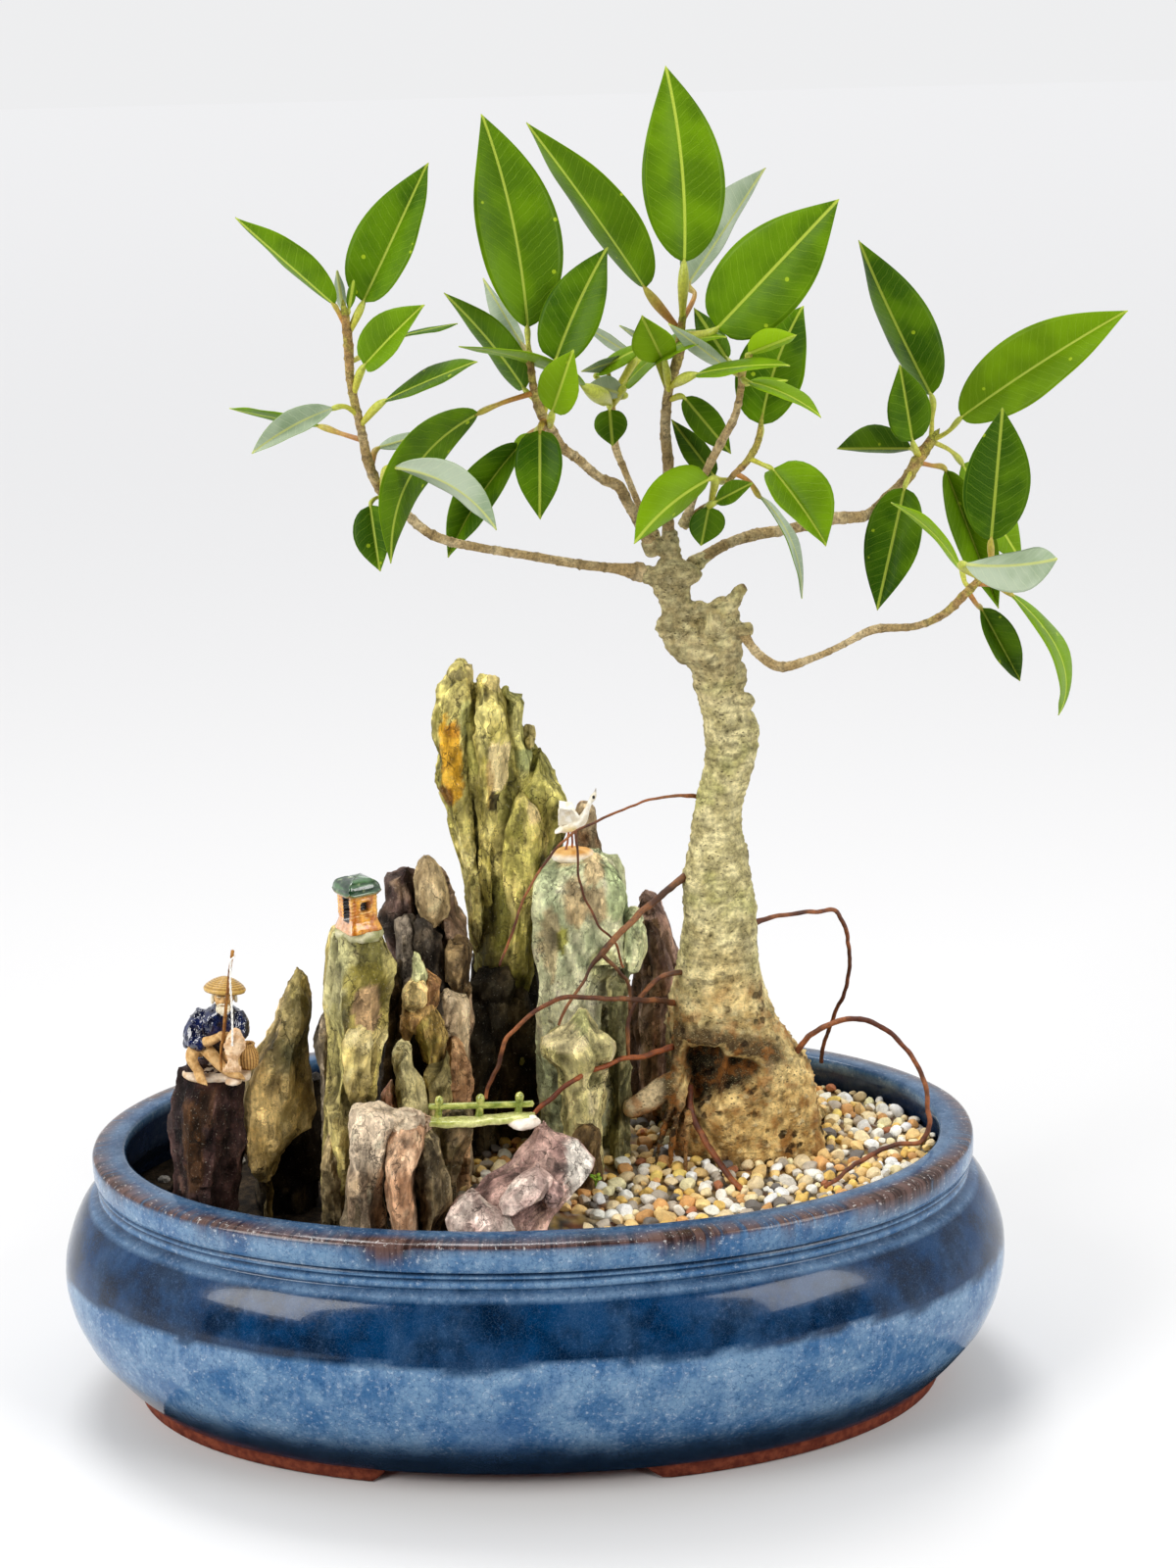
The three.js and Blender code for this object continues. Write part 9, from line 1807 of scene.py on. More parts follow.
    # creel: woven ribs, narrow neck
    prof = spline([[1.6, 145.0, 0], [2.9, 145.8, 0], [3.7, 148.4, 0], [3.5, 151.2, 0], [2.7, 153.0, 0], [2.3, 154.0, 0], [2.6, 154.8, 0], [2.5, 155.2, 0], [1.7, 155.0, 0], [1.5, 153.8, 0], [0.4, 153.4, 0]], 60)
    n = 60
    a = np.arange(n) / n * 2 * np.pi
    V, C = [], []
    for i, (r, z, _) in enumerate(prof):
        w = 0.20 * np.abs(np.sin(a * 10)) * sstep(0.5, 2.5, r) + 0.10 * np.sin(z * 5 + 3.14 * (np.floor(a * 20 / 6.283) % 2))
        rr = r + w
        V.append(np.column_stack([-102.9 + rr * np.cos(a), -40.0 + rr * 0.92 * np.sin(a), np.full(n, z)]))
        C.append(lerp(srgb(120, 78, 32), srgb(214, 168, 100), np.clip(np.abs(np.sin(a * 10)) * 1.1, 0, 1)[:, None]))
    V = np.concatenate(V + [[[-102.9, -40, 144.9], [-102.9, -40, 153.3]]])
    C = np.concatenate(C + [[srgb(120, 80, 40)] * 2])
    m = len(prof)
    F = grid_faces(m, n).tolist()
    for j in range(n):
        F.append([m * n, (j + 1) % n, j])
        F.append([m * n + 1, (m - 1) * n + j, (m - 1) * n + (j + 1) % n])
    s = Shape()
    s.add(V, F, C)
    ob = s.build("angler_creel", [M_BISQUE])
    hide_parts("figure_angler")

    # clay plinth under the figure, pressed onto the stone
    base = [lathe_rows([[-115.4, -39.8, 142.2, 10.4, 6.8], [-115.4, -39.8, 143.4, 12.0, 7.8], [-115.2, -39.8, 144.4, 12.4, 8.2], [-115.2, -39.8, 145.2, 11.8, 7.8], [-115.2, -39.8, 145.6, 10.2, 6.6]], 40, 0, 0.8),
            sphere((-104.8, -41.5, 143.8), (3.0, 5.2, 1.7), 16, 10), sphere((-107.4, -49.6, 144.0), (3.4, 2.8, 1.5), 16, 10), tubep([[-105, -46, 143.6, 1.4], [-103.2, -45, 143.8, 1.6], [-102.8, -43, 144.6, 1.2]], 10, 10)]
    joined("angler_plinth", base, 0.68, [M_BISQUE], "figure_angler", lambda V, N: tint(V, (200, 168, 132), (232, 214, 190), (0.3, 0.3, 0.3), 35), 4, lambda V: 0.30 * fbm(V * 0.4, 3, 36))


def make_rod():
    v, f, tt, _, S = tube_arrays([[-111.0, -54.2, 150.2, 0.42], [-110.6, -53.6, 158.0, 0.50], [-109.6, -52.9, 163.0, 0.60], [-108.6, -53.4, 169.4, 0.60], [-107.2, -54.6, 178.0, 0.58], [-105.6, -55.6, 187.6, 0.56], [-104.2, -56.0, 194.6, 0.60], [-103.8, -56.0, 196.6, 0.66]], 14, 90)
    node_z = (160, 170.5, 180.0, 189.2)
    k = np.zeros(len(v))
    for z in node_z:
        k += np.exp(-((v[:, 2] - z) / 0.35) ** 2)
    c = np.interp(tt, np.linspace(0, 1, 90), S[:, 0])
    cx = np.column_stack([np.interp(tt, np.linspace(0, 1, 90), S[:, i]) for i in range(3)])
    v = v + nrm(v - cx) * (0.16 * k)[:, None]
    col = lerp(srgb(112, 66, 22), srgb(176, 122, 52), sstep(-0.3, 0.3, fbm(v * np.array([0.6, 0.6, 0.2]), 3, 41))[:, None])
    col = lerp(col, srgb(84, 48, 18), np.clip(k * 0.8, 0, 1)[:, None])
    s = Shape()
    s.add(v, f, col)
    ob = s.build("fishing_rod", [M_BISQUE])
    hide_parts("rod_line_fish")
    # line: twisted white thread, looped over the rod's tip
    P = np.array([[-104.6, -56.8, 193.2], [-105.2, -57.1, 186], [-105.2, -57.5, 176], [-105.4, -58.0, 168], [-105.8, -58.4, 161.2]])
    Q = spline(P, 160)
    T, U, W = frames(Q)
    s = Shape()
    for ph in (0, math.pi):
        a = np.linspace(0, 46, 160) + ph
        C = Q + 0.20 * (np.cos(a)[:, None] * U + np.sin(a)[:, None] * W)
        v, f, *_ = tube_arrays(np.column_stack([C, np.full(160, 0.24)]), 8, 160)
        s.add(v, f, srgb(240, 238, 232))
    v, f, *_ = tube_arrays([[-103.2, -56.3, 194.6, 0.3], [-103.6, -57.0, 194.3, 0.3], [-104.6, -56.9, 193.6, 0.3], [-104.9, -56.0, 193.6, 0.3], [-104.2, -55.2, 194.2, 0.3], [-103.2, -55.6, 194.7, 0.3], [-103.2, -56.4, 194.5, 0.3]], 8, 40)
    s.add(v, f, srgb(240, 238, 232))
    v, f = sphere((-104.7, -57.2, 193.2), (0.55, 0.5, 0.6), 10, 8)
    s.add(v, f, srgb(240, 238, 232))
    ob = s.build("fishing_line", [M_CREAM])
    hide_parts("rod_line_fish")
    # fish of rough peach clay: head up, fanned tail below
    body = [lathe_rows([[-104.6, -55.4, 167.0, 0.6, 0.5], [-104.7, -55.5, 166.0, 1.8, 1.2], [-105.0, -55.8, 164.0, 2.9, 1.7], [-105.4, -56.0, 161.0, 3.5, 2.0], [-105.8, -56.0, 158.4, 3.3, 1.9], [-106.0, -56.0, 156.2, 2.4, 1.5], [-106.2, -56.0, 154.8, 1.7, 1.2], [-106.4, -56.0, 153.6, 2.1, 1.0], [-106.6, -56.0, 152.0, 3.1, 0.9], [-106.8, -56.0, 150.8, 3.5, 0.8], [-106.9, -56.0, 150.2, 3.4, 0.6]], 26),
            lathe_rows([[-102.4, -56, 163.6, 0.6, 0.5], [-102.2, -56, 161.6, 1.2, 0.5], [-102.6, -56, 159.4, 1.3, 0.5], [-103.2, -56, 157.6, 0.6, 0.4]], 12), sphere((-108.2, -56.9, 160.6), (1.1, 0.7, 1.4), 10, 8)]
    g = rng(71)

    def pores(V):
        d1, _, idv = cells(V * 0.85, 72)
        scale_ = np.sin(V[:, 2] * 4.2 + np.abs(np.sin(V[:, 0] * 2.4)) * 2.2)
        tail = sstep(154.6, 153.4, V[:, 2])
        return -0.42 * sstep(0.30, 0.12, d1) * (idv > 0.35) * (1 - tail) + 0.07 * scale_ * (1 - tail) + 0.16 * np.sin((V[:, 0] + 106.5) * 7.0) * tail + 0.14 * fbm(V * 1.4, 2, 73)

    def fish_col(V, N):
        d1, _, idv = cells(V * 0.85, 72)
        c = tint(V, (206, 164, 120), (238, 206, 168), (0.4, 0.4, 0.4), 74)
        return lerp(c, srgb(150, 104, 66), (sstep(0.28, 0.12, d1) * (idv > 0.35) * 0.7)[:, None])
    joined("fish", body, 0.28, [M_BISQUE], "rod_line_fish", fish_col, 2, pores)


def make_hut():
    cx, cy = -59.6, -43.0
    yaw = math.radians(33)
    R = np.array([[math.cos(yaw), -math.sin(yaw)], [math.sin(yaw), math.cos(yaw)]])

    def place(V):
        V = np.asarray(V, float).copy()
        V[:, :2] = V[:, :2] @ R.T + [cx, cy]
        return V
    # local frame: +x right, -y the wide face with the window, -x the face with the door
    h, z0 = 5.35, 199.3
    rows = []
    for z, k in ((0.0, 1.22), (0.7, 1.25), (1.6, 1.20), (2.8, 1.12), (4.2, 1.03), (5.2, 1.0), (9, 0.985), (13.0, 1.0), (15.4, 1.01)):
        rows.append([0, 0, z0 + z, h * k * 1.02, h * k])
    nside = 20
    def square(a, b, n):
        t = np.linspace(-1, 1, n, endpoint=False)
        e = np.ones_like(t)
        x = np.concatenate([t, e, -t, -e]) * a
        y = np.concatenate([-e, t, e, -t]) * b
        # corners slightly rounded
        r = np.hypot(x / a, y / b)
        k = 1 - 0.07 * sstep(1.15, 1.41, r)
        return x * k, y * k
    V, C = [], []
    zz = np.linspace(z0, z0 + 15.0, 44)
    prof = np.array(rows)
    for z in zz:
        k = np.interp(z, prof[:, 2], prof[:, 4]) / h
        x, y = square(h * k * 1.02, h * k, nside)
        V.append(np.column_stack([x, y, np.full(len(x), z)]))
    m, n = len(zz), 4 * nside
    V = np.concatenate(V)
    N = np.column_stack([V[:, 0], V[:, 1], np.zeros(len(V))])
    big = np.abs(V[:, 0]) > np.abs(V[:, 1])
    N = np.where(big[:, None], np.column_stack([np.sign(V[:, 0]), V[:, 0] * 0, V[:, 0] * 0]), np.column_stack([V[:, 0] * 0, np.sign(V[:, 1]), V[:, 0] * 0]))
    front, left = N[:, 1] < -0.5, N[:, 0] < -0.5
    zl = V[:, 2] - z0
    # window pressed into the wide face, tall doorway cut in the narrow one
    wr = ((np.abs(V[:, 0] - 0.3) / 1.75) ** 5 + (np.abs(zl - 9.6) / 1.8) ** 5) ** 0.2
    win = front & (wr < 1.0)
    door = left & (np.abs(V[:, 1] + 1.5) < 1.75) & (zl > 4.4) & (zl < 14.4)
    dark_door = left & (np.abs(V[:, 1] + 1.5) < 2.1) & (zl > 4.1) & (zl < 14.8)
    rel = np.where(win, -2.2, 0) + np.where(door, -4.2, 0)
    raised = front * np.exp(-((wr - 1.3) / 0.2) ** 2) * 0.35
    carve = (0.22 * fbm(V * 1.1, 3, 91) + 0.12 * np.sin(zl * 5.2)) * sstep(4.5, 5.5, zl)
    corner = 0.35 * sstep(0.75, 0.95, np.minimum(np.abs(V[:, 0]), np.abs(V[:, 1])) / h) * sstep(5, 6, zl)
    rel = rel + raised + carve + corner + 0.12 * fbm(V * 0.5, 2, 92)
    V2 = V + N * rel[:, None]
    k = sstep(-0.3, 0.3, fbm(V * np.array([0.5, 0.5, 0.3]), 3, 93))
    amber = lerp(srgb(176, 96, 10), srgb(232, 164, 56), k[:, None])
    amber = lerp(amber, srgb(246, 214, 140), (sstep(0.10, 0.5, rel) * 0.6)[:, None])
    amber = lerp(amber, srgb(120, 58, 8), (sstep(0.0, -0.4, rel) * 0.5)[:, None])
    bare = lerp(srgb(214, 158, 116), srgb(236, 190, 156), k[:, None])
    c = np.where((left & (zl < 4.9))[:, None], bare, amber)
    # painted shade: the window and doorway recesses are painted near black
    c = np.where((win | dark_door)[:, None], srgb(20, 9, 3)[None, :], c)
    V2 = np.concatenate([V2, [[0, 0, z0], [0, 0, z0 + 15.0]]])
    F = grid_faces(m, n).tolist()
    for j in range(n):
        F.append([m * n, (j + 1) % n, j])
        F.append([m * n + 1, (m - 1) * n + j, (m - 1) * n + (j + 1) % n])
    s = Shape()
    s.add(place(V2), F, np.concatenate([c, [srgb(90, 50, 10)] * 2]))
    ob = s.build("hut_walls", [M_AMBER])
    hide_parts("hut")
    # roof: four curved hips meeting at a soft point, thick rolled eave
    nside = 18
    V, C = [], []
    T = np.linspace(0, 1, 34)
    ze = z0 + 14.0
    for t in T:
        # t 0 under the eave's inner edge, then round the lip, then up the dome
        if t < 0.12:
            u = t / 0.12
            k, z = 0.80 + 0.34 * u, ze + 0.3 - 0.3 * u
        elif t < 0.22:
            u = (t - 0.12) / 0.10
            k, z = 1.14 + 0.05 * math.sin(u * math.pi), ze + 1.2 * u
        else:
            u = (t - 0.22) / 0.78
            k, z = 1.14 * math.cos(u * math.pi / 2) ** 0.72, ze + 1.2 + 4.7 * math.sin(u * math.pi / 2) ** 0.9
        k = max(k, 0.02)
        a = 5.95 * k
        x, y = square(a, a, nside)
        hip = np.exp(-((np.minimum(np.abs(x), np.abs(y)) / np.maximum(np.maximum(np.abs(x), np.abs(y)), 1e-6) - 1) / 0.13) ** 2)
        lift = hip * 0.7 * (1 - min(1, max(0, (t - 0.2) / 0.5)))
        V.append(np.column_stack([x, y, z + lift + 0.18 * hip * (t > 0.22)]))
    m, n = len(T), 4 * nside
    V = np.concatenate(V)
    tt = np.repeat(T, n)
    V += np.column_stack([fbm(V * 0.3, 2, 95), fbm(V * 0.3 + 4, 2, 96), fbm(V * 0.3 + 8, 2, 97)]) * 0.14
    band = fbm(np.column_stack([V[:, 0] * 0.10, V[:, 1] * 0.10, V[:, 2] * 0.9]), 3, 98)
    c = lerp(srgb(14, 44, 22), srgb(66, 104, 62), sstep(-0.35, 0.35, band)[:, None])
    c = lerp(c, srgb(176, 190, 140), (sstep(0.28, 0.55, fbm(V * 0.35, 2, 99)) * 0.45)[:, None])
    c = lerp(c, srgb(176, 132, 74), (sstep(0.21, 0.12, tt) * 0.75)[:, None])
    V = np.concatenate([V, [[0, 0, ze + 0.8], [0, 0, V[-n:, 2].mean() + 0.02]]])
    F = grid_faces(m, n).tolist()
    for j in range(n):
        F.append([m * n, (j + 1) % n, j])
        F.append([m * n + 1, (m - 1) * n + j, (m - 1) * n + (j + 1) % n])
    s = Shape()
    s.add(place(V), F, np.concatenate([c, [srgb(80, 60, 30), srgb(120, 140, 96)]]))
    ob = s.build("hut_roof", [M_GREEN])
    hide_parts("hut")
    # bed of putty between the hut and its stone
    V, F = lathe_rows([[cx, cy + 0.8, 195.6, 8.2, 6.4], [cx, cy + 0.8, 197.2, 8.8, 7.0], [cx + 0.2, cy + 0.6, 198.9, 8.6, 7.0], [cx + 0.2, cy + 0.6, 199.7, 7.4, 6.4]], 48, 0, 0.8)
    V = V + np.column_stack([fbm(V * 0.25, 2, 45), fbm(V * 0.25 + 3, 2, 46), 0.4 * fbm(V * 0.3, 2, 47)]) * 1.1
    s = Shape()
    s.add(V, F, tint(V, (150, 150, 96), (212, 206, 170), (0.3, 0.3, 0.5), 48))
    ob = s.build("hut_bed", [M_BISQUE])
    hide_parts("hut")


def make_crane():
    y = 10.0
    parts = [lathe_rows([[0, 0, 0, 0.3, 0.3], [0, 0, 1.2, 1.1, 1.2], [0, 0, 3.2, 1.9, 2.1], [0, 0, 5.6, 2.4, 2.6], [0, 0, 8.2, 2.3, 2.4], [0, 0, 10.2, 1.6, 1.6], [0, 0, 11.2, 0.8, 0.8]], 24)]
    V, F = parts[0]
    # lay the body along its axis from the tail to the breast
    a, b = np.array([12.3, y, 218.7]), np.array([23.4, y, 222.2])
    d = nrm(b - a)
    u = nrm(np.cross(d, [0, 1, 0]))
    V = a + V[:, 0:1] * u + V[:, 1:2] * np.array([0, 1, 0]) + V[:, 2:3] * d
    body = [(V, F)]
    body.append(tubep([[20.6, y, 221.4, 2.3], [22.4, y, 223.0, 1.9], [23.6, y, 225.4, 1.35], [24.6, y, 228.0, 1.0], [25.7, y, 230.2, 0.95], [26.6, y, 231.6, 1.15], [27.1, y, 232.7, 0.85], [27.5, y, 234.0, 0.42], [27.75, y, 235.2, 0.18]], 18, 50))
    for s in (-1, 1):
        # raised wing: root along the back, tip swept up and back
        root = [[13.0, 221.0], [16.0, 221.6], [19.0, 222.6], [21.4, 223.6]]
        mid = [[13.0, 225.0], [15.6, 225.6], [18.2, 226.2], [19.8, 226.0]]
        tip = [[13.6, 229.3], [14.8, 228.9], [16.6, 228.6], [18.6, 228.4]]
        rows = []
        for t in np.linspace(0, 1, 14):
            if t < 0.5:
                r = lerp(np.array(root), np.array(mid), t * 2)
            else:
                r = lerp(np.array(mid), np.array(tip), t * 2 - 1)
            yy = y + s * (1.4 + 3.6 * t - 0.6 * math.sin(t * 3.14))
            th = 0.55 - 0.2 * t
            P = spline([[p[0], p[1], 0] for p in r], 12)
            up = [[p[0], yy - th * math.sin(math.pi * (i + 0.5) / 12) ** 0.6, p[1]] for i, p in enumerate(P)]
            dn = [[p[0], yy + th * math.sin(math.pi * (i + 0.5) / 12) ** 0.6, p[1]] for i, p in enumerate(P)][::-1]
            rows.append(up + dn)
        n = len(rows[0])
        Vw = np.array(rows).reshape(-1, 3)
        Fw = grid_faces(len(rows), n).tolist()
        Vw = np.concatenate([Vw, [Vw[:n].mean(0), Vw[-n:].mean(0)]])
        k = len(rows) * n
        for j in range(n):
            Fw.append([k, (j + 1) % n, j])
            Fw.append([k + 1, (len(rows) - 1) * n + j, (len(rows) - 1) * n + (j + 1) % n])
        body.append((Vw, Fw))
    # tail feathers
    for k in range(3):
        body.append(tubep([[15.0, y + (k - 1) * 1.0, 219.6, 1.0], [13.0, y + (k - 1) * 1.3, 218.7, 0.75], [11.7, y + (k - 1) * 1.4, 218.1, 0.3]], 10, 12))

    def feathers(V):
        w = sstep(222.5, 224.0, V[:, 2]) * sstep(21.5, 20, V[:, 0])
        return 0.12 * fbm(V * 0.5, 2, 53) - 0.10 * w * (np.sin(V[:, 0] * 3.4 + V[:, 2] * 0.8) > 0.7)

    def crane_col(V, N):
        c = tint(V, (226, 216, 192), (250, 247, 238), (0.3, 0.3, 0.3), 54)
        belly = np.exp(-(((V[:, 0] - 18.0) / 3.2) ** 2 + ((V[:, 2] - 219.6) / 1.5) ** 2))
        c = lerp(c, srgb(226, 196, 110), (belly * 0.75)[:, None])
        eye = np.hypot((V[:, 0] - 26.75) / 0.62, (V[:, 2] - 231.85) / 0.75)
        c = lerp(c, srgb(14, 12, 14), (sstep(1.15, 0.75, eye) * (np.abs(V[:, 1] - y) > 0.25))[:, None])
        bk = sstep(233.2, 234.2, V[:, 2])
        return lerp(c, srgb(140, 132, 120), (bk * 0.8)[:, None])
    joined("crane_bird", body, 0.22, [M_WHITE], "crane", crane_col, 2, feathers)
    s = Shape()
    for pts in ([[17.2, y - 1, 219.6, 0.42], [16.8, y - 1, 217.2, 0.42], [16.4, y - 0.9, 214.0, 0.40], [15.7, y - 1.3, 211.4, 0.42], [15.6, y - 2.0, 210.6, 0.42]],
                [[18.3, y + 1, 219.6, 0.42], [18.2, y + 1, 217.2, 0.42], [18.3, y + 1, 214.0, 0.40], [18.3, y + 1, 211.4, 0.42], [18.9, y + 0.6, 210.5, 0.42]]):
        v, f, *_ = tube_arrays(pts, 12, 40, 0.08, 5)
        s.add(v, f, tint(v, (120, 58, 26), (196, 116, 62), (0.8, 0.8, 0.8), 55))
    ob = s.build("crane_legs", [M_WIRE])
    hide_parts("crane")
    # half-moon clay base: pale edge, orange-tan top
    V, F = lathe_rows([[18.2, y, 207.4, 7.0, 6.0], [18.2, y, 208.2, 8.0, 6.8], [18.2, y, 209.4, 8.3, 7.0], [18.1, y, 210.2, 7.9, 6.6], [18.0, y + 0.3, 210.8, 6.4, 5.0], [17.8, y + 0.5, 211.4, 4.6, 3.6], [17.6, y + 0.6, 211.7, 2.2, 1.8]], 64, 0, 0.92)
    V[:-2] += (fbm(V[:-2] * 0.4, 2, 56) * 0.45)[:, None] * np.array([1, 1, 0.4])
    top = sstep(209.9, 210.6, V[:, 2])
    c = lerp(tint(V, (222, 206, 178), (246, 238, 222), (0.3, 0.3, 0.3), 57), tint(V, (206, 146, 70), (238, 190, 118), (0.3, 0.3, 0.3), 58), top[:, None])
    s = Shape()
    s.add(V, F, c)
    ob = s.build("crane_base", [M_CREAM])
    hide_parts("crane")


def make_bridge():
    g = rng(81)
    z = 129.2
    s = Shape()
    # deck: rolled clay plank with a soft edge, thumb-pressed waves
    L, W = 44, 14
    e0, e1 = np.array([-48.0, -62.0]), np.array([2.6, -58.6])
    d = nrm(e1 - e0)
    nrm2 = np.array([-d[1], d[0]])
    ln = np.linalg.norm(e1 - e0)
    hw = 3.1
    ring = []
    for k in range(20):
        a = k / 20 * 2 * math.pi
        ca, sa = math.cos(a), math.sin(a)
        ring.append([np.sign(ca) * abs(ca) ** 0.45 * hw, np.sign(sa) * abs(sa) ** 0.6 * 1.35])
    ring = np.array(ring)
    rows, n = [], 70
    for i in range(n):
        t = i / (n - 1)
        p = e0 + d * ln * t
        k = 1.0 if 0.02 < t < 0.98 else 0.93
        zz = z + 1.4 + 0.35 * math.sin(t * 9.0) + 0.15 * math.sin(t * 31.0)
        wob = 1 + 0.05 * math.sin(t * 17)
        rows.append(np.column_stack([p[0] + ring[:, 0] * k * wob * nrm2[0], p[1] + ring[:, 0] * k * wob * nrm2[1], zz + ring[:, 1] * k]))
    V = np.concatenate(rows)
    m = len(ring)
    F = grid_faces(n, m).tolist()
    V = np.concatenate([V, [rows[0].mean(0), rows[-1].mean(0)]])
    for j in range(m):
        F.append([n * m, (j + 1) % m, j])
        F.append([n * m + 1, (n - 1) * m + j, (n - 1) * m + (j + 1) % m])
    V = V + (fbm(V * 0.35, 3, 83) * 0.35)[:, None] * np.array([0.3, 0.3, 1.0])
    edge = sstep(0.6, -0.9, V[:, 2] - z - 1.3)
    c = lerp(tint(V, (164, 170, 82), (222, 222, 150), (0.25, 0.25, 0.4), 84), tint(V, (210, 208, 130), (236, 230, 172), (0.3, 0.3, 0.3), 85), (edge * 0.75)[:, None])
    s.add(V, F, c)
    # posts and a rail on one side, joined by the glaze
    for side in (1,):
        off = side * 2.2
        for t in (0.31, 0.605, 0.885):
            p = e0 + d * ln * t + nrm2 * off
            lean = 0.5
            v, f, *_ = tube_arrays([[p[0] - 0.4, p[1], z + 1.6, 1.55], [p[0], p[1], z + 4.5, 1.35], [p[0] + 0.25, p[1], z + 7.4, 1.4], [p[0] + lean, p[1], z + 9.6, 1.5], [p[0] + lean + 0.1, p[1], z + 10.3, 1.1]], 18, 30, 0.10, int(t * 100))
            s.add(v, f, tint(v, (112, 124, 44), (196, 196, 106), (0.4, 0.4, 0.25), 86))
        a = e0 + d * ln * 0.245 + nrm2 * (off - side * 0.2)
        b = e0 + d * ln * 0.985 + nrm2 * (off - side * 0.2)
        v, f, *_ = tube_arrays([[a[0], a[1], z + 6.9, 1.2], [(a[0] + b[0]) / 2, (a[1] + b[1]) / 2, z + 6.4, 1.25], [b[0], b[1], z + 6.0, 1.2]], 16, 60, 0.08, 9)
        s.add(v, f, tint(v, (112, 126, 46), (192, 194, 104), (0.15, 0.15, 0.5), 87))
    ob = s.build("bridge_clay", [M_CELADON])
    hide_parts("bridge")
    # lump of white putty that holds the far end on the slab
    V, F = sphere((-1.6, -60.6, 129.6), (5.9, 4.6, 2.3), 40, 24)
    V = V + nrm(V - [-1.6, -60.6, 129.6]) * (0.8 * fbm(V * 0.22, 3, 88))[:, None]
    s = Shape()
    s.add(V, F, tint(V, (222, 206, 188), (250, 240, 226), (0.3, 0.3, 0.3), 89))
    V, F = sphere((1.6, -60.4, 131.4), (1.6, 1.3, 0.9), 20, 12)
    s.add(V, F, srgb(246, 238, 220))
    V, F = sphere((-46.5, -62.5, 131.0), (5.0, 5.0, 2.2), 30, 18)
    V = V + nrm(V - [-46.5, -62.5, 131.0]) * (0.7 * fbm(V * 0.22, 3, 90))[:, None]
    s.add(V, F, tint(V, (196, 184, 160), (232, 222, 200), (0.3, 0.3, 0.3), 92))
    ob = s.build("bridge_putty", [M_CREAM])
    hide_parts("bridge")


def make_small():
    """Little sprout among the pebbles."""
    s = Shape()
    g = rng(91)
    for k in range(7):
        a = k * 0.9
        p = np.array([23.9 + 1.2 * math.cos(a), -40 + 1.2 * math.sin(a), 97.2 + g.uniform(0, 1.4)])
        v, f, *_ = tube_arrays([[23.9, -40, 94.6, 0.25], [*lerp(np.array([23.9, -40, 96]), p, 0.6), 0.22], [*p, 0.18]], 8, 10)
        s.add(v, f, srgb(110, 150, 30))
        v, f = sphere(p + [0.4 * math.cos(a), 0.4 * math.sin(a), 0.3], (0.9, 0.8, 0.35), 10, 8, (g.uniform(-0.5, 0.5), g.uniform(-0.5, 0.5), a))
        s.add(v, f, lerp(srgb(96, 150, 20), srgb(170, 200, 60), g.random()))
    ob = s.build("sprout", [M_STALK])
    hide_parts("gravel")


M_COAT = mat_glaze("blue_glaze", None, 0.08, 0.10, 1.0)
M_BISQUE = mat_vertex("bare_clay", 0.72, 900, 3200, 0.4, 0.35, 0.0003, 0.35, 0.80, 1.16)
M_CREAM = mat_vertex("cream_clay", 0.6, 900, 3200, 0.4, 0.25, 0.0002, 0.4, 0.88, 1.1)
M_STRAW = mat_vertex("straw_glaze", 0.42, 1100, 4000, 0.4, 0.4, 0.0003, 0.45, 0.75, 1.2, 0.3)
M_AMBER = mat_glaze("amber_glaze", None, 0.14, 0.25, 0.8)
M_GREEN = mat_glaze("green_glaze", None, 0.10, 0.15, 0.9)
M_CELADON = mat_glaze("celadon_glaze", None, 0.18, 0.15, 0.6)
M_WHITE = mat_glaze("white_glaze", None, 0.30, 0.05, 0.25)
M_WIRE = mat_vertex("copper_wire", 0.35, 1500, 5000, 0.4, 0.2, 0.0001, 0.6, 0.8, 1.15)


# ------------------------------------------------------------------ floor, light, camera
def make_stage():
    me = bpy.data.meshes.new("floor")
    me.from_pydata([(-30, -30, 0), (30, -30, 0), (30, 30, 0), (-30, 30, 0)], [], [[0, 1, 2, 3]])
    me.update()
    ob = bpy.data.objects.new("floor", me)
    bpy.context.scene.collection.objects.link(ob)
    m = Nodes("floor_paper")
    m.set(Base_Color=(0.735, 0.735, 0.74), Roughness=0.9, Specular_IOR_Level=0.0)
    me.materials.append(m.mat)
    # dark cloth opposite the pot's front: only its reflection in the glaze is seen
    me = bpy.data.meshes.new("dark_cloth")
    V, F = [], []
    n = 24
    for i in range(n + 1):
        a = math.radians(-60 + 120 * i / n)
        V += [(1.9 * math.sin(a), -1.9 * math.cos(a), 0.03), (1.9 * math.sin(a), -1.9 * math.cos(a), 6.5)]
    F = [[2 * i, 2 * i + 2, 2 * i + 3, 2 * i + 1] for i in range(n)]
    me.from_pydata(V, [], F)
    me.update()
    ob = bpy.data.objects.new("dark_cloth", me)
    bpy.context.scene.collection.objects.link(ob)
    m = Nodes("dark_cloth")
    m.set(Base_Color=(0.02, 0.022, 0.026), Roughness=0.95, Specular_IOR_Level=0.0)
    me.materials.append(m.mat)
    ob.visible_camera = False
    ob.visible_shadow = False
    # and a dark mat round the pot, seen only in the glaze, for the same reason
    mat = bpy.data.meshes.new("dark_mat")
    mat.from_pydata([(-1.0, -1.85, 0.0004), (1.0, -1.85, 0.0004), (0.15, 0.0, 0.0004), (-0.15, 0.0, 0.0004)], [], [[0, 1, 2, 3]])
    mat.update()
    mat.materials.append(m.mat)
    ob = bpy.data.objects.new("dark_mat", mat)
    bpy.context.scene.collection.objects.link(ob)
    ob.visible_camera = False
    ob.visible_diffuse = False
    ob.visible_shadow = False


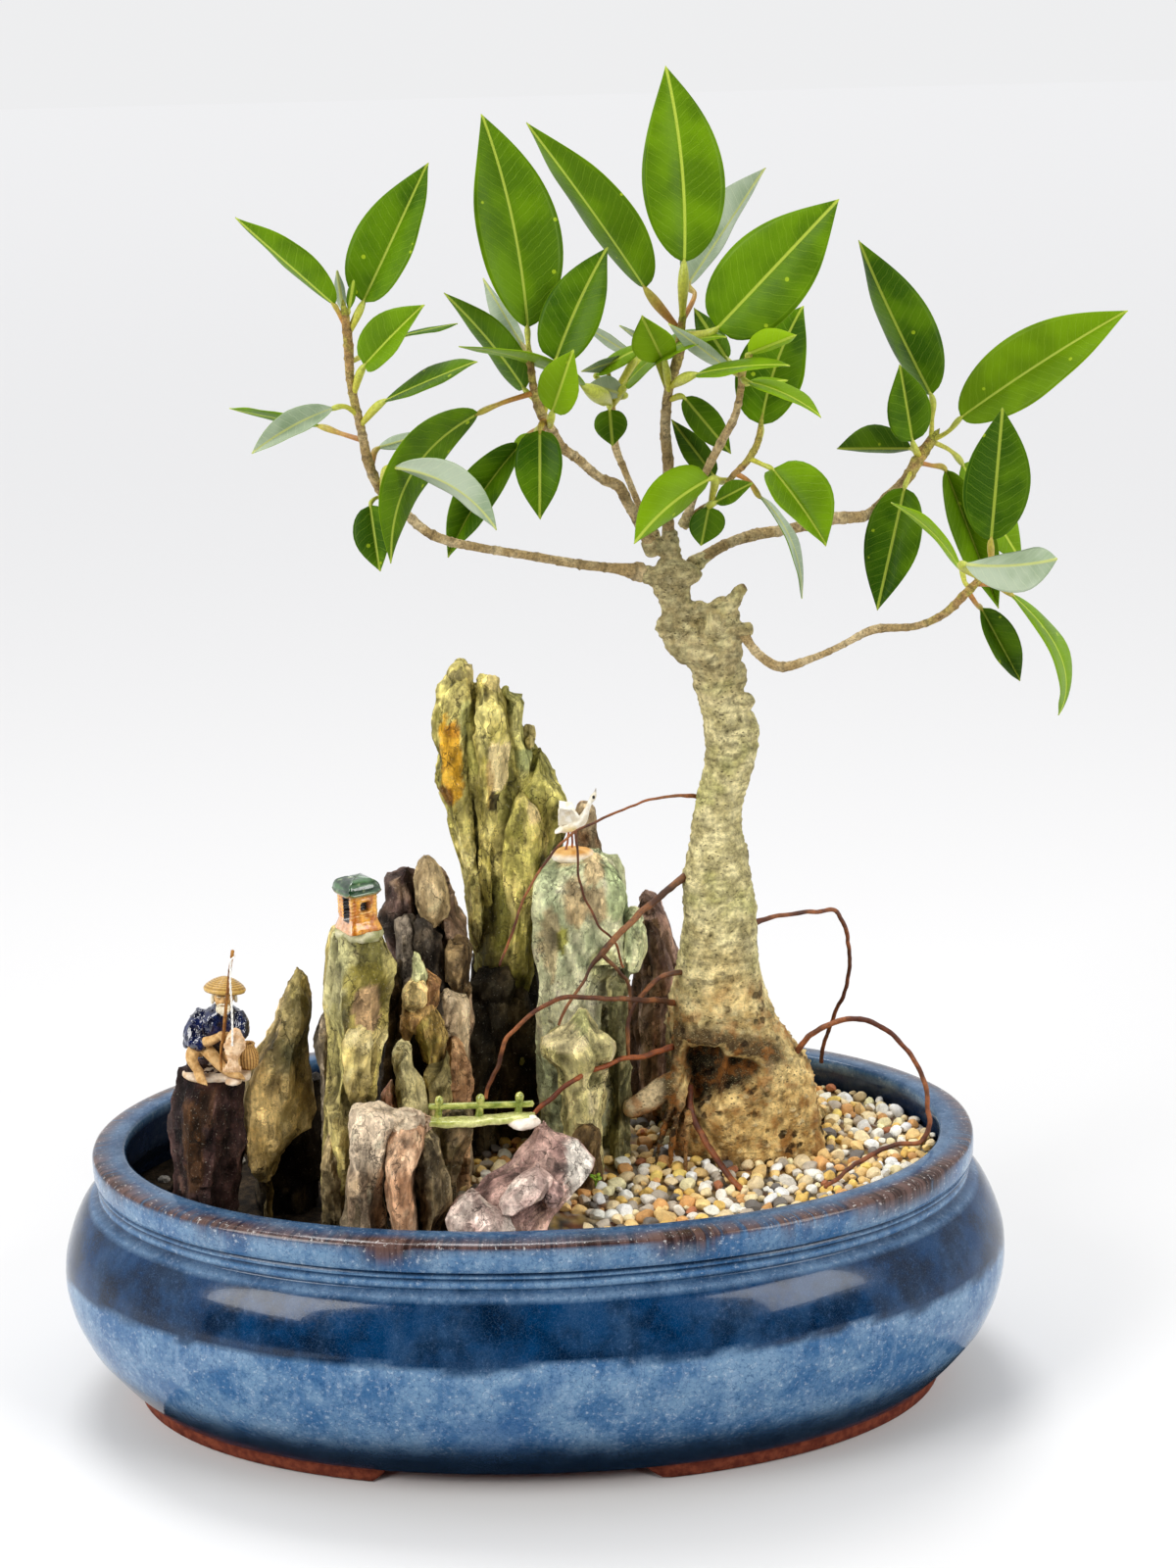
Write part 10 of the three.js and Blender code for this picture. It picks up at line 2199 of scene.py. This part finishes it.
def area(name, loc, target, size, power, color=(1, 1, 1), size_y=None):
    li = bpy.data.lights.new(name, "AREA")
    li.energy = power
    li.color = color
    li.shape = "RECTANGLE" if size_y else "SQUARE"
    li.size = size
    if size_y:
        li.size_y = size_y
    ob = bpy.data.objects.new(name, li)
    bpy.context.scene.collection.objects.link(ob)
    loc, target = Vector(loc), Vector(target)
    ob.matrix_world = Matrix.Translation(loc) @ (target - loc).to_track_quat("-Z", "Y").to_matrix().to_4x4()
    return ob


def make_light_and_camera():
    sc = bpy.context.scene
    w = bpy.data.worlds.new("studio")
    w.use_nodes = True
    bg = w.node_tree.nodes["Background"]
    bg.inputs[0].default_value = (0.855, 0.857, 0.865, 1)
    bg.inputs[1].default_value = 1.0
    sc.world = w
    area("softbox_left", (-0.98, -0.80, 0.95), (-0.02, 0, 0.16), 0.62, 16.0, (1.0, 0.985, 0.96), 0.85)
    area("softbox_right", (0.98, -0.80, 0.95), (0.02, 0, 0.16), 0.62, 12.0, (1.0, 0.985, 0.96), 0.85)
    li = bpy.data.lights.new("sky", "SUN")
    li.energy = 1.15
    li.angle = math.radians(22)
    ob = bpy.data.objects.new("sky", li)
    sc.collection.objects.link(ob)
    ob.rotation_euler = (math.radians(-24), math.radians(-8), 0)
    pitch, roll = 0.271, -0.025
    fwd = Vector((0, math.cos(pitch), -math.sin(pitch)))
    r0 = Vector((1, 0, 0))
    u0 = Vector((0, math.sin(pitch), math.cos(pitch)))
    rt = math.cos(roll) * r0 + math.sin(roll) * u0
    up = -math.sin(roll) * r0 + math.cos(roll) * u0
    M = Matrix.Identity(4)
    for i in range(3):
        M[i][0], M[i][1], M[i][2] = rt[i], up[i], -fwd[i]
    loc = (EYE + OFF) / 1000.0
    for i in range(3):
        M[i][3] = loc[i]
    cam = bpy.data.cameras.new("camera")
    cam.lens = 60.75
    cam.sensor_width = 36.0
    cam.sensor_fit = "AUTO"
    cam.clip_start = 0.05
    cam.clip_end = 30
    ob = bpy.data.objects.new("camera", cam)
    sc.collection.objects.link(ob)
    ob.matrix_world = M
    sc.camera = ob
    sc.view_settings.view_transform = "Standard"
    sc.view_settings.look = "None"
    sc.view_settings.exposure = 0.0
    sc.view_settings.gamma = 1.0


make_pot()
make_soil()
make_trunk()
make_stems()
make_leaves()
make_roots()
make_rocks()
BLOCKED = [(84, 7, 24, 20), (25, -17, 9, 8), (0, -62, 26, 12), (22, 12, 21, 15), (20, -28, 6, 6)]
make_gravel(BLOCKED)
make_small()
make_angler()
make_rod()
make_hut()
make_crane()
make_bridge()
make_stage()
make_light_and_camera()
